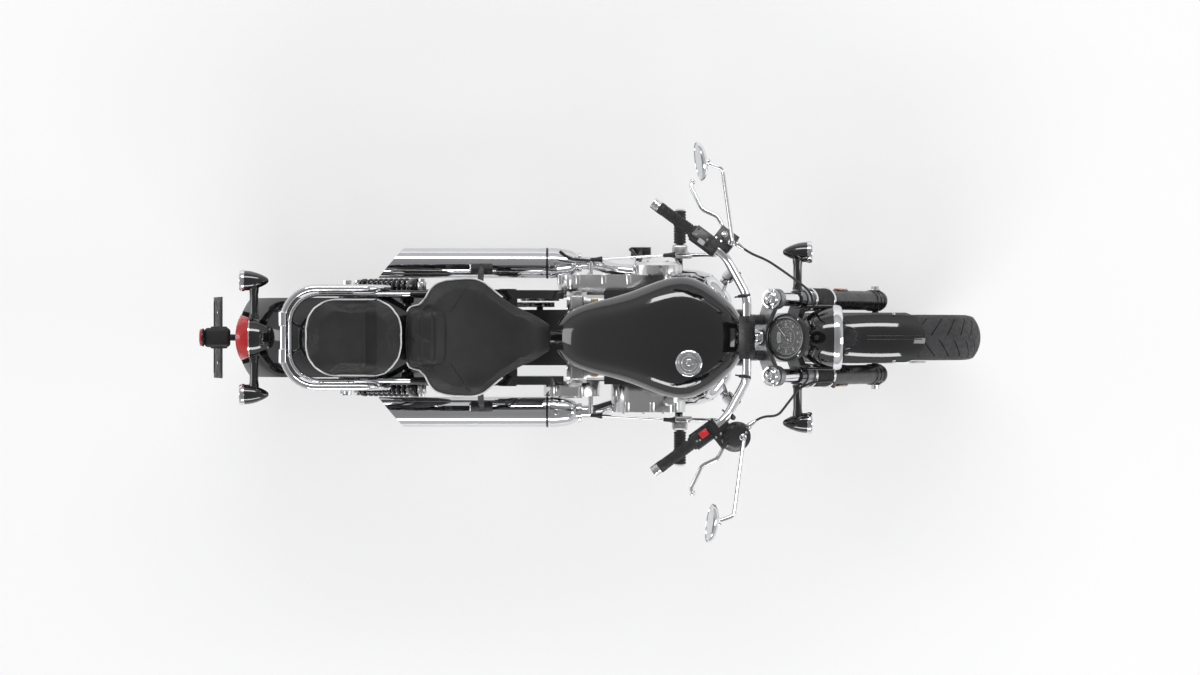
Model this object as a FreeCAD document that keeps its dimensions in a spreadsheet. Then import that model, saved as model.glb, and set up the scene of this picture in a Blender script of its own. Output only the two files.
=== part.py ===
import FreeCAD, Part
import math
import os
import re
import Sketcher
from FreeCAD import Placement, Rotation, Vector

# Cruiser motorcycle, a parallel twin with a teardrop tank, a dropped rider's saddle and
# wide pulled-back bars. Every piece is drawn on the upright machine: X forward, Y to its
# left, Z up, wheels on the ground line. The whole machine is then leant to its left, onto
# its side stand.

os.makedirs("parts", exist_ok=True)
doc = FreeCAD.newDocument("Cruiser")

sizes = {
    # Stance of the whole machine
    "wheelSpan": 1610,
    "frontAxleX": 857.5,
    "leanAngle": 10,
    "leanShift": -182,
    "rakeAngle": 32,
    "steerOffset": 48,
    "fit": 0.3,
    "overrun": 2,
    "weld": 3,
    # Tyres and wheels
    "frontTyreRadius": 320,
    "frontTyreHalf": 62,
    "frontCrown": 95,
    "frontWallArc": 62,
    "frontRimHalf": 45,
    "rearTyreRadius": 326,
    "rearTyreHalf": 78,
    "rearCrown": 110,
    "rearWallArc": 84,
    "rearRimHalf": 58,
    "frontSeatShare": 0.646875,
    "rearSeatShare": 0.598160,
    "flangeRise": 14,
    "flangeWall": 4,
    "rimWall": 6,
    "rimWellDrop": 14,
    "rimWellHalf": 22,
    "spokeCount": 12,
    "spokeRootWidth": 24,
    "spokeTipWidth": 15,
    "spokeDepth": 32,
    "hubRadius": 40,
    "frontHubHalf": 52,
    "spindleRadius": 10,
    "spindleBore": 7,
    "bearingPlay": 0.4,
    # Brake discs, sprockets and chain
    "discRadius": 155,
    "discInner": 112,
    "discWall": 5,
    "discPlane": 75,
    "discArmCount": 6,
    "discHole": 3.2,
    "discArmRoot": 26,
    "discArmTip": 18,
    "rearDiscRadius": 142,
    "rearDiscInner": 100,
    "rearDiscPlane": 98,
    "caliperWidth": 46,
    "caliperHeight": 66,
    "caliperLength": 96,
    "caliperPlay": 5,
    "caliperDrop": 21,
    "caliperTurn": 50,
    "caliperLugHeight": 50,
    "caliperLugWall": 12,
    "rearCaliperTurn": 29,
    "rearLugWall": 6,
    "sprocketRadius": 98,
    "sprocketWall": 7,
    "driveRadius": 40,
    "driveX": -165,
    "driveZ": 322,
    "chainPlane": 100,
    "chainWall": 15,
    "chainDepth": 15,
    # Front fork, in its own raked frame with its origin at the front axle
    "legSpread": 112,
    "legRadius": 29,
    "legTop": 316,
    "legFoot": 26,
    "legBoreDepth": 70,
    "tubeRadius": 20.5,
    "tubeTop": 642,
    "capRadius": 22.5,
    "capRise": 14,
    "capRingRadius": 28.5,
    "capRingRise": 5,
    "gaiterRadius": 34,
    "gaiterRib": 4,
    "gaiterRibCount": 8,
    "lowYokeZ": 438,
    "lowYokeWall": 34,
    "topYokeZ": 610,
    "topYokeWall": 26,
    "clampRadius": 30,
    "stemRadius": 14,
    "stemBossRadius": 27,
    "stemNutRise": 12,
    "headTubeRadius": 31,
    "headTubePlay": 1,
    "headTubeGap": 7,
    # Handlebar and what it carries
    "barRadius": 12.7,
    "barClampX": 443,
    "barClampZ": 910,
    "barShoulderY": 122,
    "barElbowX": 378,
    "barElbowY": 236,
    "barElbowZ": 976,
    "barEndX": 172,
    "barEndY": 388,
    "barEndZ": 950,
    "barBend": 70,
    "barPlugLength": 22,
    "barPlugRadius": 16.5,
    "gripLength": 122,
    "gripRadius": 17,
    "riserSpread": 52,
    "riserRadius": 15,
    "clampHalf": 17,
    "clampSpan": 124,
    "switchLength": 56,
    "switchWidth": 46,
    "switchHeight": 42,
    "switchRound": 26,
    "perchLength": 30,
    "perchSpan": 60,
    "perchAlong": 14,
    "perchFore": 36,
    "perchHeight": 26,
    "potLength": 88,
    "potWidth": 74,
    "potHeight": 44,
    "potAlong": 37,
    "potFore": 58,
    "leverRadius": 6,
    "leverBallRadius": 8.5,
    "leverBend": 26,
    "leverReach": 130,
    "leverSpan": 166,
    "mirrorStemRadius": 5,
    "mirrorBend": 26,
    "mirrorRootAlong": -36,
    "mirrorRootFore": -36,
    "mirrorRightAlong": -55,
    "mirrorRightFore": -62,
    "mirrorBoss": 24,
    "mirrorKneeX": 366,
    "mirrorKneeY": 478,
    "mirrorKneeZ": 1116,
    "mirrorRightX": 32,
    "mirrorRightY": 27,
    "mirrorNod": 12,
    "mirrorToe": 8,
    "mirrorX": 306,
    "mirrorY": 500,
    "mirrorZ": 1122,
    "mirrorHalfWidth": 56,
    "mirrorHalfHeight": 42,
    "mirrorHalfDepth": 15,
    # Lamps, signals and instrument
    "lampFrontX": 728,
    "lampBackX": 597,
    "lampZ": 735,
    "lampRadius": 93,
    "lampBackRadius": 44,
    "lampRing": 26,
    "lampRingRise": 3,
    "lampLensDrop": 8,
    "lampDomeArc": 112,
    "earWall": 6,
    "earHeight": 30,
    "earArmRise": 14,
    "earArmHeight": 20,
    "lampNotchX": -6,
    "podX": 556,
    "podZ": 905,
    "podArmZ": 623,
    "podArmReach": 45,
    "podRadius": 70,
    "podDepth": 58,
    "podFoot": 26,
    "podTilt": 34,
    "dialRadius": 54,
    "dialDrop": 5,
    "signalRadius": 32,
    "signalLength": 87,
    "signalRing": 15,
    "signalTip": 7,
    "signalArc": 105,
    "signalStalk": 13,
    "frontSignalX": 599,
    "frontSignalY": 251,
    "rearSignalAft": 256.5,
    "rearSignalY": 169,
    "rearSignalZ": 618,
    # Mudguards
    "guardWall": 2.5,
    "frontGuardGap": 14,
    "frontGuardHalf": 74,
    "frontGuardArc": 100,
    "frontGuardSkirt": 56,
    "frontGuardFore": 22,
    "frontGuardAft": 88,
    "guardLugHeight": 26,
    "guardLugLength": 20,
    "rearGuardGap": 46,
    "rearGuardHalf": 118,
    "rearGuardArc": 178,
    "rearGuardSkirt": 88,
    "rearGuardFore": 48,
    "rearGuardAft": 57,
    # Frame
    "frameTube": 15,
    "backboneTube": 22,
    "frameBend": 70,
    "backboneDropX": 420,
    "backboneDropZ": 712,
    "backboneRearX": 20,
    "backboneRearZ": 700,
    "backboneLowX": -110,
    "cradleHalf": 70,
    "cradleZ": 176,
    "cradleBend": 48,
    "headFootRise": 36,
    "downX": 344,
    "downZ": 300,
    "cradleRearX": -240,
    "railTube": 11,
    "railRiseX": -300,
    "railZ": 628,
    "railEndFore": 102.5,
    "pivotX": -262,
    "pivotZ": 330,
    "pivotTube": 17,
    "pivotPlateWall": 10,
    "pivotPlateHeight": 190,
    "pivotPlateLength": 68,
    "armSpread": 131,
    "armTube": 16,
    "armDrumRadius": 27,
    "armDrumWall": 34,
    "armBraceX": -330,
    "armTipRadius": 26,
    "shockSpread": 153,
    "shockTopFore": 240.5,
    "shockTopZ": 606,
    "shockFootFore": 36.5,
    "shockFootZ": 378,
    "shockBody": 17,
    "shockSpring": 25,
    "shockCoilCount": 9,
    "shockEye": 14,
    "shockEyeWall": 22,
    # Engine
    "caseFrontX": 296,
    "caseMidX": -60,
    "caseRearX": -212,
    "caseHalf": 132,
    "gearboxHalf": 84,
    "caseTopZ": 424,
    "gearboxLowZ": 226,
    "barrelX": 150,
    "barrelHalfLength": 104,
    "barrelHalf": 124,
    "barrelTopZ": 556,
    "headTopZ": 628,
    "camTopZ": 661,
    "finWall": 5,
    "finPitch": 17,
    "finDepth": 15,
    "camInset": 22,
    "coverZ": 350,
    "coverHalfHeight": 70,
    "leftCoverFrontX": 276,
    "leftCoverRearX": -121,
    "leftCoverY": 190,
    "leftDomeX": 192,
    "leftDomeRadius": 76,
    "leftDomeY": 229,
    "rightCoverFrontX": 291,
    "rightCoverRearX": 40,
    "rightCoverY": 226,
    "gearCoverFrontX": 30,
    "gearCoverRearX": -165,
    "gearCoverY": 178,
    "coverEdge": 10,
    "badgeX": -72,
    "badgeLength": 36,
    "badgeRise": 4,
    "chainCaseRadius": 60,
    "chainCaseWall": 20,
    "throttleX": -50,
    "throttleZ": 592,
    "throttleY": 104,
    "throttleRadius": 31,
    "throttleLength": 57,
    "intakeRadius": 23,
    # Exhaust
    "pipeRadius": 19,
    "pipeBend": 62,
    "portX": 254,
    "portY": 80,
    "portZ": 590,
    "silencerFrontX": -140,
    "silencerRearX": -666,
    "silencerY": 227,
    "silencerZ": 300,
    "silencerRadius": 45.5,
    "silencerWall": 3,
    "silencerSlash": 84,
    "coneFrontX": -49,
    "coneRadius": 25,
    "hangerRadius": 9,
    "hangerInset": 12,
    "hangerDrop": 24,
    "headerFrontX": 418,
    "headerSweep": 66,
    "headerSideY": 168,
    "headerDropX": 322,
    "headerLowZ": 248,
    "headerRearX": 60,
    "headerRiseX": 1,
    # Tank, saddle and pad
    "tankRearX": -114,
    "tankFrontX": 436,
    "tankHalf": 176,
    "tankLowZ": 668,
    "tankTopZ": 858,
    "tunnelHalf": 36,
    "tunnelTopZ": 752,
    "tankMountLength": 40,
    "tankMountHalf": 16,
    "tankMountFrontX": 360,
    "tankMountRearX": 60,
    "fillerX": 277,
    "fillerY": -75,
    "fillerRadius": 38.5,
    "fillerRise": 12,
    "fillerTopZ": 858,
    "fillerSeatDepth": 16,
    "saddleFrontX": -122,
    "saddleRearX": -554,
    "saddleHalf": 189,
    "saddleLowZ": 645,
    "saddleTopZ": 764,
    "padFrontFore": 190.5,
    "padRearAft": 94.5,
    "padHalf": 114,
    "padRise": 26,
    "padHeight": 50,
    "padCorner": 80,
    "padRound": 14,
    "padMountLength": 120,
    "padMountHalf": 40,
    "saddleBridgeX": -430,
    "saddleBridgeLength": 24,
    "sideCoverX": -190,
    "sideCoverY": 128,
    "sideCoverZ": 520,
    "sideCoverLength": 200,
    "sideCoverHeight": 150,
    "sideCoverWall": 26,
    # Rails, tail lamp, plate
    "hoopRadius": 10.5,
    "hoopRearAft": 158.5,
    "hoopY": 145,
    "hoopZ": 742,
    "hoopLegFore": 142.5,
    "hoopLean": 30,
    "hoopBend": 96,
    "innerHoopRadius": 6.5,
    "innerHoopRearAft": 140.5,
    "innerHoopY": 127,
    "innerHoopZ": 716,
    "innerHoopFrontFore": 212.5,
    "hoopStaySpread": 52,
    "hoopStayAft": 150.5,
    "tailLampAft": 295.5,
    "tailLampTopZ": 672,
    "tailLampHalf": 66,
    "tailLampLowZ": 562,
    "tailLampLength": 105,
    "plateAft": 379.5,
    "plateZ": 456,
    "plateWidth": 244,
    "plateHeight": 170,
    "plateWall": 3,
    "plateTilt": 14,
    "plateHoleSpan": 150,
    "plateHole": 3.5,
    "hoodAft": 372.5,
    "hoodLength": 78,
    "hoodHalf": 29,
    "hoodHeight": 26,
    "hoodZ": 548,
    "reflectorRadius": 27,
    "reflectorRearAft": 425,
    # Footrests, pedals and side stand
    "pegX": 262,
    "pegZ": 322,
    "pegInnerY": 286,
    "pegOuterY": 392,
    "pegRadius": 19,
    "pegArm": 12,
    "pegArmBend": 24,
    "pegArmZ": 176,
    "pegArmY": 252,
    "pedalRadius": 6,
    "pedalX": 380,
    "pedalY": 300,
    "pedalZ": 330,
    "pedalBend": 30,
    "rearPegX": -340,
    "rearPegZ": 388,
    "rearPegLength": 66,
    "rearPegY": 208,
    "rearPegRadius": 14,
    "shaftRadius": 7,
    "linkRadius": 4,
    "linkRearX": -10,
    "linkRearY": 236,
    "hornX": 426,
    "hornY": 205,
    "hornZ": 600,
    "hornRadius": 20,
    "hornLength": 62,
    "standX": 115,
    "standY": 156,
    "standZ": 190,
    "standTilt": 38,
    "standForward": 10,
    "standRadius": 10,
    "standPin": 8,
    "standEye": 15,
    "standEyeHalf": 12,
    "standLugWall": 12,
    "standPadLength": 62,
    "standPadWidth": 34,
    "standPadWall": 6,
    "cableRadius": 3.5,
    "cableBend": 400,
    "cableRun": 50,
    "cableFore": 50,
    "hoseOut": 90,
    "standTangRadius": 5,
    "standTangReach": 46,
}

# Places that follow from the sizes
placeFormulas = {
    "frontSeatRadius": "frontTyreRadius * frontSeatShare",
    "rearSeatRadius": "rearTyreRadius * rearSeatShare",
    "rearAxleX": "frontAxleX - wheelSpan",
    "frontGuardRadius": "frontTyreRadius + frontGuardGap + guardWall",
    "frontGuardNoseX": "frontAxleX + frontGuardRadius * sin(frontGuardFore * 1 deg)",
    "padLowZ": "2 * rearTyreRadius + rearGuardGap + padRise",
    "tailLampX": "rearAxleX - tailLampAft",
    "rearSignalX": "rearAxleX - rearSignalAft",
    "plateX": "rearAxleX - plateAft",
    "hoodX": "rearAxleX - hoodAft",
    "hoopRearX": "rearAxleX - hoopRearAft",
    "innerHoopRearX": "rearAxleX - innerHoopRearAft",
    "hoopStayX": "rearAxleX - hoopStayAft",
    "railEndX": "rearAxleX + railEndFore",
    "shockTopX": "rearAxleX + shockTopFore",
    "shockFootX": "rearAxleX + shockFootFore",
    "padFrontX": "rearAxleX + padFrontFore",
    "padRearX": "rearAxleX - padRearAft",
    "reflectorRearX": "rearAxleX - reflectorRearAft",
    "innerHoopFrontX": "rearAxleX + innerHoopFrontFore",
    "hoopLegX": "rearAxleX + hoopLegFore",
}

# Along the tank from its tail: place along its length, half width, top, as shares
tankShares = [
    (0.0, 0.16, 0.36), (0.07, 0.41, 0.50), (0.256, 0.625, 0.74), (0.405, 0.756, 0.88),
    (0.614, 0.985, 0.99), (0.70, 1.0, 1.0), (0.80, 0.89, 0.985), (0.905, 0.66, 0.93),
    (0.975, 0.42, 0.83), (1.0, 0.24, 0.70),
]
# Along the saddle from its bolster, likewise
saddleShares = [
    (0.0, 0.43, 0.62), (0.03, 0.49, 0.90), (0.10, 0.56, 0.98), (0.18, 0.83, 0.96),
    (0.294, 0.97, 0.74), (0.41, 1.0, 0.52), (0.51, 0.97, 0.42), (0.64, 0.76, 0.38),
    (0.80, 0.52, 0.42), (0.94, 0.32, 0.50), (1.0, 0.24, 0.42),
]
# Along a lever from its pivot: outward and forward, as shares of its span and reach
leverShares = [(0.01, 0.31), (0.10, 0.58), (0.28, 0.69), (0.57, 0.61), (0.97, 0.885), (1.0, 1.0)]
# The two cables' routes, point by point
clutchCablePoints = [(500, 222, 968), (570, 176, 930), (630, 134, 860), (642, 90, 815)]
clutchCableEnd = (642, 90)
brakeHosePoints = [(530, -226, 962), (572, -176, 915)]
# The rest of the hose's route, in the fork's own frame
brakeHoseForkPoints = [(36, -148, 545), (42, -130, 465), (42, -130, 335), (0, -154, 262), (-62, -124, 200)]
cableBendShare = 0.45
bendShare = 0.48
sideCoverFrontShare = 0.75
discHoleCount = 18
discRowShares = (0.3, 0.7)
tailLampRearShare = 1.0
tailLampFrontShare = 0.35
tailLampCrownShare = 0.3
tailLampLengthShare = 0.85
tailLampWidthShare = 1.2
tankSquareShare = 0.72
saddleSquareShare = 0.45
ringPointCount = 16

sheet = doc.addObject("Spreadsheet::Sheet", "Sizes")
for row, (name, number) in enumerate(sizes.items(), 1):
    sheet.set(f"A{row}", name)
    sheet.set(f"B{row}", str(number))
    sheet.setAlias(f"B{row}", name)
for row, (name, formula) in enumerate(placeFormulas.items(), len(sizes) + 1):
    sheet.set(f"A{row}", name)
    sheet.set(f"B{row}", "=" + formula)
    sheet.setAlias(f"B{row}", name)
doc.recompute()


class Dimensions:
    """The sheet's numbers, by name."""


dim = Dimensions()
for name in [*sizes, *placeFormulas]:
    setattr(dim, name, float(sheet.get(name)))

xAxis = Vector(1, 0, 0)
yAxis = Vector(0, 1, 0)
zAxis = Vector(0, 0, 1)
upright = Placement()
nodes = []


def worked(formula):
    """The number that the sheet makes of a formula."""
    sheet.set("D1", "=" + formula)
    sheet.recompute()
    return float(sheet.get("D1"))


def sheetName(match):
    word = match.group()
    return "Sizes." + word if hasattr(dim, word) else word


def linked(formula):
    """The formula as another object of the document reads it."""
    return re.sub("[a-z][A-Za-z]*", sheetName, formula)


def bind(thing, **formulas):
    for prop, formula in formulas.items():
        thing.setExpression(prop, linked(formula))
    return thing


def turned(direction, start=zAxis):
    return Rotation(start, direction)


def drum(name, foot, direction, radius, length, frame=upright):
    """A cylinder from its foot along a direction."""
    thing = doc.addObject("Part::Cylinder", name)
    bind(thing, Radius=radius, Height=length)
    thing.Placement = frame * Placement(foot, turned(direction))
    return thing


def rod(name, start, end, radius, frame=upright):
    """A round bar between two points."""
    thing = doc.addObject("Part::Cylinder", name)
    bind(thing, Radius=radius)
    thing.Height = (end - start).Length
    thing.Placement = frame * Placement(start, turned(end - start))
    return thing


def ball(name, centre, radius, frame=upright):
    thing = doc.addObject("Part::Sphere", name)
    bind(thing, Radius=radius)
    thing.Placement = frame * Placement(centre, Rotation())
    return thing


def block(name, centre, length, width, height, frame=upright, turn=Rotation()):
    """A box about its centre; its three sizes are formulas."""
    thing = doc.addObject("Part::Box", name)
    bind(thing, Length=length, Width=width, Height=height)
    corner = Vector(-worked(length) / 2, -worked(width) / 2, -worked(height) / 2)
    thing.Placement = frame * Placement(centre, turn) * Placement(corner, Rotation())
    return thing


def bentWire(points, bend, share=bendShare):
    """Straight runs joined by arcs that meet them without a corner."""
    edges = []
    start = points[0]
    for before, corner, after in zip(points, points[1:], points[2:]):
        into = (corner - before).normalize()
        out = (after - corner).normalize()
        half = into.getAngle(out) / 2
        room = min((corner - before).Length, (after - corner).Length) * share
        radius = min(bend, room / math.tan(half))
        back = radius * math.tan(half)
        arcStart = corner - into * back
        arcEnd = corner + out * back
        middle = corner + (out - into).normalize() * (radius / math.cos(half) - radius)
        edges.append(Part.LineSegment(start, arcStart).toShape())
        edges.append(Part.Arc(arcStart, middle, arcEnd).toShape())
        start = arcEnd
    edges.append(Part.LineSegment(start, points[-1]).toShape())
    return Part.Wire(edges)


def tube(name, points, radius, bend, frame=upright, share=bendShare):
    """A round bar along a bent path."""
    path = doc.addObject("Part::Feature", name + "Path")
    path.Shape = bentWire(points, bend, share)
    path.Placement = frame
    ring = doc.addObject("Part::Circle", name + "Ring")
    bind(ring, Radius=radius)
    ring.Placement = frame * Placement(points[0], turned(points[1] - points[0]))
    thing = doc.addObject("Part::Sweep", name)
    thing.Sections = [ring]
    thing.Spine = (path, [f"Edge{number}" for number in range(1, len(path.Shape.Edges) + 1)])
    thing.Solid = True
    return thing


def bodyOn(name, role, frame):
    """A body and a sketch on one of its own planes."""
    body = doc.addObject("PartDesign::Body", name)
    body.Placement = frame
    plane = next(item for item in body.Origin.OriginFeatures if item.Role == role)
    sketch = body.newObject("Sketcher::SketchObject", name + "Outline")
    sketch.AttachmentSupport = (plane, "")
    sketch.MapMode = "FlatFace"
    return body, sketch


def drawOutline(sketch, corners):
    """A closed outline; a third value bends the side after its corner outward by that radius."""
    places = [Vector(worked(corner[0]), worked(corner[1]), 0) for corner in corners]
    count = len(corners)
    for number, corner in enumerate(corners):
        start = places[number]
        end = places[(number + 1) % count]
        if len(corner) > 2:
            sketch.addGeometry(clockwiseArc(start, end, worked(corner[2])), False)
        else:
            sketch.addGeometry(Part.LineSegment(start, end), False)
    for number, corner in enumerate(corners):
        following = (number + 1) % count
        opening = 2 if len(corner) > 2 else 1
        closing = 1 if len(corner) > 2 else 2
        nextOpening = 2 if len(corners[following]) > 2 else 1
        sketch.addConstraint(Sketcher.Constraint("Coincident", number, closing, following, nextOpening))
        place(sketch, "DistanceX", number, opening, corner[0])
        place(sketch, "DistanceY", number, opening, corner[1])
        if len(corner) > 2:
            index = sketch.addConstraint(Sketcher.Constraint("Radius", number, worked(corner[2])))
            sketch.setExpression(f"Constraints[{index}]", linked(corner[2]))


def place(sketch, kind, geometry, end, formula):
    constraint = Sketcher.Constraint(kind, -1, 1, geometry, end, worked(formula))
    index = sketch.addConstraint(constraint)
    sketch.setExpression(f"Constraints[{index}]", linked(formula))


def clockwiseArc(start, end, radius):
    """The arc from start to end whose centre lies to the right of the way between them."""
    across = end - start
    half = across.Length / 2
    right = Vector(across.y, -across.x, 0).normalize()
    centre = (start + end) * 0.5 + right * math.sqrt(radius ** 2 - half ** 2)
    circle = Part.Circle(centre, zAxis, radius)
    startAngle = math.atan2(end.y - centre.y, end.x - centre.x)
    endAngle = math.atan2(start.y - centre.y, start.x - centre.x)
    return Part.ArcOfCircle(circle, startAngle, endAngle)


def lathe(name, corners, frame, angle="360"):
    """A body turned about its own X: each corner is a place along X and a radius."""
    body, sketch = bodyOn(name, "XY_Plane", frame)
    drawOutline(sketch, corners)
    turn = body.newObject("PartDesign::Revolution", name + "Turn")
    turn.Profile = sketch
    turn.ReferenceAxis = (sketch, ["H_Axis"])
    bind(turn, Angle=angle)
    return body


def slab(name, corners, depth, frame, role="XY_Plane"):
    """A body padded evenly to both sides of its outline's plane."""
    body, sketch = bodyOn(name, role, frame)
    drawOutline(sketch, corners)
    pad = body.newObject("PartDesign::Pad", name + "Pad")
    pad.Profile = sketch
    pad.SideType = "Symmetric"
    bind(pad, Length=depth)
    return body


def spider(name, count, inner, outer, root, tip, depth, frame):
    """Tapered arms about a body's X, from one radius to another."""
    body, sketch = bodyOn(name, "YZ_Plane", frame)
    drawOutline(sketch, [
        (inner, f"-{root} / 2"), (inner, f"{root} / 2"), (outer, f"{tip} / 2"), (outer, f"-{tip} / 2"),
    ])
    pad = body.newObject("PartDesign::Pad", name + "Pad")
    pad.Profile = sketch
    pad.SideType = "Symmetric"
    bind(pad, Length=depth)
    doc.recompute()
    pattern = body.newObject("PartDesign::PolarPattern", name + "Pattern")
    pattern.Originals = [pad]
    pattern.Axis = (sketch, ["N_Axis"])
    bind(pattern, Occurrences=count)
    body.Tip = pattern
    return body


def fused(name, *things):
    whole = doc.addObject("Part::MultiFuse", name)
    whole.Shapes = list(things)
    whole.Refine = True
    return whole


def less(name, base, *tools):
    """The base with the tools cut out of it."""
    tool = tools[0]
    if len(tools) > 1:
        tool = doc.addObject("Part::MultiFuse", name + "Tools")
        tool.Shapes = list(tools)
    result = doc.addObject("Part::Cut", name)
    result.Base = base
    result.Tool = tool
    return result


def kept(name, base, tool):
    """The part of the base that lies inside the tool."""
    result = doc.addObject("Part::Common", name)
    result.Base = base
    result.Tool = tool
    return result


def egg(name, centre, length, width, height):
    """An egg shape by its three half sizes."""
    thing = doc.addObject("Part::Ellipsoid", name)
    bind(thing, Radius1=height, Radius2=length, Radius3=width)
    thing.Placement = Placement(centre, Rotation())
    return thing


def mirrored(name, thing):
    other = doc.addObject("Part::Mirroring", name)
    other.Source = thing
    other.Normal = yAxis
    return other


def together(name, *things):
    """Pieces of one node that don't touch."""
    group = doc.addObject("Part::Compound", name)
    group.Links = list(things)
    return group


def pair(name, thing):
    """The piece and its twin on the other side."""
    return together(name, thing, mirrored(name + "Twin", thing))


def node(label, thing):
    thing.Label = label
    nodes.append(thing)
    return thing


def at(x, y, z):
    return Vector(x, y, z)


# Frames that pieces are drawn in: body X across the wheel, and the raked fork
frontHub = Placement(at(dim.frontAxleX, 0, dim.frontTyreRadius), turned(yAxis, xAxis))
rearAxleX = dim.rearAxleX
rearHub = Placement(at(rearAxleX, 0, dim.rearTyreRadius), turned(yAxis, xAxis))
steer = Placement(at(dim.frontAxleX, 0, dim.frontTyreRadius), Rotation(yAxis, -dim.rakeAngle))
alongFork = Rotation(xAxis, zAxis)
leanRadians = math.radians(dim.leanAngle)
leanLift = max(dim.frontCrown, dim.rearCrown) * (1 - math.cos(leanRadians))
lean = Placement(at(0, dim.leanShift, leanLift), Rotation(xAxis, -dim.leanAngle))


def makeTyre(label, end, hub):
    """Flat bead, bulging walls and a crown rounded for leaning."""
    half, rimHalf, crown = f"{end}TyreHalf", f"{end}RimHalf", f"{end}Crown"
    bead = f"{end}SeatRadius"
    shoulder = f"{end}TyreRadius - {crown} + sqrt({crown}^2 - {half}^2)"
    corners = [
        (f"-{rimHalf}", bead),
        (f"-{rimHalf}", f"{bead} + flangeRise + fit", f"{end}WallArc"),
        (f"-{half}", shoulder, crown),
        (half, shoulder, f"{end}WallArc"),
        (rimHalf, f"{bead} + flangeRise + fit"),
        (rimHalf, bead),
    ]
    node(label, lathe(end + "Tyre", corners, hub))


def makeRim(label, end, hub, hubRight, hubLeft, *extras):
    """Cast wheel: a barrel with a dropped well, arms and a bored hub."""
    half, bead = f"({end}RimHalf + fit)", f"({end}SeatRadius - fit)"
    lip = f"{end}SeatRadius + flangeRise"
    outer = f"{end}RimHalf + flangeWall"
    well = f"{bead} - rimWellDrop"
    shoulder = "(rimWellHalf + rimWellDrop)"
    corners = [
        (f"-({outer})", lip), (f"-{half}", lip), (f"-{half}", bead), (f"-{shoulder}", bead),
        ("-rimWellHalf", well), ("rimWellHalf", well), (shoulder, bead), (half, bead),
        (half, lip), (outer, lip), (outer, f"{bead} - rimWall"),
        (shoulder, f"{bead} - rimWall"), ("rimWellHalf", f"{well} - rimWall"),
        ("-rimWellHalf", f"{well} - rimWall"), (f"-{shoulder}", f"{bead} - rimWall"),
        (f"-({outer})", f"{bead} - rimWall"),
    ]
    barrel = lathe(end + "Barrel", corners, hub)
    bore = "spindleRadius + bearingPlay"
    core = lathe(end + "Hub", [
        (f"-({hubRight})", bore), (f"-({hubRight})", "hubRadius"), (hubLeft, "hubRadius"), (hubLeft, bore),
    ], hub)
    arms = spider(end + "Arms", "spokeCount", "hubRadius - weld", f"{well} - rimWall + weld",
                  "spokeRootWidth", "spokeTipWidth", "spokeDepth", hub)
    node(label, fused(end + "Rim", barrel, core, arms, *extras))


def makeDisc(label, end, hub, outer, inner, plane):
    """Brake ring on a carrier with arms, against the right end of the hub."""
    frame = hub * Placement(at(-getattr(dim, plane), 0, 0), Rotation())
    half = "discWall / 2"
    ring = lathe(end + "DiscRing", [
        (f"-{half}", inner), (f"-{half}", outer), (half, outer), (half, inner),
    ], frame)
    collar = lathe(end + "DiscCollar", [
        (f"-{half}", "spindleRadius + bearingPlay"), (f"-{half}", "hubRadius"),
        (half, "hubRadius"), (half, "spindleRadius + bearingPlay"),
    ], frame)
    arms = spider(end + "DiscArms", "discArmCount", "hubRadius - weld", f"{inner} + weld",
                  "discArmRoot", "discArmTip", "discWall", frame)
    holes = []
    band = getattr(dim, outer) - getattr(dim, inner)
    for row, share in enumerate(discRowShares):
        for number in range(discHoleCount):
            angle = 2 * math.pi * (number + row / 2) / discHoleCount
            spot = (getattr(dim, inner) + band * share) * at(0, math.cos(angle), math.sin(angle))
            holes.append(rod(f"{end}DiscHole{row}at{number}", spot - xAxis * dim.discWall,
                             spot + xAxis * dim.discWall, "discHole", frame))
    node(label, less(end + "Disc", fused(end + "DiscSolid", ring, collar, arms), *holes))


def makeWheels():
    makeTyre("front_tyre", "front", frontHub)
    makeRim("front_rim", "front", frontHub, "discPlane - discWall / 2 - fit", "frontHubHalf")
    makeDisc("front_disc", "front", frontHub, "discRadius", "discInner", "discPlane")
    makeTyre("rear_tyre", "rear", rearHub)
    half = "sprocketWall / 2"
    inner = "sprocketRadius - chainDepth / 2 - bearingPlay * 4"
    wheelSprocket = lathe("WheelSprocket", [
        (f"chainPlane - {half}", "hubRadius - weld"), (f"chainPlane - {half}", inner),
        (f"chainPlane + {half}", inner), (f"chainPlane + {half}", "hubRadius - weld"),
    ], rearHub)
    makeRim("rear_rim", "rear", rearHub, "rearDiscPlane - discWall / 2 - fit",
            "chainPlane + sprocketWall / 2", wheelSprocket)
    makeDisc("rear_disc", "rear", rearHub, "rearDiscRadius", "rearDiscInner", "rearDiscPlane")


def lugPlane(discPlane, wall):
    """How far out a calliper's lug lies, against the calliper's outer face."""
    return discPlane + dim.caliperWidth / 2 + dim.fit + wall / 2


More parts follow.
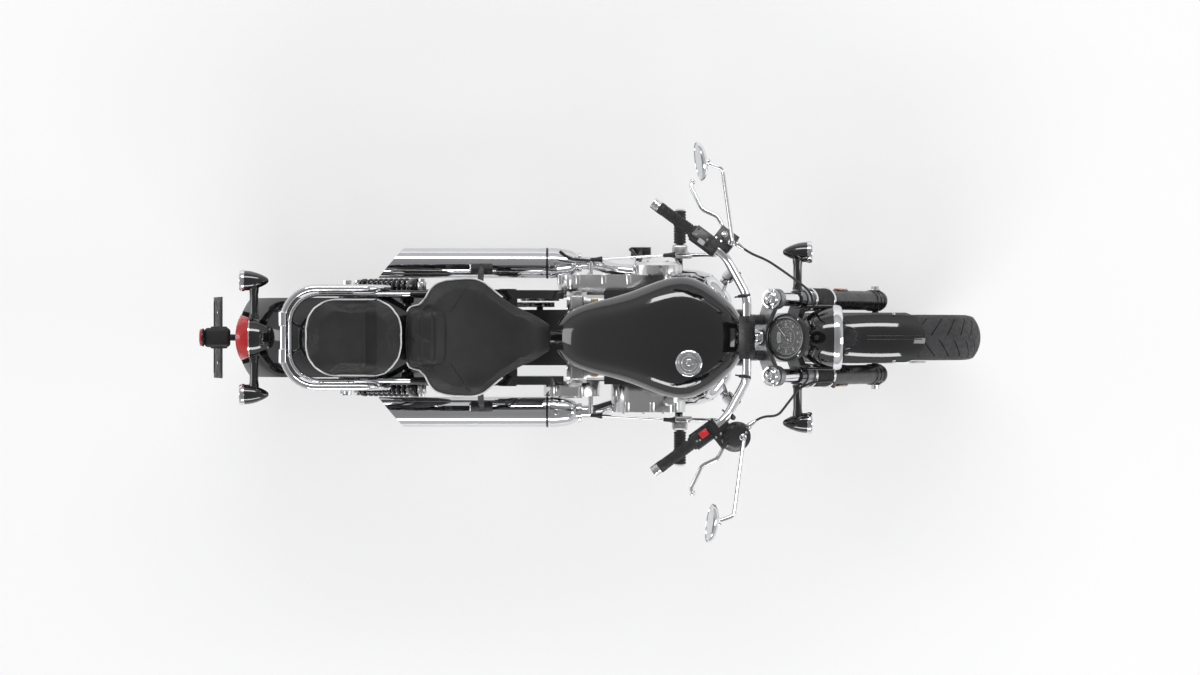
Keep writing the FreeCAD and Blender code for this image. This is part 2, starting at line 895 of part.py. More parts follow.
def makeForkLowers():
    """Two sliders with a bored top, lugs for the calliper and a hollow spindle between them."""
    corners = [
        ("-legFoot", "0"), ("-legFoot", "legRadius"), ("legTop", "legRadius"),
        ("legTop", "tubeRadius + bearingPlay"), ("legTop - legBoreDepth", "tubeRadius + bearingPlay"),
        ("legTop - legBoreDepth", "0"),
    ]
    left = lathe("LeftSlider", corners, steer * Placement(at(0, dim.legSpread, 0), alongFork))
    right = mirrored("RightSlider", left)
    reach = dim.legSpread + dim.legRadius
    spindle = rod("FrontSpindle", at(0, -reach, 0), at(0, reach, 0), "spindleRadius", steer)
    turn = math.radians(dim.caliperTurn)
    reach = dim.discRadius - dim.caliperDrop
    lug = block("CaliperLug",
                at(-reach * math.sin(turn) / 2, -lugPlane(dim.discPlane, dim.caliperLugWall),
                   reach * math.cos(turn)),
                "(discRadius - caliperDrop) * sin(caliperTurn)", "caliperLugWall", "caliperLugHeight", steer)
    reach = dim.legSpread + dim.legRadius
    whole = fused("Lowers", left, right, spindle, lug)
    bore = rod("SpindleBore", at(0, -reach - dim.overrun, 0), at(0, reach + dim.overrun, 0), "spindleBore",
               steer)
    node("fork_lowers", less("ForkLowers", whole, bore))


def makeForkTubes():
    """Chromed tubes that slide in the lowers, with a stepped cap on top."""
    low = "legTop - legBoreDepth + fit"
    corners = [
        (low, "0"), (low, "tubeRadius"), ("tubeTop", "tubeRadius"), ("tubeTop", "capRingRadius"),
        ("tubeTop + capRingRise", "capRingRadius"), ("tubeTop + capRingRise", "capRadius"),
        ("tubeTop + capRise", "capRadius - capRingRise"), ("tubeTop + capRise", "0"),
    ]
    left = lathe("LeftTube", corners, steer * Placement(at(0, dim.legSpread, 0), alongFork))
    node("fork_tubes", pair("ForkTubes", left))


def makeGaiters():
    """Ribbed rubber sleeves between the lowers and the lower yoke."""
    bore = "tubeRadius + fit"
    low, top = "(legTop + fit)", "(lowYokeZ - fit)"
    corners = [(low, bore), (low, "gaiterRadius - gaiterRib")]
    count = int(dim.gaiterRibCount)
    for rib in range(count):
        corners.append((f"{low} + ({top} - {low}) * {2 * rib + 1} / (2 * gaiterRibCount)", "gaiterRadius"))
        corners.append((f"{low} + ({top} - {low}) * {rib + 1} / gaiterRibCount", "gaiterRadius - gaiterRib"))
    corners.append((top, bore))
    left = lathe("LeftGaiter", corners, steer * Placement(at(0, dim.legSpread, 0), alongFork))
    node("fork_gaiters", pair("Gaiters", left))


def yokePlate(name, low, wall):
    """Two clamps, a stem boss and the web between them."""
    back = -dim.steerOffset
    clamps = [drum(f"{name}Clamp{side}", at(0, side * dim.legSpread, low), zAxis, "clampRadius", wall, steer)
              for side in (1, -1)]
    boss = drum(name + "Boss", at(back, 0, low), zAxis, "stemBossRadius", wall, steer)
    frame = steer * Placement(at(0, 0, low + worked(wall) / 2), Rotation())
    web = slab(name + "Web", [
        ("clampRadius / 2", "legSpread"), ("-steerOffset / 2", "stemBossRadius"),
        ("-steerOffset / 2", "-stemBossRadius"), ("clampRadius / 2", "-legSpread"),
        ("-clampRadius + weld", "-legSpread"), ("-steerOffset - stemBossRadius + weld", "0"),
        ("-clampRadius + weld", "legSpread"),
    ], wall, frame)
    return clamps + [boss, web]


def makeYokes():
    """Top and bottom yokes on one steering stem, bored for the fork tubes."""
    back = -dim.steerOffset
    pieces = yokePlate("LowYoke", dim.lowYokeZ, "lowYokeWall") + yokePlate("TopYoke", dim.topYokeZ,
                                                                           "topYokeWall")
    top = dim.topYokeZ + dim.topYokeWall
    stem = rod("Stem", at(back, 0, dim.lowYokeZ), at(back, 0, top + dim.stemNutRise), "stemRadius", steer)
    bores = [rod(f"TubeBore{side}", at(0, side * dim.legSpread, dim.lowYokeZ - dim.overrun),
                 at(0, side * dim.legSpread, top + dim.overrun), "tubeRadius + fit", steer) for side in (1,
                                                                                                         -1)]
    node("fork_yokes", less("Yokes", fused("YokeSolid", *pieces, stem), *bores))


def barPoints(side):
    return [
        at(dim.barClampX, side * dim.barShoulderY, dim.barClampZ),
        at(dim.barElbowX, side * dim.barElbowY, dim.barElbowZ),
        at(dim.barEndX, side * dim.barEndY, dim.barEndZ),
    ]


barElbow, barEnd = barPoints(1)[1:]
barRun = (barEnd - barElbow).normalize()
gripStart = barEnd - barRun * (dim.barPlugLength + dim.gripLength)
barTurn = turned(barRun, xAxis)
perchFrame = Placement(gripStart - barRun * (dim.switchLength + dim.perchLength / 2), barTurn)


def makeHandlebar():
    """One bar from grip to grip with a plug in each end."""
    points = barPoints(-1)[::-1] + barPoints(1)
    bar = tube("Bar", points, "barRadius", dim.barBend)
    plug = rod("LeftPlug", barEnd - barRun * dim.barPlugLength, barEnd, "barPlugRadius")
    node("handlebar", fused("Handlebar", bar, plug, mirrored("RightPlug", plug)))


def makeBarClamps():
    """Risers from the top yoke and the clamp over the bar."""
    bar = steer.inverse().multVec(at(dim.barClampX, 0, dim.barClampZ))
    foot = dim.topYokeZ + dim.topYokeWall + dim.fit
    risers = [rod(f"Riser{side}", at(bar.x, side * dim.riserSpread, foot),
                  at(bar.x, side * dim.riserSpread, bar.z),
                  "riserRadius", steer) for side in (1, -1)]
    cap = block("ClampCap", bar, "2 * clampHalf", "clampSpan", "2 * clampHalf", steer)
    hole = rod("ClampHole", at(bar.x, -dim.clampSpan, bar.z), at(bar.x, dim.clampSpan, bar.z),
               "barRadius + fit", steer)
    node("bar_clamps", less("BarClamps", fused("ClampSolid", *risers, cap), hole))


def sleeve(name, start, length, radius, bore):
    """A tube over the straight end of the bar."""
    frame = Placement(start, barTurn)
    return lathe(name, [("0", bore), ("0", radius), (length, radius), (length, bore)], frame)


def makeGrips():
    grip = sleeve("LeftGrip", gripStart, "gripLength - fit", "gripRadius", "barRadius + fit")
    node("grips", pair("Grips", grip))


def makeBarControls():
    """Switch housings and lever perches, with the brake reservoir on the right."""
    middle = gripStart - barRun * (dim.switchLength / 2 + dim.fit)
    half = barRun * (dim.switchLength / 2)
    housing = kept("SwitchHousing",
                   block("SwitchBlock", middle, "switchLength", "switchWidth", "switchHeight", upright,
                         barTurn),
                   rod("SwitchRound", middle - half, middle + half, "switchRound"))
    collar = block("PerchCollar", at(0, 0, 0), "perchLength", "switchWidth", "perchHeight", perchFrame)
    perch = block("PerchBlock", at(-dim.perchAlong, -dim.perchFore, 0), "perchSpan", "perchSpan",
                  "perchHeight", perchFrame)
    bore = tube("SwitchBore", barPoints(-1)[::-1] + barPoints(1), "barRadius + fit", dim.barBend)
    left = less("LeftControls", fused("ControlSolid", housing, collar, perch), bore)
    bend = "potLength / 2"
    potFrame = perchFrame * Placement(at(-dim.potAlong, -dim.potFore,
                                         (dim.potHeight - dim.perchHeight) / 2), Rotation())
    pot = slab("ReservoirPot", [
        ("-potLength / 2", "0", bend), ("0", "potWidth / 2", bend),
        ("potLength / 2", "0", bend), ("0", "-potWidth / 2", bend),
    ], "potHeight", potFrame)
    source = less("RightControlSource", fused("RightSolid", housing, collar, perch, pot), bore)
    node("bar_controls", together("BarControls", left, mirrored("RightControls", source)))


def makeLevers():
    """Ball-ended levers that start under the perches and sweep outboard of the grips."""
    points = [at(along * dim.leverSpan, -fore * dim.leverReach,
                 -dim.perchHeight / 2 - dim.leverRadius - dim.fit)
              for along, fore in leverShares]
    blade = tube("LeverBlade", points, "leverRadius", dim.leverBend, perchFrame)
    knob = ball("LeverKnob", points[-1], "leverBallRadius", perchFrame)
    node("levers", pair("Levers", fused("Lever", blade, knob)))


def mirrorPiece(word, root, shift, side):
    """A bent stem that stands square on the perch, and its oval head, on one side."""
    knee = at(dim.mirrorKneeX, dim.mirrorKneeY, dim.mirrorKneeZ) + shift
    top = at(dim.mirrorX, dim.mirrorY, dim.mirrorZ) + shift
    spots = [perchFrame.multVec(root), perchFrame.multVec(root + zAxis * dim.mirrorBoss), knee, top]
    points = [at(spot.x, side * spot.y, spot.z) for spot in spots]
    stem = tube(word + "Stem", points, "mirrorStemRadius", dim.mirrorBend)
    head = egg(word + "Head", points[-1], "mirrorHalfDepth", "mirrorHalfWidth", "mirrorHalfHeight")
    head.Placement.Rotation = Rotation(yAxis, dim.mirrorNod) * Rotation(zAxis, side * dim.mirrorToe)
    return fused(word + "Mirror", stem, head)


def makeMirrors():
    perchTop = dim.perchHeight / 2 + dim.fit
    potTop = dim.potHeight - dim.perchHeight / 2 + dim.fit
    left = mirrorPiece("Left", at(dim.mirrorRootAlong, dim.mirrorRootFore, perchTop), Vector(), 1)
    right = mirrorPiece("Right", at(dim.mirrorRightAlong, dim.mirrorRightFore, potTop),
                        at(dim.mirrorRightX, dim.mirrorRightY, 0), -1)
    node("mirrors", together("Mirrors", left, right))


def makeHeadlight():
    """Lamp bowl with a chromed ring and a recessed lens, held to the fork tubes by ears."""
    length = "(lampFrontX - lampBackX)"
    corners = [
        ("0", "0"), ("0", "lampBackRadius", "lampDomeArc"), (f"{length} - lampRing", "lampRadius"),
        (f"{length} - lampRing", "lampRadius + lampRingRise"), (length, "lampRadius - lampRingRise"),
        (length, "lampRadius - 3 * lampRingRise"), (f"{length} - lampLensDrop",
                                                    "lampRadius - 4 * lampRingRise"),
        (f"{length} - lampLensDrop", "0"),
    ]
    bowl = lathe("LampBowl", corners, Placement(at(dim.lampBackX, 0, dim.lampZ), Rotation()))
    tubeZ = lampOnFork
    tool = rod("EarBores", at(0, dim.legSpread, tubeZ - dim.earHeight),
               at(0, dim.legSpread, tubeZ + dim.earHeight),
               "tubeRadius + fit", steer)
    collar = rod("EarCollar", at(0, dim.legSpread, tubeZ - dim.earHeight / 2),
                 at(0, dim.legSpread, tubeZ + dim.earHeight / 2), "clampRadius - weld", steer)
    tubeX = steer.multVec(at(0, 0, tubeZ)).x
    armStart = tubeX + dim.tubeRadius + dim.weld
    armEnd = dim.lampFrontX - dim.lampRing - dim.overrun
    arm = block("EarArm",
                at((armStart + armEnd) / 2, dim.lampRadius - dim.earWall / 2, dim.lampZ + dim.earArmRise),
                f"{armEnd - armStart}", "earWall + weld", "earArmHeight")
    ear = less("Ear", fused("EarSolid", collar, arm), tool)
    notch = block("LampNotch",
                  at(dim.lampNotchX - dim.lampRadius / 2, 0,
                     dim.lowYokeZ + dim.lowYokeWall / 2), "lampRadius",
                  "2 * lampRadius", "lowYokeWall + 4 * overrun", steer)
    whole = fused("LampSolid", less("LampShell", bowl, notch), ear, mirrored("EarTwin", ear))
    node("headlight", whole)


lampOnFork = (dim.lampZ - dim.frontTyreRadius) / math.cos(math.radians(dim.rakeAngle))


def signal(name, x, y, z, facing):
    """A bullet lamp: round tip, straight drum and a rimmed lens that faces the given way."""
    corners = [
        ("0", "0"), ("0", "signalTip", "signalArc"), ("signalLength - 2 * signalRing",
                                                      "signalRadius - overrun"),
        ("signalLength - signalRing", "signalRadius - overrun"), ("signalLength - signalRing",
                                                                  "signalRadius"),
        ("signalLength - overrun", "signalRadius"), ("signalLength",
                                                     "signalRadius - weld"), ("signalLength", "0"),
    ]
    start = at(x - facing * dim.signalLength / 2, y, z)
    return lathe(name, corners, Placement(start, turned(at(facing, 0, 0), xAxis)))


def makeFrontSignals():
    lamp = signal("FrontSignal", dim.frontSignalX, dim.frontSignalY, dim.lampZ, 1)
    inner = dim.legSpread + dim.clampRadius - dim.weld + dim.fit
    stalk = rod("FrontStalk", at(dim.frontSignalX, inner, dim.lampZ),
                at(dim.frontSignalX, dim.frontSignalY, dim.lampZ), "signalStalk")
    node("front_signals", pair("FrontSignals", fused("FrontSignalPiece", lamp, stalk)))


def makeInstrument():
    """Round pod tilted to the rider, with a recessed dial and a foot on the top yoke."""
    normal = Rotation(yAxis, -dim.podTilt).multVec(zAxis)
    frame = Placement(at(dim.podX, 0, dim.podZ), turned(normal, xAxis))
    corners = [
        ("-podDepth", "0"), ("-podDepth", "podFoot", "podRadius"), ("-podDepth / 4", "podRadius"),
        ("0", "podRadius - overrun"), ("0", "dialRadius"), ("-dialDrop", "dialRadius"), ("-dialDrop", "0"),
    ]
    pod = lathe("Pod", corners, frame)
    start = -dim.steerOffset + dim.stemBossRadius + dim.fit
    arm = block("PodArm", at((start + dim.podArmReach) / 2, 0, dim.podArmZ),
                "podArmReach + steerOffset - stemBossRadius - fit",
                "podFoot", "earWall", steer)
    node("instrument", fused("Instrument", pod, arm))


def guardCorners(radius, half, arc, skirt, wall):
    """Section of a mudguard: a crowned top over two upright skirts."""
    inner = f"({half} - {wall})"
    edge = f"{radius} - {arc} + sqrt({arc}^2 - {half}^2)"
    innerEdge = f"{radius} - {arc} + sqrt(({arc} - {wall})^2 - {inner}^2)"
    low = f"{radius} - {skirt}"
    return [
        (f"-{half}", low), (f"-{half}", edge, arc), (half, edge), (half, low),
        (inner, low), (inner, innerEdge), (f"-{inner}", innerEdge), (f"-{inner}", low),
    ], innerEdge, inner


def guard(name, hub, radius, half, arc, skirt, fore, aft, extras=()):
    """A mudguard turned about the axle, from ahead of the top to behind it."""
    corners, innerEdge, inner = guardCorners(radius, half, arc, skirt, "guardWall")
    frame = hub * Placement(Vector(), Rotation(xAxis, 90 - getattr(dim, aft)))
    solid = lathe(name, [
        (f"-{half}", f"{radius} - {skirt}"), corners[1], corners[2], (half, f"{radius} - {skirt}"),
    ], frame, f"{fore} + {aft}")
    bowl = lathe(name + "Inside", [
        (f"-{inner}", f"{radius} - {skirt} - overrun"), (f"-{inner}", innerEdge, f"{arc} - guardWall"),
        (inner, innerEdge), (inner, f"{radius} - {skirt} - overrun"),
    ], hub)
    whole = fused(name + "Solid", solid, *extras) if extras else solid
    return less(name + "Sheet", whole, bowl)


def makeFrontGuard():
    sheetPiece = guard("FrontGuard", frontHub, "frontTyreRadius + frontGuardGap + guardWall",
                       "frontGuardHalf",
                       "frontGuardArc", "frontGuardSkirt", "frontGuardFore", "frontGuardAft")
    side = "(frontGuardHalf + overrun)"
    tail, straight = "frontAxleX - 2 * frontTyreRadius", f"frontGuardNoseX - {side}"
    plan = slab("GuardPlan", [
        (tail, f"-{side}"), (tail, side), (straight, side, side), ("frontGuardNoseX", "0", side),
        (straight, f"-{side}"),
    ], "8 * frontTyreRadius", upright)
    sheetPiece = kept("FrontGuardSheetRound", sheetPiece, plan)
    reach = dim.legSpread - dim.legRadius - dim.fit
    start = dim.frontGuardHalf - dim.guardWall / 2
    level = dim.frontTyreRadius + dim.frontGuardGap - dim.frontGuardSkirt + dim.guardLugHeight / 2
    lug = block("GuardLug", at(0, (reach + start) / 2, level), "guardLugLength", f"{reach - start}",
                "guardLugHeight", steer)
    node("front_guard", fused("FrontGuardPiece", sheetPiece, lug, mirrored("GuardLugTwin", lug)))


def makeRearGuard():
    """The rear mudguard with the mount that carries the passenger's pad."""
    crown = 2 * dim.rearTyreRadius + dim.rearGuardGap
    mount = block("PadMount", at(rearAxleX, 0, (crown + dim.padLowZ - dim.fit) / 2), "padMountLength",
                  "2 * padMountHalf",
                  "padLowZ - fit - 2 * rearTyreRadius - rearGuardGap")
    skirt = block("PadMountFoot", at(rearAxleX, 0, crown - dim.guardWall * 2), "padMountLength",
                  "2 * padMountHalf", "guardWall * 6")
    node("rear_guard",
         guard("RearGuard", rearHub, "rearTyreRadius + rearGuardGap + guardWall", "rearGuardHalf",
                             "rearGuardArc", "rearGuardSkirt", "rearGuardFore", "rearGuardAft", (mount,
                                                                                                 skirt)))


def makeCaliper(label, hub, plane, discRadius, turn):
    """Sliding calliper on the right, set square to its disc, with a slot that the disc runs through."""
    frame = hub * Placement(Vector(), Rotation(yAxis, turn))
    centre = at(0, -plane, discRadius - dim.caliperDrop)
    solid = block(label + "Block", centre, "caliperLength", "caliperWidth", "caliperHeight", frame)
    top = discRadius + dim.caliperPlay
    slot = block(label + "Slot", at(0, -plane, top - dim.caliperHeight), "caliperLength + 2 * overrun",
                 "discWall + 2 * caliperPlay", "2 * caliperHeight", frame)
    node(label, less(label + "Caliper", solid, slot))


def makeCalipers():
    makeCaliper("front_caliper", steer, dim.discPlane, dim.discRadius, -dim.caliperTurn)
    rearFrame = Placement(at(rearAxleX, 0, dim.rearTyreRadius), Rotation())
    makeCaliper("rear_caliper", rearFrame, dim.rearDiscPlane, dim.rearDiscRadius, dim.rearCaliperTurn)


def steerPoint(x, y, z):
    return steer.multVec(at(x, y, z))


def downTubePoints():
    """Where the cradle's down tubes leave the head and where they meet the uprights."""
    low = dim.lowYokeZ + dim.lowYokeWall + dim.headTubeGap
    head = steerPoint(-dim.steerOffset, 0, low + dim.headFootRise)
    return head, at((head.x + dim.downX) / 2, dim.cradleHalf, (head.z + dim.downZ) / 2)


def makeFrame():
    """Head tube, backbone, twin cradle, saddle rails and swinging arm pivot, welded into one."""
    back = -dim.steerOffset
    low, top = dim.lowYokeZ + dim.lowYokeWall + dim.headTubeGap, dim.topYokeZ - dim.headTubeGap
    head = rod("HeadTube", at(back, 0, low), at(back, 0, top), "headTubeRadius", steer)
    bore = rod("HeadBore", at(back, 0, low - dim.overrun), at(back, 0, top + dim.overrun),
               "stemRadius + headTubePlay", steer)
    headMiddle = steerPoint(back, 0, (low + top) / 2)
    backbone = tube("Backbone", [
        headMiddle, at(dim.backboneDropX, 0, dim.backboneDropZ), at(dim.backboneRearX, 0, dim.backboneRearZ),
        at(dim.backboneLowX, 0, dim.railZ - dim.frameTube), at(dim.cradleRearX, 0,
                                                               dim.railZ - dim.frameTube),
    ], "backboneTube", dim.frameBend)
    side = dim.cradleHalf
    headFoot, knee = downTubePoints()
    down = tube("DownTube", [headFoot, knee, at(dim.downX, side, dim.downZ)], "frameTube", dim.frameBend)
    cradle = tube("Cradle", [
        at(dim.downX, side, dim.downZ), at(dim.downX, side, dim.cradleZ), at(dim.cradleRearX, side,
                                                                             dim.cradleZ),
        at(dim.cradleRearX, side, dim.railZ - dim.frameTube),
    ], "frameTube", dim.cradleBend)
    railSide = dim.rearGuardHalf + dim.fit + dim.railTube
    rail = tube("SaddleRail", [
        at(dim.cradleRearX, 0, dim.railZ - dim.frameTube), at(dim.cradleRearX, side,
                                                              dim.railZ - dim.frameTube),
        at(dim.railRiseX, railSide, dim.railZ), at(dim.railEndX, railSide, dim.railZ),
    ], "railTube", dim.frameBend)
    shockPin = rod("ShockTopPin", at(dim.shockTopX, railSide, dim.shockTopZ),
                   at(dim.shockTopX, dim.shockSpread + dim.shockEyeWall / 2 + dim.overrun,
                      dim.shockTopZ), "spindleRadius")
    shockDrop = block("ShockHanger", at(dim.shockTopX, railSide, (dim.shockTopZ + dim.railZ) / 2),
                      "2 * shockEye", "railTube", "railZ - shockTopZ + spindleRadius * 2")
    plateCentre = at(dim.pivotX + (dim.cradleRearX - dim.pivotX) / 2, side, dim.pivotZ)
    plate = block("PivotPlate", plateCentre, "pivotPlateLength", "pivotPlateWall", "pivotPlateHeight")
    bridge = block("SaddleBridge", at(dim.saddleBridgeX, 0, (dim.railZ + dim.saddleLowZ - dim.fit) / 2),
                   "saddleBridgeLength", f"{2 * railSide}", "saddleLowZ - fit - railZ")
    lug = standLug()
    pegArm = footArm()
    halves = [down, cradle, rail, shockPin, shockDrop, plate]
    twins = [mirrored(piece.Name + "Twin", piece) for piece in halves]
    pivotReach = dim.armSpread + dim.armDrumWall / 2
    pivot = rod("PivotTube", at(dim.pivotX, -pivotReach, dim.pivotZ),
                at(dim.pivotX, pivotReach, dim.pivotZ), "pivotTube")
    whole = fused("FrameSolid", head, backbone, pivot, bridge, *halves, *twins, *lug, pegArm,
                  mirrored("FootArmTwin", pegArm))
    node("frame", less("Frame", whole, bore))


def makeSwingArm():
    """Two arms on the frame's pivot tube, a brace, and a hollow spindle for the wheel."""
    half = dim.armDrumWall / 2
    pieces = []
    barrel = rod("ArmDrum", at(dim.pivotX, dim.armSpread - half, dim.pivotZ),
                 at(dim.pivotX, dim.armSpread + half, dim.pivotZ), "armDrumRadius")
    arm = rod("Arm", at(dim.pivotX, dim.armSpread, dim.pivotZ),
              at(rearAxleX, dim.armSpread, dim.rearTyreRadius), "armTube")
    tip = rod("ArmTip", at(rearAxleX, dim.armSpread - dim.armTube, dim.rearTyreRadius),
              at(rearAxleX, dim.armSpread + dim.armTube, dim.rearTyreRadius), "armTipRadius")
    post = rod("ShockFootPost", at(dim.shockFootX, dim.armSpread, dim.pivotZ),
               at(dim.shockFootX, dim.armSpread, dim.shockFootZ), "spindleRadius")
    pin = rod("ShockFootPin", at(dim.shockFootX, dim.armSpread - dim.spindleRadius, dim.shockFootZ),
              at(dim.shockFootX, dim.shockSpread + dim.shockEyeWall / 2 + dim.overrun,
                 dim.shockFootZ), "spindleRadius")
    pieces = [barrel, arm, tip, post, pin]
    twins = [mirrored(piece.Name + "Twin", piece) for piece in pieces]
    brace = rod("ArmBrace", at(dim.armBraceX, -dim.armSpread, dim.pivotZ),
                at(dim.armBraceX, dim.armSpread, dim.pivotZ), "armTube")
    reach = dim.armSpread + dim.armTube + dim.spindleRadius
    spindle = rod("RearSpindle", at(rearAxleX, -reach, dim.rearTyreRadius),
                  at(rearAxleX, reach, dim.rearTyreRadius), "spindleRadius")
    turn = math.radians(dim.rearCaliperTurn)
    reach = dim.rearDiscRadius - dim.caliperDrop
    middle = at(rearAxleX + reach * math.sin(turn), -lugPlane(dim.rearDiscPlane, dim.rearLugWall),
                dim.rearTyreRadius + reach * math.cos(turn) / 2)
    caliperArm = block("CaliperArm", middle, "caliperLength / 3", "rearLugWall",
                       "(rearDiscRadius - caliperDrop) * cos(rearCaliperTurn)")
    pivotBore = rod("ArmBore", at(dim.pivotX, -dim.armSpread * 2, dim.pivotZ),
                    at(dim.pivotX, dim.armSpread * 2, dim.pivotZ), "pivotTube + fit")
    spindleBore = rod("RearBore", at(rearAxleX, -reach * 2, dim.rearTyreRadius),
                      at(rearAxleX, reach * 2, dim.rearTyreRadius), "spindleBore")
    whole = fused("SwingArmSolid", *pieces, *twins, brace, spindle, caliperArm)
    node("swing_arm", less("SwingArm", whole, pivotBore, spindleBore))


def makeShocks():
    """Spring and damper units, laid forward from the swinging arm to the saddle rails."""
    foot = at(dim.shockFootX, dim.shockSpread, dim.shockFootZ)
    top = at(dim.shockTopX, dim.shockSpread, dim.shockTopZ)
    length = (top - foot).Length
    sheetLength = f"{length}"
    corners = [("shockEye / 2", "0"), ("shockEye / 2", "shockBody"), ("shockEye * 2", "shockBody")]
    low, high = "shockEye * 2", f"({sheetLength} - shockEye * 2)"
    count = int(dim.shockCoilCount)
    for coil in range(count):
        corners.append((f"{low} + ({high} - {low}) * {2 * coil + 1} / (2 * shockCoilCount)", "shockSpring"))
        corners.append((f"{low} + ({high} - {low}) * {coil + 1} / shockCoilCount", "shockBody"))
    corners += [(f"{sheetLength} - shockEye / 2", "shockBody"), (f"{sheetLength} - shockEye / 2", "0")]
    body = lathe("ShockUnit", corners, Placement(foot, turned(top - foot, xAxis)))
    half = dim.shockEyeWall / 2
    eyes = [rod(f"ShockEye{number}", spot - yAxis * half, spot + yAxis * half, "shockEye")
            for number, spot in enumerate((foot, top))]
    bores = [rod(f"ShockBore{number}", spot - yAxis * half * 2, spot + yAxis * half * 2,
                 "spindleRadius + fit")
             for number, spot in enumerate((foot, top))]
    node("rear_shocks", pair("RearShocks", less("Shock", fused("ShockSolid", body, *eyes), *bores)))


standTurn = math.radians(dim.standTilt)
standAxis = at(0, math.cos(standTurn), math.sin(standTurn))
standPivot = at(dim.standX, dim.standY, dim.standZ)


def standLug():
    """Welded bracket and pin that the side stand swings on."""
    outer = standPivot + standAxis * (dim.standEyeHalf + dim.overrun)
    face = standPivot - standAxis * (dim.standEyeHalf + dim.fit)
    inner = face - standAxis * dim.standLugWall
    cheek = rod("StandCheek", inner, face, "standEye")
    pin = rod("StandPin", inner, outer, "standPin")
    middle = inner + (face - inner) * 0.5
    start = dim.cradleHalf + dim.frameTube / 2
    web = block("StandWeb", at(dim.standX, (start + middle.y) / 2, (dim.cradleZ + middle.z) / 2),
                "2 * standEye", f"{middle.y - start}", "standLugWall")
    return [cheek, pin, web]


def footArm():
    """Forged arm from the cradle out and up to the rider's footrest."""
    return tube("FootArm", [
        at(dim.pegX, dim.cradleHalf, dim.cradleZ), at(dim.pegX, dim.pegArmY, dim.pegArmZ),
        at(dim.pegX, dim.pegArmY, dim.pegZ), at(dim.pegX, dim.pegInnerY - dim.fit, dim.pegZ),
    ], "pegArm", dim.pegArmBend)


def makeSideStand():
    """Leg that swings from its stop, where its pad lies on the leant machine's ground, to the rear."""
    lateral = math.cos(math.radians(dim.standForward))
    down = at(math.sin(math.radians(dim.standForward)), lateral * math.sin(standTurn),
              -lateral * math.cos(standTurn))
    pivotHeight = lean.multVec(standPivot).z
    fall = -lean.Rotation.multVec(down).z
    foot = standPivot + down * ((pivotHeight - dim.standPadWall) / fall)
    eye = rod("StandEye", standPivot - standAxis * dim.standEyeHalf,
              standPivot + standAxis * dim.standEyeHalf, "standEye")
    leg = rod("StandLeg", standPivot, foot, "standRadius")
    level = lean.Rotation.inverted()
    pad = block("StandPad", foot + level.multVec(zAxis) * (-dim.standPadWall / 2), "standPadLength",
                "standPadWidth",
                "standPadWall", upright, level)
    elbow = foot - down * dim.standPadLength
    tip = elbow + at(-dim.standTangReach / 2, dim.standTangReach, dim.standTangReach)
    tang = tube("StandTang", [elbow, elbow + at(0, dim.standTangReach / 2, 0), tip], "standTangRadius",
                dim.standTangReach / 2)
    bore = rod("StandBore", standPivot - standAxis * dim.standPadLength,
               standPivot + standAxis * dim.standPadLength,
               "standPin + bearingPlay")
    node("side_stand", less("SideStand", fused("StandSolid", eye, leg, pad, tang), bore))


def makeEngineCase():
    """Crankcase and gearbox as one heavy casting, with the output shaft and its sprocket."""
    low = dim.cradleZ + dim.frameTube + dim.fit
    height = f"caseTopZ - cradleZ - frameTube - fit"
    middle = (low + dim.caseTopZ) / 2
    main = block("CrankCase", at((dim.caseFrontX + dim.caseMidX) / 2, 0, middle), "caseFrontX - caseMidX",
                 "2 * caseHalf", height)
    box = block("GearCase", at((dim.caseMidX + dim.caseRearX) / 2, 0, (dim.gearboxLowZ + dim.caseTopZ) / 2),
                "caseMidX - caseRearX + 2 * weld", "2 * gearboxHalf", "caseTopZ - gearboxLowZ")
    shaft = rod("OutputShaft", at(dim.driveX, dim.gearboxHalf - dim.weld, dim.driveZ),
                at(dim.driveX, dim.chainPlane + dim.sprocketWall, dim.driveZ), "spindleRadius")
    sprocket = rod("DriveSprocket", at(dim.driveX, dim.chainPlane - dim.sprocketWall / 2, dim.driveZ),
                   at(dim.driveX, dim.chainPlane + dim.sprocketWall / 2, dim.driveZ),
                   "driveRadius - chainDepth / 2 - bearingPlay")
    node("engine_case", fused("EngineCase", main, box, shaft, sprocket))


def finStack(name, low, high, half, halfLength):
    """Cooling fins round a block, one above the other."""
    fins = []
    level = low + dim.finPitch / 2
    while level < high - dim.finWall:
        fins.append(block(f"{name}Fin{len(fins)}", at(dim.barrelX, 0, level),
                          f"2 * ({halfLength} + finDepth)",
                          f"2 * ({half} + finDepth)", "finWall"))
        level += dim.finPitch
    return fins


def makeBarrels():
    low = dim.caseTopZ + dim.fit
    core = block("BarrelCore", at(dim.barrelX, 0, (low + dim.barrelTopZ) / 2), "2 * barrelHalfLength",
                 "2 * barrelHalf", "barrelTopZ - caseTopZ - fit")
    node("barrels",
         fused("Barrels", core, *finStack("Barrel", low, dim.barrelTopZ, "barrelHalf", "barrelHalfLength")))


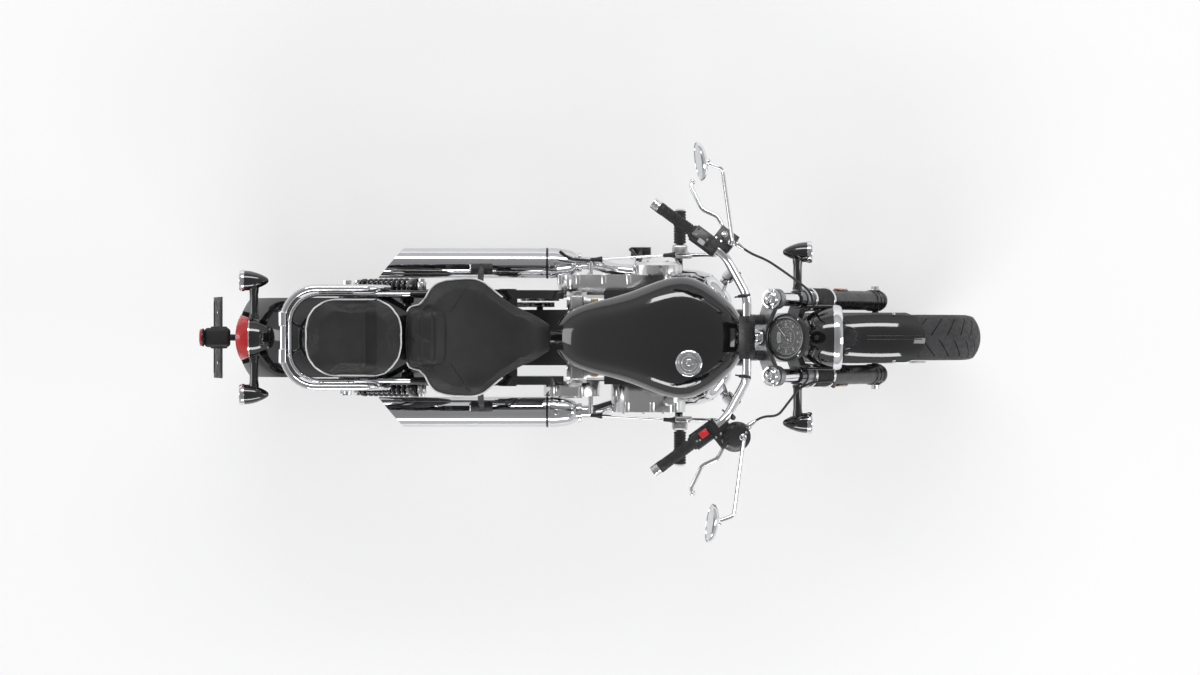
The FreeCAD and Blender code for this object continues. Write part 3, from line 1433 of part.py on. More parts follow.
def makeCylinderHead():
    """Finned head with a smooth cam cover on top."""
    low = dim.barrelTopZ + dim.fit
    core = block("HeadCore", at(dim.barrelX, 0, (low + dim.headTopZ) / 2), "2 * barrelHalfLength",
                 "2 * barrelHalf", "headTopZ - barrelTopZ - fit")
    cover = block("CamCover", at(dim.barrelX, 0, (dim.headTopZ + dim.camTopZ) / 2),
                  "2 * (barrelHalfLength - camInset)", "2 * (barrelHalf - camInset)", "camTopZ - headTopZ")
    fins = finStack("Head", low, dim.headTopZ, "barrelHalf", "barrelHalfLength")
    ports = [rod(f"Port{side}", at(dim.barrelX, side * dim.portY, dim.portZ),
                 at(dim.portX + dim.finDepth + dim.fit, side * dim.portY,
                    dim.portZ), "pipeRadius + weld") for side in (1, -1)]
    node("cylinder_head", fused("CylinderHead", core, cover, *fins, *ports))


def stadium(name, rear, front, inner, outer, side):
    """A rounded side cover that lies flat on the crankcase."""
    half = "coverHalfHeight"
    frame = Placement(at(0, side * (worked(inner) + worked(outer)) / 2, dim.coverZ), Rotation(xAxis, 90))
    corners = [
        (f"{rear} + {half}", half), (f"{front} - {half}", half, f"{half} * 1.02"), (f"{front} - {half}",
                                                                                    f"-{half}"),
        (f"{rear} + {half}", f"-{half}", f"{half} * 1.02"),
    ]
    body = slab(name, corners, f"{outer} - {inner}", frame)
    return body


def makeCovers():
    """Polished covers: alternator side with its dome, clutch side, and the gearbox cover."""
    left = stadium("LeftCover", "leftCoverRearX", "leftCoverFrontX", "caseHalf + fit", "leftCoverY", 1)
    dome = lathe("LeftDome", [
        ("0", "0"), ("0", "leftDomeRadius"), ("leftDomeY - leftCoverY + weld - coverEdge", "leftDomeRadius"),
        ("leftDomeY - leftCoverY + weld", "leftDomeRadius - coverEdge"), ("leftDomeY - leftCoverY + weld",
                                                                          "0"),
    ], Placement(at(dim.leftDomeX, dim.leftCoverY - dim.weld, dim.coverZ), turned(yAxis, xAxis)))
    guardStart = dim.chainPlane + dim.chainWall / 2 + dim.bearingPlay * 10
    chainCase = rod("ChainCase", at(dim.driveX, guardStart, dim.driveZ),
                    at(dim.driveX, guardStart + dim.chainCaseWall, dim.driveZ), "chainCaseRadius")
    bridge = block("ChainCaseBridge",
                   at(dim.leftCoverRearX, guardStart + dim.chainCaseWall * 3 / 4,
                      dim.coverZ - dim.coverEdge),
                   "chainCaseRadius * 1.5", "chainCaseWall / 2", "chainCaseRadius")
    right = stadium("RightCover", "rightCoverRearX", "rightCoverFrontX", "caseHalf + fit", "rightCoverY", -1)
    gear = stadium("GearCover", "gearCoverRearX", "gearCoverFrontX", "caseHalf + fit", "gearCoverY", -1)
    badge = rod("BadgeDisc", at(dim.badgeX, -dim.gearCoverY + dim.weld, dim.coverZ),
                at(dim.badgeX, -dim.gearCoverY - dim.badgeRise, dim.coverZ), "badgeLength")
    shaftEnd = dim.linkRearY - dim.linkRadius - dim.fit
    shafts = [rod("ShiftShaft", at(dim.linkRearX, dim.leftCoverY - dim.weld, dim.coverZ),
                  at(dim.linkRearX, shaftEnd, dim.coverZ), "shaftRadius"),
              rod("BrakeShaft", at(dim.linkRearX, -dim.gearCoverY + dim.weld, dim.coverZ),
                  at(dim.linkRearX, -shaftEnd, dim.coverZ), "shaftRadius")]
    node("engine_covers", together("Covers", fused("LeftCovers", left, dome, chainCase, bridge, shafts[0]),
                                   fused("RightCovers", right, gear, badge, shafts[1])))


def makeThrottles():
    """Throttle bodies behind the head, each with its rubber stub."""
    stub = f"barrelX - barrelHalfLength - finDepth - fit - (throttleX - throttleLength / 2)"
    corners = [("0", "0"), ("0", "throttleRadius"), ("throttleLength", "throttleRadius"),
               ("throttleLength", "intakeRadius"), (stub, "intakeRadius"), (stub, "0")]
    left = lathe("LeftThrottle", corners,
                 Placement(at(dim.throttleX - dim.throttleLength / 2, dim.throttleY, dim.throttleZ),
                           Rotation()))
    node("throttle_bodies", pair("Throttles", left))


def makeExhausts():
    """Header pipes that loop out ahead of the engine and run back under its covers."""
    points = [
        at(dim.portX + dim.finDepth + dim.fit * 2, dim.portY, dim.portZ),
        at(dim.headerFrontX, dim.portY, dim.portZ),
        at(dim.headerFrontX - dim.headerSweep, dim.headerSideY, dim.portZ - dim.headerSweep),
        at(dim.headerDropX, dim.headerSideY + dim.pipeRadius, dim.headerLowZ),
        at(dim.headerRearX, dim.silencerY - dim.pipeRadius, dim.headerLowZ),
        at(dim.headerRiseX, dim.silencerY, dim.silencerZ), at(dim.coneFrontX + dim.fit, dim.silencerY,
                                                              dim.silencerZ),
    ]
    pipe = tube("LeftHeader", points, "pipeRadius", dim.pipeBend)
    node("header_pipes", pair("HeaderPipes", pipe))
    length = "(coneFrontX - silencerRearX)"
    cone = "(coneFrontX - silencerFrontX)"
    wall = "silencerWall"
    shell = lathe("SilencerShell", [
        ("0", "0"), ("0", "coneRadius"), (cone, "silencerRadius"), (length, "silencerRadius"),
        (length, f"silencerRadius - {wall}"), (f"{cone} + {wall} * 4",
                                               f"silencerRadius - {wall}"), (f"{cone} + {wall} * 4", "0"),
    ], Placement(at(dim.coneFrontX, dim.silencerY, dim.silencerZ), turned(-xAxis, xAxis)))
    slope = math.degrees(math.atan2(dim.silencerRadius * 2, dim.silencerSlash))
    tool = block("SlashTool", at(dim.silencerRearX, dim.silencerY - dim.silencerRadius, dim.silencerZ)
                 + Rotation(zAxis, -slope).multVec(at(0, dim.silencerSlash, 0)),
                 "silencerSlash * 4", "silencerSlash * 2", "silencerSlash * 2", upright, Rotation(zAxis,
                                                                                                  -slope))
    node("silencers", pair("Silencers", less("LeftSilencer", shell, tool)))


def ringWire(station, y, low, high, square):
    """A closed section across the machine as an upper and a lower half, squarer as its share falls."""
    points = []
    for number in range(ringPointCount):
        angle = 2 * math.pi * number / ringPointCount
        across, up = math.cos(angle), math.sin(angle)
        wide = math.copysign(abs(across) ** square, across)
        tall = math.copysign(abs(up) ** square, up)
        points.append(at(station, y * wide, (low + high) / 2 + (high - low) / 2 * tall))
    half = ringPointCount // 2
    upper = Part.BSplineCurve()
    upper.interpolate(points[: half + 1])
    lower = Part.BSplineCurve()
    lower.interpolate(points[half:] + points[:1])
    return Part.Wire([upper.toShape(), lower.toShape()])


def loftAlong(name, rear, front, half, low, top, shares, square):
    wires = [ringWire(rear + (front - rear) * along, half * wide, low, low + (top - low) * tall, square)
             for along, wide, tall in shares]
    thing = doc.addObject("Part::Feature", name)
    thing.Shape = Part.makeLoft(wires, True, False)
    return thing


def makeTank():
    """Teardrop tank over the backbone, with its tunnel, its rubber seats and a well for the cap."""
    solid = loftAlong("TankSkin", dim.tankRearX, dim.tankFrontX, dim.tankHalf, dim.tankLowZ, dim.tankTopZ,
                      tankShares, tankSquareShare)
    tunnel = block("Tunnel", at((dim.tankRearX + dim.tankFrontX) / 2, 0, dim.tunnelTopZ - dim.tankHalf),
                   "2 * (tankFrontX - tankRearX)", "2 * tunnelHalf", "2 * tankHalf")
    well = drum("FillerWell", at(dim.fillerX, dim.fillerY, dim.fillerTopZ - dim.fillerSeatDepth), zAxis,
                "fillerRadius + fit", "fillerSeatDepth * 4")
    hollow = less("TankHollow", solid, tunnel, well)
    mounts = []
    for number, x in enumerate((dim.tankMountFrontX, dim.tankMountRearX)):
        slope = (dim.backboneDropZ - dim.backboneRearZ) / (dim.backboneDropX - dim.backboneRearX)
        low = dim.backboneRearZ + (x + dim.tankMountLength / 2
                                   - dim.backboneRearX) * slope + dim.backboneTube + dim.fit
        mounts.append(block(f"TankMount{number}", at(x, 0, (low + dim.tunnelTopZ + dim.weld) / 2),
                            "tankMountLength",
                            "2 * tankMountHalf", f"{dim.tunnelTopZ + dim.weld - low}"))
    node("fuel_tank", fused("Tank", hollow, *mounts))


def makeFillerCap():
    corners = [("0", "0"), ("0", "fillerRadius"), ("fillerSeatDepth + fillerRise / 2", "fillerRadius"),
               ("fillerSeatDepth + fillerRise",
                "fillerRadius - fillerRise"), ("fillerSeatDepth + fillerRise", "0")]
    node("filler_cap",
         lathe("FillerCap", corners,
               Placement(at(dim.fillerX, dim.fillerY, dim.fillerTopZ - dim.fillerSeatDepth + dim.fit),
                         alongFork)))


def makeSaddle():
    node("rider_saddle",
         loftAlong("Saddle", dim.saddleRearX, dim.saddleFrontX, dim.saddleHalf, dim.saddleLowZ,
                   dim.saddleTopZ, saddleShares, saddleSquareShare))


def makePad():
    """Passenger's cushion, rounded in plan and along its edge."""
    length = "(padFrontX - padRearX)"
    half = "padHalf"
    x, r = f"{length} / 2", "padCorner"
    corners = [
        (f"-{x}", f"{half} - {r}", r), (f"-{x} + {r}", half), (f"{x} - {r}", half, r), (x, f"{half} - {r}"),
        (x, f"{r} - {half}", r), (f"{x} - {r}", f"-{half}"), (f"-{x} + {r}", f"-{half}", r),
        (f"-{x}", f"{r} - {half}"),
    ]
    frame = Placement(at((dim.padFrontX + dim.padRearX) / 2, 0, dim.padLowZ + dim.padHeight / 2), Rotation())
    body = slab("Pad", corners, "padHeight", frame)
    doc.recompute()
    fillet = body.newObject("PartDesign::Fillet", "PadRounding")
    pad = doc.getObject("PadPad")
    edges = [f"Edge{number}" for number, edge in enumerate(pad.Shape.Edges, 1)
             if edge.BoundBox.ZLength < dim.fit and edge.BoundBox.ZMax > 0]
    fillet.Base = (pad, edges)
    bind(fillet, Radius="padRound")
    body.Tip = fillet
    node("pillion_pad", body)


def makeSideCovers():
    """Panels under the saddle that close the frame's sides."""
    x, z = "sideCoverLength / 2", "sideCoverHeight / 2"
    corners = [
        (f"-{x}", z, "sideCoverLength"), (x, f"{z} * {sideCoverFrontShare}"),
        (f"{x} * {sideCoverFrontShare}", f"-{z}", "sideCoverLength"),
        (f"-{x} * {sideCoverFrontShare}", f"-{z} * {sideCoverFrontShare}"),
    ]
    frame = Placement(at(dim.sideCoverX, dim.sideCoverY, dim.sideCoverZ), Rotation(xAxis, 90))
    panel = slab("SideCover", corners, "sideCoverWall", frame)
    start = dim.cradleHalf + dim.frameTube + dim.fit
    lug = block("SideCoverLug", at(dim.cradleRearX, (start + dim.sideCoverY) / 2, dim.sideCoverZ),
                "2 * railTube",
                "sideCoverY - cradleHalf - frameTube - fit", "2 * railTube")
    node("side_covers", pair("SideCovers", fused("SideCoverPiece", panel, lug)))


def makeHoops():
    """Chromed grab hoop, the thinner hoop inside it and the stays down to the mudguard."""
    railTop = dim.railZ + dim.railTube + dim.fit
    outer = tube("GrabHoop", [
        at(dim.hoopLegX, dim.hoopY, railTop), at(dim.hoopLegX - dim.hoopLean, dim.hoopY, dim.hoopZ),
        at(dim.hoopRearX, dim.hoopY, dim.hoopZ), at(dim.hoopRearX, -dim.hoopY, dim.hoopZ),
        at(dim.hoopLegX - dim.hoopLean, -dim.hoopY, dim.hoopZ), at(dim.hoopLegX, -dim.hoopY, railTop),
    ], "hoopRadius", dim.hoopBend)
    inner = tube("InnerHoop", [
        at(dim.innerHoopFrontX, dim.innerHoopY, dim.innerHoopZ), at(dim.innerHoopRearX, dim.innerHoopY,
                                                                    dim.innerHoopZ),
        at(dim.innerHoopRearX, -dim.innerHoopY, dim.innerHoopZ), at(dim.innerHoopFrontX, -dim.innerHoopY,
                                                                    dim.innerHoopZ),
    ], "innerHoopRadius", dim.hoopBend - dim.hoopRadius)
    guardRadius = dim.rearTyreRadius + dim.rearGuardGap + dim.guardWall
    crownDrop = dim.rearGuardArc - math.sqrt(dim.rearGuardArc ** 2
                                             - (dim.hoopStaySpread - dim.innerHoopRadius) ** 2)
    reach = guardRadius - crownDrop + dim.fit
    foot = dim.rearTyreRadius + math.sqrt(reach ** 2
                                          - (dim.hoopStayX - rearAxleX + dim.innerHoopRadius) ** 2)
    stay = rod("HoopStay", at(dim.hoopStayX, dim.hoopStaySpread, foot),
               at(dim.hoopStayX, dim.hoopStaySpread, dim.hoopZ), "innerHoopRadius")
    node("grab_rail", fused("GrabRail", outer, inner, stay, mirrored("HoopStayTwin", stay)))


def guardForm(name):
    """The outside of the rear mudguard, a little larger, for what sits on it."""
    radius = "rearTyreRadius + rearGuardGap + guardWall + fit"
    half = "rearGuardHalf"
    edge = f"{radius} - rearGuardArc + sqrt(rearGuardArc^2 - {half}^2)"
    return lathe(name, [(f"-{half}", "0"), (f"-{half}", edge, "rearGuardArc"), (half, edge), (half, "0")],
                 rearHub)


def tailLampForm(name, grow="0"):
    """The tail lamp moulding, which tapers forward, or the same a little larger."""
    rear = f"(tailLampHalf * {tailLampRearShare} + {grow})"
    front = f"(tailLampHalf * {tailLampFrontShare} + {grow})"
    corners = [("0", rear), ("tailLampLength", front), ("tailLampLength", f"-{front}"),
               ("0", f"-{rear}", "tailLampHalf * 3")]
    frame = Placement(at(dim.tailLampX, 0, (dim.tailLampTopZ + dim.tailLampLowZ) / 2), Rotation())
    outline = slab(name + "Outline", corners, "tailLampTopZ - tailLampLowZ", frame)
    centre = at(dim.tailLampX + dim.tailLampLength * tailLampCrownShare, 0, dim.tailLampLowZ)
    crown = egg(name + "Crown", centre, f"tailLampLength * {tailLampLengthShare} + {grow}",
                f"tailLampHalf * {tailLampWidthShare} + {grow}", f"tailLampTopZ - tailLampLowZ + {grow}")
    return kept(name, outline, crown)


def makeTailLamp():
    node("tail_lamp", less("TailLamp", tailLampForm("TailLampSolid"), guardForm("TailLampSeat")))


def makeRearSignals():
    """Rear signals on stalks that meet the sides of the tail lamp."""
    lamp = signal("RearSignal", dim.rearSignalX, dim.rearSignalY, dim.rearSignalZ, -1)
    stalk = rod("RearStalk", at(dim.rearSignalX, 0, dim.rearSignalZ),
                at(dim.rearSignalX, dim.rearSignalY, dim.rearSignalZ), "signalStalk")
    piece = less("RearSignalPiece", fused("RearSignalSolid", lamp, stalk),
                 tailLampForm("TailLampClear", "fit"), guardForm("StalkSeat"))
    node("rear_signals", pair("RearSignals", piece))


def makePlateHolder():
    """Number plate panel with two holes, its lamp hood and the arm from the mudguard's tail."""
    tilt = Rotation(yAxis, dim.plateTilt)
    frame = Placement(at(dim.plateX, 0, dim.plateZ), tilt)
    panel = block("PlatePanel", Vector(), "plateWall", "plateWidth", "plateHeight", frame)
    hood = block("PlateHood", at(dim.hoodX, 0, dim.hoodZ), "hoodLength", "2 * hoodHalf", "hoodHeight")
    turn = math.radians(dim.rearGuardAft - 1)
    inner = dim.rearTyreRadius + dim.rearGuardGap
    tail = at(rearAxleX - inner * math.sin(turn), 0, dim.rearTyreRadius + inner * math.cos(turn))
    arm = rod("PlateArm", tail, at(dim.hoodX, 0, dim.hoodZ), "hangerRadius")
    holes = [rod(f"PlateHole{side}", at(-dim.plateWidth, side * dim.plateHoleSpan / 2, 0),
                 at(dim.plateWidth / 4, side * dim.plateHoleSpan / 2,
                    0), "plateHole", frame) for side in (1, -1)]
    node("plate_holder",
         less("PlateHolder", fused("PlateSolid", panel, hood, arm), guardForm("PlateSeat"), *holes))


def makeReflector():
    hoodRear = dim.hoodX - dim.hoodLength / 2 - dim.fit
    node("rear_reflector",
         rod("Reflector", at(dim.reflectorRearX, 0, dim.hoodZ), at(hoodRear, 0, dim.hoodZ),
             "reflectorRadius"))


def makeFootControls():
    """Rubber footrests, the pedals and the rods that run back along the engine."""
    rest = rod("Footrest", at(dim.pegX, dim.pegInnerY, dim.pegZ), at(dim.pegX, dim.pegOuterY, dim.pegZ),
               "pegRadius")
    start = at(dim.pegX + dim.pegArm + dim.fit, dim.pegArmY, dim.pegZ - dim.pegRadius)
    pedal = tube("Pedal",
                 [start, at(dim.pedalX, dim.pegArmY, dim.pedalZ), at(dim.pedalX, dim.pedalY, dim.pedalZ)],
                 "pedalRadius", dim.pedalBend)
    link = rod("ControlRod", at(dim.pegX - dim.pegArm - dim.fit, dim.pegArmY, dim.coverZ),
               at(dim.linkRearX, dim.linkRearY, dim.coverZ), "linkRadius")
    node("foot_controls",
         together("FootControls", rest, pedal, link,
                  *[mirrored(f"{piece.Name}Twin", piece) for piece in (rest, pedal, link)]))


def makeRearPegs():
    """Passenger's footrests, folded back, on hangers from the saddle rails."""
    half = dim.rearPegLength / 2
    peg = rod("RearPeg", at(dim.rearPegX - half, dim.rearPegY, dim.rearPegZ),
              at(dim.rearPegX + half, dim.rearPegY, dim.rearPegZ), "rearPegRadius")
    railSide = dim.rearGuardHalf + dim.fit + dim.railTube
    railFoot = dim.railZ - dim.railTube - dim.fit
    hanger = tube("RearHanger", [
        at(dim.rearPegX, railSide, railFoot), at(dim.rearPegX, railSide, railFoot - dim.hangerDrop),
        at(dim.rearPegX, dim.rearPegY - dim.rearPegRadius, dim.rearPegZ + dim.rearPegLength),
        at(dim.rearPegX, dim.rearPegY, dim.rearPegZ),
    ], "hangerRadius", dim.rearPegLength)
    bolt = rod("SilencerBolt", at(dim.rearPegX, dim.silencerY - dim.hangerInset, dim.rearPegZ),
               at(dim.rearPegX, dim.silencerY - dim.hangerInset,
                  dim.silencerZ + dim.silencerRadius + dim.fit), "hangerRadius")
    node("rear_pegs", pair("RearPegs", fused("RearPegPiece", peg, hanger, bolt)))


def makeHorns():
    """Two horns, each on a stay that stands square on a down tube of the frame."""
    direction = at(1, 1, 0).normalize()
    front = at(dim.hornX, dim.hornY, dim.hornZ)
    horn = rod("Horn", front - direction * dim.hornLength, front, "hornRadius")
    head, knee = downTubePoints()
    along = (knee - head).normalize()
    middle = front - direction * (dim.hornLength / 4)
    spot = head + along * (middle - head).dot(along)
    stay = rod("HornStay", spot + (middle - spot).normalize() * (dim.frameTube + dim.fit), middle,
               "pedalRadius")
    node("horns", pair("Horns", fused("HornPiece", horn, stay)))


def makeChain():
    """Drive chain as its two runs and the arcs round both sprockets."""
    drive, wheel = at(dim.driveX, 0, dim.driveZ), at(rearAxleX, 0, dim.rearTyreRadius)
    half = dim.chainDepth / 2

    def band(grow, name):
        pieces = []
        small, large = dim.driveRadius + grow, dim.sprocketRadius + grow
        between = wheel - drive
        lean = math.asin((large - small) / between.Length)
        slope = math.atan2(between.z, between.x)
        corners = []
        for centre, radius in ((drive, small), (wheel, large)):
            for sign in (1, -1):
                angle = slope - sign * (math.pi / 2 + lean)
                corners.append(centre + at(math.cos(angle), 0, math.sin(angle)) * radius)
        face = Part.Face(Part.makePolygon([corners[0], corners[1], corners[3], corners[2], corners[0]]))
        solids = [face.extrude(yAxis * dim.chainWall)]
        for centre, radius in ((drive, small), (wheel, large)):
            solids.append(Part.makeCylinder(radius, dim.chainWall, centre, yAxis))
        return solids[0].multiFuse(solids[1:]).removeSplitter()

    thing = doc.addObject("Part::Feature", "Chain")
    thing.Shape = band(half, "Outer").cut(band(-half, "Inner"))
    thing.Placement = Placement(at(0, dim.chainPlane - dim.chainWall / 2, 0), Rotation())
    node("drive_chain", thing)


def makeCables():
    """Clutch cable to its guide by the lamp, and brake hose from the reservoir to the calliper."""
    start = at(-dim.perchAlong - dim.perchSpan / 2 - dim.fit, -dim.cableFore, 0)
    left = [perchFrame.multVec(start), perchFrame.multVec(start - xAxis * dim.cableRun)]
    left += [at(*point) for point in clutchCablePoints]
    left.append(at(*clutchCableEnd, dim.lampZ + dim.earArmRise + dim.earArmHeight / 2 + dim.fit))
    start = at(-dim.potAlong - dim.potLength / 2 - dim.fit, -dim.potFore, 0)
    right = [perchFrame.multVec(start), perchFrame.multVec(start - xAxis * dim.cableRun)]
    right = [at(point.x, -point.y, point.z) for point in right] + [at(*point) for point in brakeHosePoints]
    right += [steerPoint(*point) for point in brakeHoseForkPoints]
    turn = math.radians(dim.caliperTurn)
    reach = dim.discRadius - dim.caliperDrop
    for beyond in (dim.caliperHeight / 2, 0):
        along = dim.caliperLength / 2 + dim.fit + beyond
        right.append(steerPoint(along * math.cos(turn) - reach * math.sin(turn), -dim.hoseOut,
                                reach * math.cos(turn) + along * math.sin(turn)))
    pieces = []
    for name, points in (("ClutchCable", left), ("BrakeHose", right)):
        pieces.append(tube(name, points, "cableRadius", dim.cableBend, share=cableBendShare))
        path = bentWire(points, dim.cableBend, cableBendShare)
        radii = [round(edge.Curve.Radius) for edge in path.Edges if hasattr(edge.Curve, "Radius")]
        print(name, "bends of", radii, "mm, swept volume",
              round(path.Length * math.pi * dim.cableRadius ** 2))
    node("control_cables", together("Cables", *pieces))


def buildAll():
    makeWheels()
    makeForkLowers()
    makeForkTubes()
    makeGaiters()
    makeYokes()
    makeHandlebar()
    makeBarClamps()
    makeGrips()
    makeBarControls()
    makeLevers()
    makeMirrors()
    makeHeadlight()
    makeFrontSignals()
    makeInstrument()
    makeFrontGuard()
    makeRearGuard()
    makeCalipers()
    makeFrame()
    makeSwingArm()
    makeShocks()
    makeSideStand()
    makeEngineCase()
    makeBarrels()
    makeCylinderHead()
    makeCovers()
    makeThrottles()
    makeExhausts()
    makeTank()
    makeFillerCap()
    makeSaddle()
    makePad()
    makeSideCovers()
    makeHoops()
    makeTailLamp()
    makeRearSignals()
    makePlateHolder()
    makeReflector()
    makeFootControls()
    makeRearPegs()
    makeHorns()
    makeChain()
    makeCables()


def checkAndExport():
    """Every object healthy, every node valid, then one STEP file for each node."""
    doc.recompute()
    for thing in nodes:
        thing.Placement = lean * thing.Placement
    doc.recompute()
    for thing in doc.Objects:
        if "Invalid" in thing.State or "Error" in thing.State:
            raise RuntimeError(f"{thing.Name} did not build: {thing.State}")
    for thing in nodes:
        if thing.Shape.isNull() or not thing.Shape.isValid():
            raise RuntimeError(f"{thing.Label} has no valid shape")
        print(thing.Label, len(thing.Shape.Solids), round(thing.Shape.Volume))
        thing.Shape.exportStep(f"parts/{thing.Label}.step")


buildAll()
checkAndExport()
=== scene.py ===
import math
import bpy
from mathutils import Matrix, Vector


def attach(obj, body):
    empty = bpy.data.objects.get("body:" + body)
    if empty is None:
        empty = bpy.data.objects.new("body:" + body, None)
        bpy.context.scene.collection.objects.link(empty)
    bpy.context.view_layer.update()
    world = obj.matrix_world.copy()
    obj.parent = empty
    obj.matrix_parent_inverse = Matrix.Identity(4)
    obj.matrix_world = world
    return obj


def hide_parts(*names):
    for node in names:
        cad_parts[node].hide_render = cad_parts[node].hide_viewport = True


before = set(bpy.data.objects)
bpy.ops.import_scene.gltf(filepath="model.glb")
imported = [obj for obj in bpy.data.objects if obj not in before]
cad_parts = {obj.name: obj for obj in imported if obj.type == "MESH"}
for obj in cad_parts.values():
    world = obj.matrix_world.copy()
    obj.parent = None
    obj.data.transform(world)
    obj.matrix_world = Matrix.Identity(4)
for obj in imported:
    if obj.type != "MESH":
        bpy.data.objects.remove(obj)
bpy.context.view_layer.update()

print("frame loaded,", len(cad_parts), "nodes")

# The machine is drawn upright, then leant onto its stand as the frame is
leanTurn = math.radians(-10)
lean = Matrix.Translation((0, -0.182, 0.001671)) @ Matrix.Rotation(leanTurn, 4, "X")
rake = math.radians(32)
frontHub = Vector((0.8575, 0, 0.320))
rearHub = Vector((-0.7525, 0, 0.326))
fork = Matrix.Translation(frontHub) @ Matrix.Rotation(-rake, 4, "Y")  # z runs up the fork legs

view = {"above": 11.6, "along": 0.0185, "lens": 110.95, "floor": (0.965, 0.965, 0.97), "glow": 0.5}


def moved(*spot):
    return Matrix.Translation(spot)


def turned(degrees, axis):
    return Matrix.Rotation(math.radians(degrees), 4, axis)


def placed(spot, direction=(0, 0, 1), spin=0):
    # A matrix whose z looks along the direction
    turn = Vector(direction).to_track_quat("Z", "Y").to_matrix().to_4x4()
    return Matrix.Translation(spot) @ turn @ Matrix.Rotation(spin, 4, "Z")


# Camera first, straight above the upright machine
camera = bpy.data.objects.new("camera", bpy.data.cameras.new("camera"))
bpy.context.scene.collection.objects.link(camera)
camera.data.lens = view["lens"]
camera.data.sensor_width = 36
camera.data.clip_end = 60
camera.matrix_world = lean @ moved(view["along"], 0, view["above"])
bpy.context.scene.camera = camera
bpy.context.scene.view_settings.view_transform = "Standard"


def dropSelection():
    if bpy.context.object and bpy.context.object.mode != "OBJECT":
        bpy.ops.object.mode_set(mode="OBJECT")
    bpy.ops.object.select_all(action="DESELECT")


def choose(piece):
    dropSelection()
    piece.select_set(True)
    bpy.context.view_layer.objects.active = piece


def editAll():
    bpy.ops.object.mode_set(mode="EDIT")
    bpy.ops.mesh.select_all(action="SELECT")


def bake(piece, place=Matrix.Identity(4)):
    # The object's own placing goes into its mesh
    piece.data.transform(place @ piece.matrix_basis)
    piece.matrix_basis = Matrix.Identity(4)


def mm(*numbers):
    # Millimetres in pairs, mostly radius and height, as pairs of metres
    return [(across / 1000, up / 1000) for across, up in zip(numbers[::2], numbers[1::2])]


def raised(base, *numbers):
    # The same, with the heights counted from the base
    return [(across, base + up) for across, up in mm(*numbers)]


def wire(material, start, out, end, into):
    material.node_tree.links.new(start.outputs[out], end.inputs[into])


def startFinish(name, roughness, metallic=0.0, coat=0.0):
    material = bpy.data.materials.new(name)
    material.use_nodes = True
    shader = material.node_tree.nodes["Principled BSDF"]
    shader.inputs["Roughness"].default_value = roughness
    shader.inputs["Metallic"].default_value = metallic
    shader.inputs["Coat Weight"].default_value = coat
    shader.inputs["Coat Roughness"].default_value = 0.05
    place = material.node_tree.nodes.new("ShaderNodeTexCoord")
    return material, shader, place


def addNoise(material, place, scale, detail=4, stretch=None):
    noise = material.node_tree.nodes.new("ShaderNodeTexNoise")
    noise.inputs["Scale"].default_value = scale
    noise.inputs["Detail"].default_value = detail
    if stretch:
        mapping = material.node_tree.nodes.new("ShaderNodeMapping")
        mapping.inputs["Scale"].default_value = stretch
        wire(material, place, "Object", mapping, "Vector")
        wire(material, mapping, "Vector", noise, "Vector")
    else:
        wire(material, place, "Object", noise, "Vector")
    return noise


def addRamp(material, source, out, stops):
    ramp = material.node_tree.nodes.new("ShaderNodeValToRGB")
    wire(material, source, out, ramp, "Fac")
    while len(ramp.color_ramp.elements) < len(stops):
        ramp.color_ramp.elements.new(0.5)
    for element, (spot, color) in zip(ramp.color_ramp.elements, stops):
        element.position = spot
        element.color = (*color, 1) if len(color) == 3 else color
    return ramp


def addBump(material, shader, source, out, strength, depth):
    bump = material.node_tree.nodes.new("ShaderNodeBump")
    bump.inputs["Strength"].default_value = strength
    bump.inputs["Distance"].default_value = depth
    wire(material, source, out, bump, "Height")
    wire(material, bump, "Normal", shader, "Normal")


def tint(color, by):
    return tuple(min(1, part * by) for part in color)


def makeFinish(name, color, roughness, metallic=0.0, coat=0.0, mottle=6, spread=0.12, sheen=0.25, grain=220, bump=0.15,
        depth=0.0004):
    # Colour and gloss wander slowly over the piece, and a fine grain stands on it
    material, shader, place = startFinish(name, roughness, metallic, coat)
    slow = addNoise(material, place, mottle)
    shade = addRamp(material, slow, "Fac", [(0.32, tint(color, 1 - spread)), (0.68, tint(color, 1 + spread))])
    wire(material, shade, "Color", shader, "Base Color")
    low, high = roughness * (1 - sheen), min(1, roughness * (1 + sheen))
    gloss = addRamp(material, addNoise(material, place, mottle * 4.5, 6), "Fac", [(0.35, (low,) * 3), (0.7, (high,) * 3)])
    wire(material, gloss, "Color", shader, "Roughness")
    fine = addNoise(material, place, grain, 3)
    addBump(material, shader, fine, "Fac", bump, depth)
    return material


def makeTurnedSteel(name, color, roughness, centre, axis, lines):
    # Fine turned rings about a wheel's axle
    material, shader, place = startFinish(name, roughness, 1.0)
    mapping = material.node_tree.nodes.new("ShaderNodeMapping")
    spot = lean @ Vector(centre)
    turn = (lean.to_3x3() @ Vector(axis)).to_track_quat("Z", "Y").inverted().to_euler()
    mapping.inputs["Location"].default_value = -(turn.to_matrix() @ spot)
    mapping.inputs["Rotation"].default_value = turn
    wire(material, place, "Object", mapping, "Vector")
    rings = material.node_tree.nodes.new("ShaderNodeTexWave")
    rings.wave_type = "RINGS"
    rings.rings_direction = "Z"
    rings.inputs["Scale"].default_value = lines
    rings.inputs["Distortion"].default_value = 1.5
    rings.inputs["Detail"].default_value = 3
    wire(material, mapping, "Vector", rings, "Vector")
    shade = addRamp(material, rings, "Fac", [(0.1, tint(color, 0.8)), (0.9, tint(color, 1.1))])
    wire(material, shade, "Color", shader, "Base Color")
    addBump(material, shader, rings, "Fac", 0.2, 0.0003)
    return material


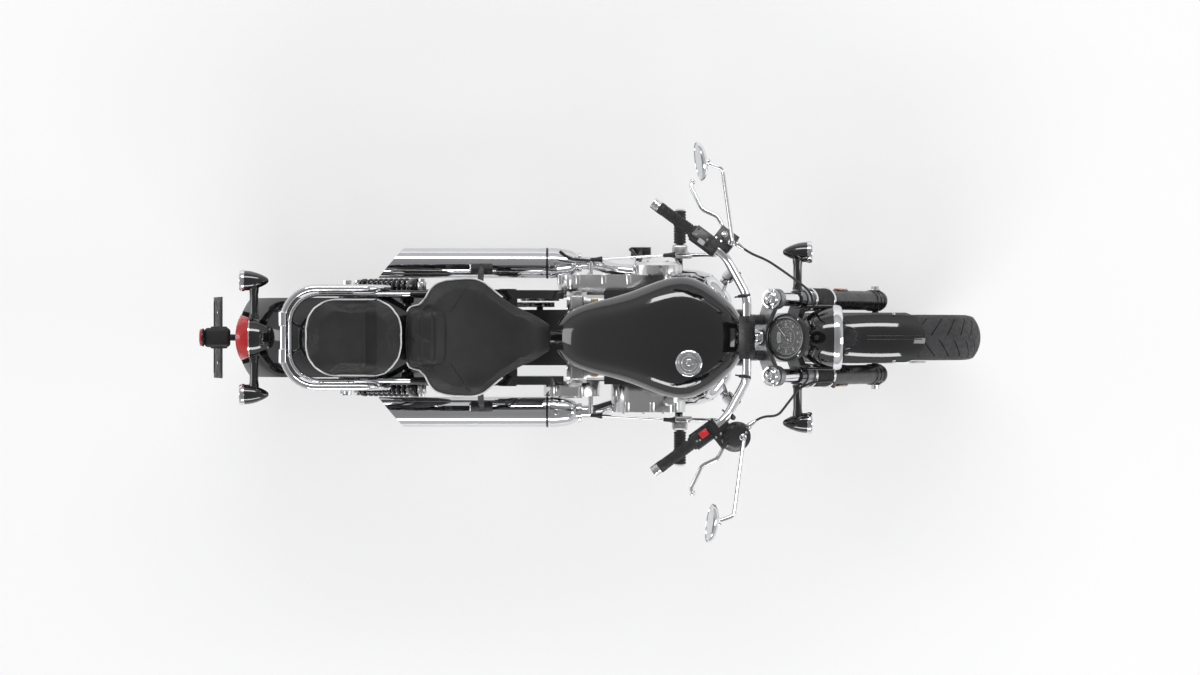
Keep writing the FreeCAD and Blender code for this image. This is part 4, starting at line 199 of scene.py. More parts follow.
def makeLeather(name, color, cell=330):
    material, shader, place = startFinish(name, 0.42)
    shader.inputs["Sheen Weight"].default_value = 0.04
    shader.inputs["Specular IOR Level"].default_value = 0.35
    cells = material.node_tree.nodes.new("ShaderNodeTexVoronoi")
    cells.feature = "DISTANCE_TO_EDGE"
    cells.inputs["Scale"].default_value = cell
    wire(material, place, "Object", cells, "Vector")
    crease = addRamp(material, cells, "Distance", [(0.0, (0, 0, 0)), (0.16, (1, 1, 1))])
    addBump(material, shader, crease, "Color", 0.35, 0.0005)
    slow = addNoise(material, place, 9, 5)
    shade = addRamp(material, slow, "Fac", [(0.3, tint(color, 0.75)), (0.7, tint(color, 1.35))])
    wire(material, shade, "Color", shader, "Base Color")
    gloss = addRamp(material, addNoise(material, place, 30, 4), "Fac", [(0.3, (0.36,) * 3), (0.75, (0.55,) * 3)])
    wire(material, gloss, "Color", shader, "Roughness")
    return material


def addFlutes(material, shader, place, ribs):
    flutes = material.node_tree.nodes.new("ShaderNodeTexWave")
    flutes.bands_direction = "Y"
    flutes.inputs["Scale"].default_value = 60
    wire(material, place, "Object", flutes, "Vector")
    addBump(material, shader, flutes, "Fac", ribs, 0.001)
    return material


def makeLens(name, color, roughness, clear, ribs=0.0):
    material, shader, place = startFinish(name, roughness, 0, 1.0)
    shader.inputs["Transmission Weight"].default_value = clear
    shader.inputs["IOR"].default_value = 1.49
    slow = addNoise(material, place, 12)
    shade = addRamp(material, slow, "Fac", [(0.3, tint(color, 0.9)), (0.7, tint(color, 1.05))])
    wire(material, shade, "Color", shader, "Base Color")
    return addFlutes(material, shader, place, ribs)


def makeGlass(name, color, solid, ribs):
    # Thin clear cover: mostly open, with its gloss and a moulded pattern kept
    material, shader, place = startFinish(name, 0.03, 0, 0.3)
    shader.inputs["IOR"].default_value = 1.45
    slow = addNoise(material, place, 14)
    shade = addRamp(material, slow, "Fac", [(0.3, tint(color, 0.9)), (0.7, tint(color, 1.05))])
    wire(material, shade, "Color", shader, "Base Color")
    cover = addRamp(material, addNoise(material, place, 25), "Fac", [(0.3, (solid * 0.85,) * 3), (0.7, (solid * 1.15,) * 3)])
    wire(material, cover, "Color", shader, "Alpha")
    return addFlutes(material, shader, place, ribs)


finishes = {
    "glossBlack": makeFinish("glossBlack", (0.0075, 0.0075, 0.0085), 0.09, coat=1.0, mottle=3, grain=90, bump=0.05,
        depth=0.0002),
    "chrome": makeFinish("chrome", (0.80, 0.805, 0.82), 0.055, 1.0, mottle=5, spread=0.03, sheen=0.45, grain=60, bump=0.03,
        depth=0.0002),
    "frameBlack": makeFinish("frameBlack", (0.011, 0.011, 0.012), 0.22, coat=0.6, mottle=7, grain=130, bump=0.10),
    "forkBlack": makeFinish("forkBlack", (0.009, 0.009, 0.010), 0.32, coat=0.15, mottle=9, grain=160, bump=0.12),
    "wheelBlack": makeFinish("wheelBlack", (0.016, 0.016, 0.018), 0.28, coat=0.4, mottle=8, grain=180, bump=0.12),
    "yokeSilver": makeFinish("yokeSilver", (0.36, 0.365, 0.37), 0.45, 1.0, mottle=14, spread=0.08, grain=420, bump=0.25),
    "polishedAlloy": makeFinish("polishedAlloy", (0.80, 0.80, 0.80), 0.16, 1.0, mottle=7, spread=0.05, sheen=0.4, grain=90,
        bump=0.06),
    "castAlloy": makeFinish("castAlloy", (0.50, 0.50, 0.50), 0.42, 1.0, mottle=16, spread=0.14, grain=360, bump=0.4,
        depth=0.0006),
    "engineBlack": makeFinish("engineBlack", (0.032, 0.032, 0.034), 0.40, mottle=12, grain=420, bump=0.35, depth=0.0006),
    "moulded": makeFinish("moulded", (0.009, 0.009, 0.010), 0.6, mottle=11, grain=700, bump=0.3, depth=0.0004),
    "satinPlastic": makeFinish("satinPlastic", (0.022, 0.022, 0.023), 0.30, mottle=13, grain=520, bump=0.15),
    "rubber": makeFinish("rubber", (0.021, 0.021, 0.022), 0.62, mottle=18, grain=600, bump=0.4, depth=0.0005),
    "tyreRubber": makeFinish("tyreRubber", (0.034, 0.034, 0.036), 0.72, mottle=20, spread=0.2, grain=520, bump=0.5,
        depth=0.0007),
    "sawnSteel": makeFinish("sawnSteel", (0.45, 0.44, 0.42), 0.32, 1.0, mottle=22, spread=0.2, grain=260, bump=0.3),
    "boltSteel": makeFinish("boltSteel", (0.66, 0.66, 0.66), 0.22, 1.0, mottle=30, spread=0.1, grain=300, bump=0.12),
    "blackBolt": makeFinish("blackBolt", (0.03, 0.03, 0.032), 0.30, 0.6, mottle=30, grain=300, bump=0.15),
    "greyButton": makeFinish("greyButton", (0.42, 0.42, 0.43), 0.45, mottle=25, grain=500, bump=0.2),
    "redButton": makeFinish("redButton", (0.62, 0.012, 0.02), 0.35, coat=0.3, mottle=25, grain=500, bump=0.15),
    "piping": makeFinish("piping", (0.70, 0.70, 0.69), 0.5, mottle=40, spread=0.08, grain=900, bump=0.35),
    "thread": makeFinish("thread", (0.045, 0.045, 0.047), 0.6, mottle=60, spread=0.15, grain=1500, bump=0.5),
    "heatAlloy": makeFinish("heatAlloy", (0.58, 0.48, 0.33), 0.34, 1.0, mottle=24, spread=0.2, grain=300, bump=0.3),
    "dialFace": makeFinish("dialFace", (0.020, 0.021, 0.024), 0.45, mottle=30, grain=900, bump=0.1),
    "print": makeFinish("print", (0.75, 0.75, 0.74), 0.5, mottle=30, spread=0.04, grain=600, bump=0.05),
    "lcd": makeFinish("lcd", (0.42, 0.47, 0.43), 0.25, coat=0.5, mottle=30, spread=0.05, grain=600, bump=0.05),
    "mirrorGlass": makeFinish("mirrorGlass", (0.86, 0.88, 0.90), 0.02, 1.0, mottle=4, spread=0.02, grain=20, bump=0.01),
    "bulbSilver": makeFinish("bulbSilver", (0.88, 0.88, 0.88), 0.12, 1.0, mottle=9, spread=0.05, grain=80, bump=0.2,
        depth=0.001),
    "leather": makeLeather("leather", (0.019, 0.019, 0.020)),
    "leatherSide": makeLeather("leatherSide", (0.010, 0.010, 0.011), 300),
    "redLens": makeLens("redLens", (0.62, 0.012, 0.016), 0.10, 0.25, 0.25),
    "amberLens": makeLens("amberLens", (0.85, 0.30, 0.02), 0.12, 0.25, 0.3),
    "clearLens": makeGlass("clearLens", (0.90, 0.91, 0.92), 0.35, 0.25),
    "dialGlass": makeGlass("dialGlass", (0.80, 0.80, 0.80), 0.06, 0.0),
    "frontDisc": makeTurnedSteel("frontDisc", (0.58, 0.58, 0.58), 0.28, (0.8575, 0, 0.320), (0, 1, 0), 90),
    "rearDisc": makeTurnedSteel("rearDisc", (0.58, 0.58, 0.58), 0.28, (-0.7525, 0, 0.326), (0, 1, 0), 90),
}

nodeFinishes = {
    "front_tyre": "tyreRubber", "rear_tyre": "tyreRubber", "front_rim": "wheelBlack", "rear_rim": "wheelBlack",
    "front_disc": "frontDisc", "rear_disc": "rearDisc", "fork_lowers": "forkBlack", "fork_tubes": "chrome",
    "fork_gaiters": "rubber", "fork_yokes": "yokeSilver", "handlebar": "chrome", "bar_clamps": "frameBlack",
    "grips": "rubber", "bar_controls": "satinPlastic", "levers": "polishedAlloy", "mirrors": "chrome",
    "headlight": "glossBlack", "front_signals": "glossBlack", "instrument": "moulded", "front_guard": "glossBlack",
    "rear_guard": "glossBlack", "front_caliper": "forkBlack", "rear_caliper": "forkBlack", "frame": "frameBlack",
    "swing_arm": "frameBlack", "rear_shocks": "frameBlack", "side_stand": "frameBlack", "engine_case": "engineBlack",
    "barrels": "engineBlack", "cylinder_head": "engineBlack", "engine_covers": "polishedAlloy", "throttle_bodies": "castAlloy",
    "header_pipes": "chrome", "silencers": "chrome", "fuel_tank": "glossBlack", "filler_cap": "chrome",
    "rider_saddle": "leather", "pillion_pad": "leather", "side_covers": "glossBlack", "grab_rail": "chrome",
    "tail_lamp": "glossBlack", "rear_signals": "glossBlack", "plate_holder": "moulded", "rear_reflector": "redLens",
    "foot_controls": "rubber", "rear_pegs": "rubber", "horns": "chrome", "drive_chain": "sawnSteel",
    "control_cables": "rubber",
}
for nodeName, finishName in nodeFinishes.items():
    for index in range(len(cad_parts[nodeName].material_slots)):
        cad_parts[nodeName].material_slots[index].material = finishes[finishName]
print("finishes made,", len(finishes))


def makeStudio():
    floorMaterial, shader, place = startFinish("studioFloor", 0.85)
    slow = addNoise(floorMaterial, place, 0.8)
    shade = addRamp(floorMaterial, slow, "Fac", [(0.3, tint(view["floor"], 0.995)), (0.7, tint(view["floor"], 1.005))])
    wire(floorMaterial, shade, "Color", shader, "Base Color")
    # To the camera the floor glows a little, which lightens the shadow to the photo's
    glow = floorMaterial.node_tree.nodes.new("ShaderNodeEmission")
    glow.inputs["Color"].default_value = (1, 1, 1, 1)
    blend = floorMaterial.node_tree.nodes.new("ShaderNodeMixShader")
    ray = floorMaterial.node_tree.nodes.new("ShaderNodeLightPath")
    share = floorMaterial.node_tree.nodes.new("ShaderNodeMath")
    share.operation = "MULTIPLY"
    share.inputs[1].default_value = view["glow"]
    wire(floorMaterial, ray, "Is Camera Ray", share, 0)
    wire(floorMaterial, share, 0, blend, 0)
    wire(floorMaterial, shader, 0, blend, 1)
    wire(floorMaterial, glow, 0, blend, 2)
    wire(floorMaterial, blend, 0, floorMaterial.node_tree.nodes["Material Output"], "Surface")
    dropSelection()
    bpy.ops.mesh.primitive_plane_add(size=60)
    floor = bpy.context.object
    floor.name = "floor"
    floor.data.materials.append(floorMaterial)
    world = bpy.data.worlds.new("studio")
    bpy.context.scene.world = world
    world.use_nodes = True
    nodes = world.node_tree.nodes
    place, parts = nodes.new("ShaderNodeTexCoord"), nodes.new("ShaderNodeSeparateXYZ")
    wire(world, place, "Generated", parts, "Vector")
    levels = [(0.0, 0.50), (0.35, 0.62), (0.68, 0.36), (1.0, 0.26)]
    sky = addRamp(world, parts, "Z", [(spot, (level, level, level * 1.01)) for spot, level in levels])
    # The camera itself sees plain white
    ray, mix = nodes.new("ShaderNodeLightPath"), nodes.new("ShaderNodeMixRGB")
    mix.inputs["Color2"].default_value = (1, 1, 1, 1)
    wire(world, ray, "Is Camera Ray", mix, "Fac")
    wire(world, sky, "Color", mix, "Color1")
    wire(world, mix, "Color", nodes["Background"], "Color")
    nodes["Background"].inputs["Strength"].default_value = 1.0
    lamps = [
        ("left", (0.1, 4.6, 3.9), (5.2, 1.2), 160), ("right", (0.1, -4.6, 3.9), (5.2, 1.2), 150),
        ("front", (4.8, -0.4, 3.2), (1.4, 3.4), 48), ("rear", (-5.4, 0.6, 2.0), (1.4, 3.4), 40),
    ]
    for name, spot, size, power in lamps:
        lamp = bpy.data.lights.new(name, "AREA")
        lamp.shape = "RECTANGLE"
        lamp.size, lamp.size_y = size
        lamp.energy = power
        holder = bpy.data.objects.new(name, lamp)
        holder.visible_camera = False
        holder.matrix_world = placed(spot, Vector(spot) - Vector((0, -0.1, 0.4)))
        bpy.context.scene.collection.objects.link(holder)


makeStudio()
print("studio set")


def beginPiece(name):
    # One loose point at the origin, ready to be drawn out
    dropSelection()
    bpy.ops.mesh.primitive_plane_add(size=0.01)
    piece = bpy.context.object
    piece.name = piece.data.name = name
    bpy.ops.object.mode_set(mode="EDIT")
    bpy.ops.mesh.merge(type="CENTER")
    return piece


def endPiece(weld=0.00002):
    bpy.ops.mesh.select_all(action="SELECT")
    bpy.ops.mesh.remove_doubles(threshold=weld)
    bpy.ops.mesh.normals_make_consistent(inside=False)
    bpy.ops.object.mode_set(mode="OBJECT")


def drawOut(spots):
    last = Vector((0, 0, 0))
    for number, spot in enumerate(spots):
        move = Vector(spot) - last
        if number == 0:
            bpy.ops.transform.translate(value=move)
        else:
            bpy.ops.mesh.extrude_region_move(TRANSFORM_OT_translate={"value": move})
        last = Vector(spot)


def spinPiece(name, outline, steps=40, place=None):
    # The outline gives radius and height, and is spun about z
    piece = beginPiece(name)
    drawOut([(radius, 0, height) for radius, height in outline])
    bpy.ops.mesh.select_all(action="SELECT")
    bpy.ops.mesh.spin(steps=steps, angle=2 * math.pi, center=(0, 0, 0), axis=(0, 0, 1))
    endPiece()
    if place:
        piece.data.transform(place)
    return piece


def blockPiece(name, size, bevel=0.002, segments=2, place=None):
    dropSelection()
    bpy.ops.mesh.primitive_cube_add(size=1)
    piece = bpy.context.object
    piece.name = piece.data.name = name
    piece.scale = size
    bpy.ops.object.transform_apply(location=False, rotation=False, scale=True)
    editAll()
    bpy.ops.mesh.bevel(offset=bevel, segments=segments, affect="EDGES")
    endPiece(0.000001)
    if place:
        piece.data.transform(place)
    return piece


def rodPiece(name, start, end, radius, bevel=0.001, sides=24):
    # A drum between two points with its rims broken
    start, end = Vector(start), Vector(end)
    length = (end - start).length
    bevel = min(bevel, length / 3, radius / 2)
    outline = [(0, 0), (radius - bevel, 0), (radius, bevel), (radius, length - bevel), (radius - bevel, length), (0, length)]
    piece = spinPiece(name, outline, sides)
    piece.data.transform(placed(start, end - start))
    return piece


def tubePiece(name, spots, radius, fineness=6, closed=False):
    # A smooth tube that follows the spots
    curve = bpy.data.curves.new(name, "CURVE")
    curve.dimensions = "3D"
    curve.bevel_depth = radius
    curve.bevel_resolution = fineness
    curve.use_fill_caps = not closed
    spline = curve.splines.new("NURBS")
    spline.points.add(len(spots) - 1)
    for point, spot in zip(spline.points, spots):
        point.co = (*spot, 1)
    spline.order_u = 3
    spline.use_endpoint_u = not closed
    spline.use_cyclic_u = closed
    spline.resolution_u = 8
    piece = bpy.data.objects.new(name, curve)
    bpy.context.scene.collection.objects.link(piece)
    choose(piece)
    bpy.ops.object.convert(target="MESH")
    return bpy.context.object


def copyPiece(piece, place, name="copy"):
    copy = piece.copy()
    copy.data = piece.data.copy()
    copy.name = copy.data.name = name
    bpy.context.scene.collection.objects.link(copy)
    copy.data.transform(place)
    if place.to_3x3().determinant() < 0:
        copy.data.flip_normals()
    return copy


def joined(name, *pieces):
    dropSelection()
    for piece in pieces:
        piece.select_set(True)
    bpy.context.view_layer.objects.active = pieces[0]
    if len(pieces) > 1:
        bpy.ops.object.join()
    pieces[0].name = pieces[0].data.name = name
    return pieces[0]


def repeated(name, piece, places):
    # The piece modelled once, copied to each place with its own mesh
    copies = [copyPiece(piece, place) for place in places]
    bpy.data.objects.remove(piece)
    return joined(name, *copies)


flip = Matrix.Diagonal((1, -1, 1, 1))
sideNames = {1: "Left", -1: "Right"}


def mirrored(piece):
    piece.data.transform(flip)
    piece.data.flip_normals()
    return piece


def withTwin(piece):
    return joined(piece.name, piece, copyPiece(piece, flip))


def settle(piece, body, finish, nodes=(), smooth=32):
    # Lean the drawn piece with the machine, dress it and hand it to its body
    bake(piece, lean)
    piece.data.materials.clear()
    piece.data.materials.append(finishes[finish])
    choose(piece)
    bpy.ops.object.shade_smooth_by_angle(angle=math.radians(smooth))
    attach(piece, body)
    if nodes:
        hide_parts(*nodes)
    return piece


def applyModifier(piece, kind, **settings):
    choose(piece)
    modifier = piece.modifiers.new(kind, kind)
    for setting, value in settings.items():
        setattr(modifier, setting, value)
    bpy.ops.object.modifier_apply(modifier=modifier.name)


# Bolts: a washer face, six flats and a broken top edge
def hexBolt(size):
    dropSelection()
    bpy.ops.mesh.primitive_cylinder_add(vertices=6, radius=size, depth=size * 0.9, location=(0, 0, size * 0.6))
    head = bpy.context.object
    editAll()
    bpy.ops.mesh.bevel(offset=size * 0.12, segments=1, affect="EDGES")
    endPiece(0.000001)
    bake(head)
    washer = spinPiece("washer", [(0, 0), (size * 1.25, 0), (size * 1.3, size * 0.1), (size * 1.15, size * 0.2),
            (0, size * 0.2)], 16)
    return joined("hexBolt", head, washer)


# Cap screws: a round head with a sunk round socket
def capScrew(size):
    dropSelection()
    bpy.ops.mesh.primitive_cylinder_add(vertices=24, radius=size, depth=size * 0.9, location=(0, 0, size * 0.45))
    head = bpy.context.object
    head.name = "capScrew"
    editAll()
    bpy.ops.mesh.bevel(offset=size * 0.12, segments=1, affect="EDGES")
    bpy.ops.object.mode_set(mode="OBJECT")
    bpy.ops.object.mode_set(mode="EDIT")
    bpy.ops.mesh.select_mode(type="FACE")
    bpy.ops.object.mode_set(mode="OBJECT")
    for face in head.data.polygons:
        face.select = face.normal.z > 0.9 and face.area > size * size
    bpy.ops.object.mode_set(mode="EDIT")
    bpy.ops.mesh.inset(thickness=size * 0.42)
    bpy.ops.mesh.extrude_region_move(TRANSFORM_OT_translate={"value": (0, 0, -size * 0.45)})
    bpy.ops.mesh.select_mode(type="VERT")
    endPiece(0.000001)
    bake(head)
    return head


tyreSizes = {
    "front": {"hub": frontHub, "radius": 0.320, "half": 0.062, "crown": 0.095, "wall": 0.062, "seat": 0.207, "rim": 0.045,
              "node": "front_tyre", "body": "front_wheel", "blocks": 34, "sweep": 0.20, "rows": (0.12, 0.86)},
    "rear": {"hub": rearHub, "radius": 0.326, "half": 0.078, "crown": 0.110, "wall": 0.084, "seat": 0.195, "rim": 0.058,
             "node": "rear_tyre", "body": "rear_wheel", "blocks": 30, "sweep": 0.17, "rows": (0.16, 0.88)},
    "groove": 0.0042, "flange": 0.0143, "columns": 5, "narrow": 0.42,
}


def arcBetween(start, end, radius, count):
    # Points from start to end on an arc that bulges away from the axle
    start, end = Vector(start), Vector(end)
    middle, across = (start + end) / 2, end - start
    side = Vector((across.y, -across.x)).normalized()
    centre = middle + side * math.sqrt(radius ** 2 - (across.length / 2) ** 2)
    first = math.atan2(start.y - centre.y, start.x - centre.x)
    last = math.atan2(end.y - centre.y, end.x - centre.x)
    turn = (last - first + math.pi) % (2 * math.pi) - math.pi
    return [(centre.x + radius * math.cos(first + turn * step / count),
            centre.y + radius * math.sin(first + turn * step / count))
            for step in range(count + 1)]


def makeTyre(end):
    tyre = tyreSizes[end]
    rim, half, lip = tyre["rim"], tyre["half"], tyre["seat"] + tyreSizes["flange"]
    shoulder = tyre["radius"] - tyre["crown"] + math.sqrt(tyre["crown"] ** 2 - half ** 2)
    wall = arcBetween((-rim, lip), (-half, shoulder), tyre["wall"], 7)
    crown = arcBetween((-half, shoulder), (half, shoulder), tyre["crown"], 18)
    if min(spot[0] for spot in wall) > -half - 0.0001:
        wall = [(-rim, lip), (-half, shoulder)]
    profile = [(-rim, tyre["seat"])] + wall + crown[1:-1] + [(-x, r) for x, r in reversed(wall)] + [(rim, tyre["seat"])]
    steps = tyre["blocks"] * tyreSizes["columns"]
    piece = spinPiece(end + "TreadedTyre", [(r, x) for x, r in profile] + [(tyre["seat"], -rim)], steps)
    period = 2 * math.pi / tyre["blocks"]
    low, high = tyre["rows"]
    grooves = []
    for face in piece.data.polygons:
        spot = face.center
        radius, share = math.hypot(spot.x, spot.y), abs(spot.z) / half
        turn = math.atan2(spot.y, spot.x) % period / period * tyreSizes["columns"]
        if radius > shoulder - 0.004 and low < share < high and turn < 1:
            grooves.append(face.index)
        elif radius > shoulder and share < 0.08 and end == "rear":
            grooves.append(face.index)
    for vertex in piece.data.vertices:
        radius, share = math.hypot(vertex.co.x, vertex.co.y), abs(vertex.co.z) / half
        turn = math.atan2(vertex.co.y, vertex.co.x) % (2 * math.pi)
        block, column = divmod(turn / period * tyreSizes["columns"] + 0.01, tyreSizes["columns"])
        column = round(column - 0.01)
        narrow = tyreSizes["narrow"]
        spread = 0 if column == 0 else narrow + (column - 1) * (tyreSizes["columns"] - narrow) / (tyreSizes["columns"] - 1)
        stagger = period / 2 * min(1, share / 0.14) if vertex.co.z < 0 else 0
        turn = (block + spread / tyreSizes["columns"]) * period + tyre["sweep"] * min(share, 1) ** 1.4 + stagger
        vertex.co.x, vertex.co.y = radius * math.cos(turn), radius * math.sin(turn)
    choose(piece)
    bpy.ops.object.mode_set(mode="EDIT")
    bpy.ops.mesh.select_mode(type="FACE")
    bpy.ops.mesh.select_all(action="DESELECT")
    bpy.ops.object.mode_set(mode="OBJECT")
    for index in grooves:
        piece.data.polygons[index].select = True
    bpy.ops.object.mode_set(mode="EDIT")
    bpy.ops.mesh.extrude_region_shrink_fatten(TRANSFORM_OT_shrink_fatten={"value": -tyreSizes["groove"]})
    bpy.ops.mesh.select_mode(type="VERT")
    bpy.ops.object.mode_set(mode="OBJECT")
    piece.data.transform(placed(tyre["hub"], (0, 1, 0)))
    print(piece.name, len(piece.data.polygons), "faces, largest radius",
            round(max(math.hypot(v.co.x - tyre["hub"].x, v.co.z - tyre["hub"].z) for v in piece.data.vertices), 4))
    settle(piece, tyre["body"], "tyreRubber", (tyre["node"],), 40)


makeTyre("front")
makeTyre("rear")
print("tyres treaded")


lampSizes = {"front": 0.728, "back": 0.597, "height": 0.735, "ring": 0.026}


def makeHeadlight():
    front, ring = lampSizes["front"], lampSizes["ring"]
    place = placed((0, 0, lampSizes["height"]), (1, 0, 0))
    bowl = [(0, lampSizes["back"])] + [(spot[0], lampSizes["back"] + spot[1]) for spot in
            mm(18, 2, 34, 6.5, 44, 11, 60, 25, 73, 43, 83, 65, 89.5, 88, 92, 104)]
    bowl += [(0.089, front - ring), (0.086, front - 0.03), (0, front - 0.034)]
    piece = spinPiece("lampBowl", bowl, 64, place)
    ears = []
    for side in (1, -1):
        collar = rodPiece("collar", (0, 0.112 * side, 0.4736), (0, 0.112 * side, 0.5035), 0.0268)
        collar.data.transform(fork)
        arm = blockPiece("arm", (0.078, 0.010, 0.020), 0.003, 3, moved(0.6635, 0.0905 * side, 0.749))
        ears += [collar, arm]
    piece = joined("lampBowl", piece, *ears)
    settle(piece, "steering", "glossBlack", ("headlight",))
    rim = raised(front, 90.5, -28.5, 94.5, -27, 96.2, -22, 96.2, -14, 94.5, -7, 90.5, -1.5, 86.5, 0, 83.5, -2.5, 82.5, -8,
            82.5, -20, 90.5, -28.5)
    piece = spinPiece("lampRing", rim, 72, place)
    settle(piece, "steering", "chrome")
    bowl = [(0, front - 0.075)] + [(0.02 + 0.0615 * step / 8, front - 0.075 + 0.06 * (step / 8) ** 2) for step in range(9)]
    piece = spinPiece("lampReflector", bowl + raised(front, 82.2, -16.5, 20.5, -79, 0, -79), 64, place)
    settle(piece, "steering", "bulbSilver")
    glass = raised(front, 0, -0.5, 30, -1.5, 55, -4.2, 72, -7.5, 82.2, -11.2, 82.2, -14.5, 60, -9.5, 30, -6.5, 0, -5.5)
    piece = spinPiece("lampGlass", glass, 64, place)
    settle(piece, "steering", "clearLens")
    cover = spinPiece("bulbShield", raised(front, 0, -22, 14, -23.5, 21, -29, 21, -34, 0, -30), 32)
    stalk = rodPiece("shieldStalk", (0.015, 0, front - 0.03), (0.066, 0, front - 0.034), 0.0025)
    piece = joined("bulbShield", cover, stalk)
    piece.data.transform(place)
    settle(piece, "steering", "chrome")
    knob = spinPiece("adjusterKnob", mm(0, 0, 6, 0, 6.5, 1, 6.5, 6, 5, 8, 0, 8.5), 20,
            placed((0.650, 0, lampSizes["height"] + 0.0895), (-0.1, 0, 1)))
    settle(knob, "steering", "satinPlastic")


makeHeadlight()


signalSizes = {"length": 0.087, "front": (0.599, 0.251, 0.735), "rear": (-1.009, 0.169, 0.618), "frontRoot": 0.1395,
        "rearRoot": 0.055}


def makeSignals(end, facing, body, node):
    x, y, z = signalSizes[end]
    length, inner = signalSizes["length"], signalSizes[end + "Root"]
    place = placed((x - facing * length / 2, y, z), (facing, 0, 0))
    shell = mm(0, 0, 4, 0.6, 7.5, 3, 12.5, 10, 18.5, 22, 23.5, 35, 27.2, 48, 29.2, 60) + raised(length, 29.8, -17, 29.8,
            -14.5, 0, -12)
    piece = spinPiece(end + "SignalBodies", shell, 40, place)
    neck = spinPiece("stalk", mm(0, 0, 15, 0, 15, 6, 13.4, 10, 12.8, 20) + raised(y - inner, 12.8, -42, 14.8, -28, 14.8, -20,
            0, -18), 28, placed((x, inner, z), (0, 1, 0)))
    piece = withTwin(joined(end + "SignalBodies", piece, neck))
    settle(piece, body, "glossBlack", (node,))
    ring = raised(length, 29.6, -16.5, 31.2, -15.5, 32, -12, 31.8, -5, 30, -1.5, 28.2, -2, 27.8, -6, 27.8, -13, 29.6, -16.5)
    lens = raised(length, 0, 0, 10, -0.6, 19, -2.2, 27.7, -5.5, 27.7, -8.5, 18, -4.5, 0, -2.5)
    mirror = [(0, length - 0.0118)] + [(0.006 + 0.0213 * step / 5, length - 0.0118 + 0.0035 * (step / 5) ** 2)
            for step in range(6)] + [(0.0272, length - 0.0122), (0, length - 0.0121)]
    bulb = raised(length, 0, -12, 4, -11.8, 5.2, -9, 4, -5.5, 0, -4.2)
    rows = (("Rings", ring, 48, "chrome"), ("Lenses", lens, 40, "clearLens"), ("Mirrors", mirror, 32, "bulbSilver"),
            ("Bulbs", bulb, 16, "amberLens"))
    for name, outline, steps, finish in rows:
        settle(withTwin(spinPiece(end + "Signal" + name, outline, steps, place)), body, finish)


makeSignals("front", 1, "steering", "front_signals")
makeSignals("rear", -1, "chassis", "rear_signals")
print("lamps made")


def touch(node, start, direction=(0, 0, -1)):
    # Where a line from the upright start first meets a node's face, and the face's normal
    turn = lean.to_3x3()
    hit, spot, normal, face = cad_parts[node].ray_cast(lean @ Vector(start), (turn @ Vector(direction)).normalized())
    return (lean.inverted() @ spot, turn.inverted() @ normal) if hit else (None, None)


def bentSpots(spots, bend):
    # Extra spots on both sides of each corner keep the runs between them straight
    spots = [Vector(spot) for spot in spots]
    result = [spots[0]]
    for before, corner, after in zip(spots, spots[1:], spots[2:]):
        back, ahead = before - corner, after - corner
        result += [corner + back.normalized() * min(bend, back.length * 0.45), corner,
                   corner + ahead.normalized() * min(bend, ahead.length * 0.45)]
    return result + [spots[-1]]


def ribbonPiece(name, spots, across, wall):
    # A flat strip along the spots, as wide as the vector across
    piece = beginPiece(name)
    bpy.ops.transform.translate(value=Vector(spots[0]) - Vector(across) / 2)
    bpy.ops.mesh.extrude_region_move(TRANSFORM_OT_translate={"value": Vector(across)})
    bpy.ops.mesh.select_all(action="SELECT")
    for before, after in zip(spots, spots[1:]):
        bpy.ops.mesh.extrude_region_move(TRANSFORM_OT_translate={"value": Vector(after) - Vector(before)})
    endPiece()
    applyModifier(piece, "SOLIDIFY", thickness=wall, offset=0)
    return piece


def ringOf(radius, tube, count=32, fine=10):
    dropSelection()
    bpy.ops.mesh.primitive_torus_add(major_radius=radius, minor_radius=tube, major_segments=count, minor_segments=fine)
    ring = bpy.context.object
    ring.name = "ring"
    return ring


# Fork: domed caps, stem nut, clamp bolts, chrome rings over the gaiters, reflectors
forkSizes = {"spread": 0.112, "capFoot": 0.6555, "stem": -0.048, "stemTop": 0.6475, "gaiterTop": 0.424, "gaiter": 0.111,
             "reflector": 0.222}


def onForkLegs(piece, height, finish, out=0):
    piece.data.transform(fork @ moved(0, forkSizes["spread"] + out, height))
    settle(withTwin(piece), "steering", finish)


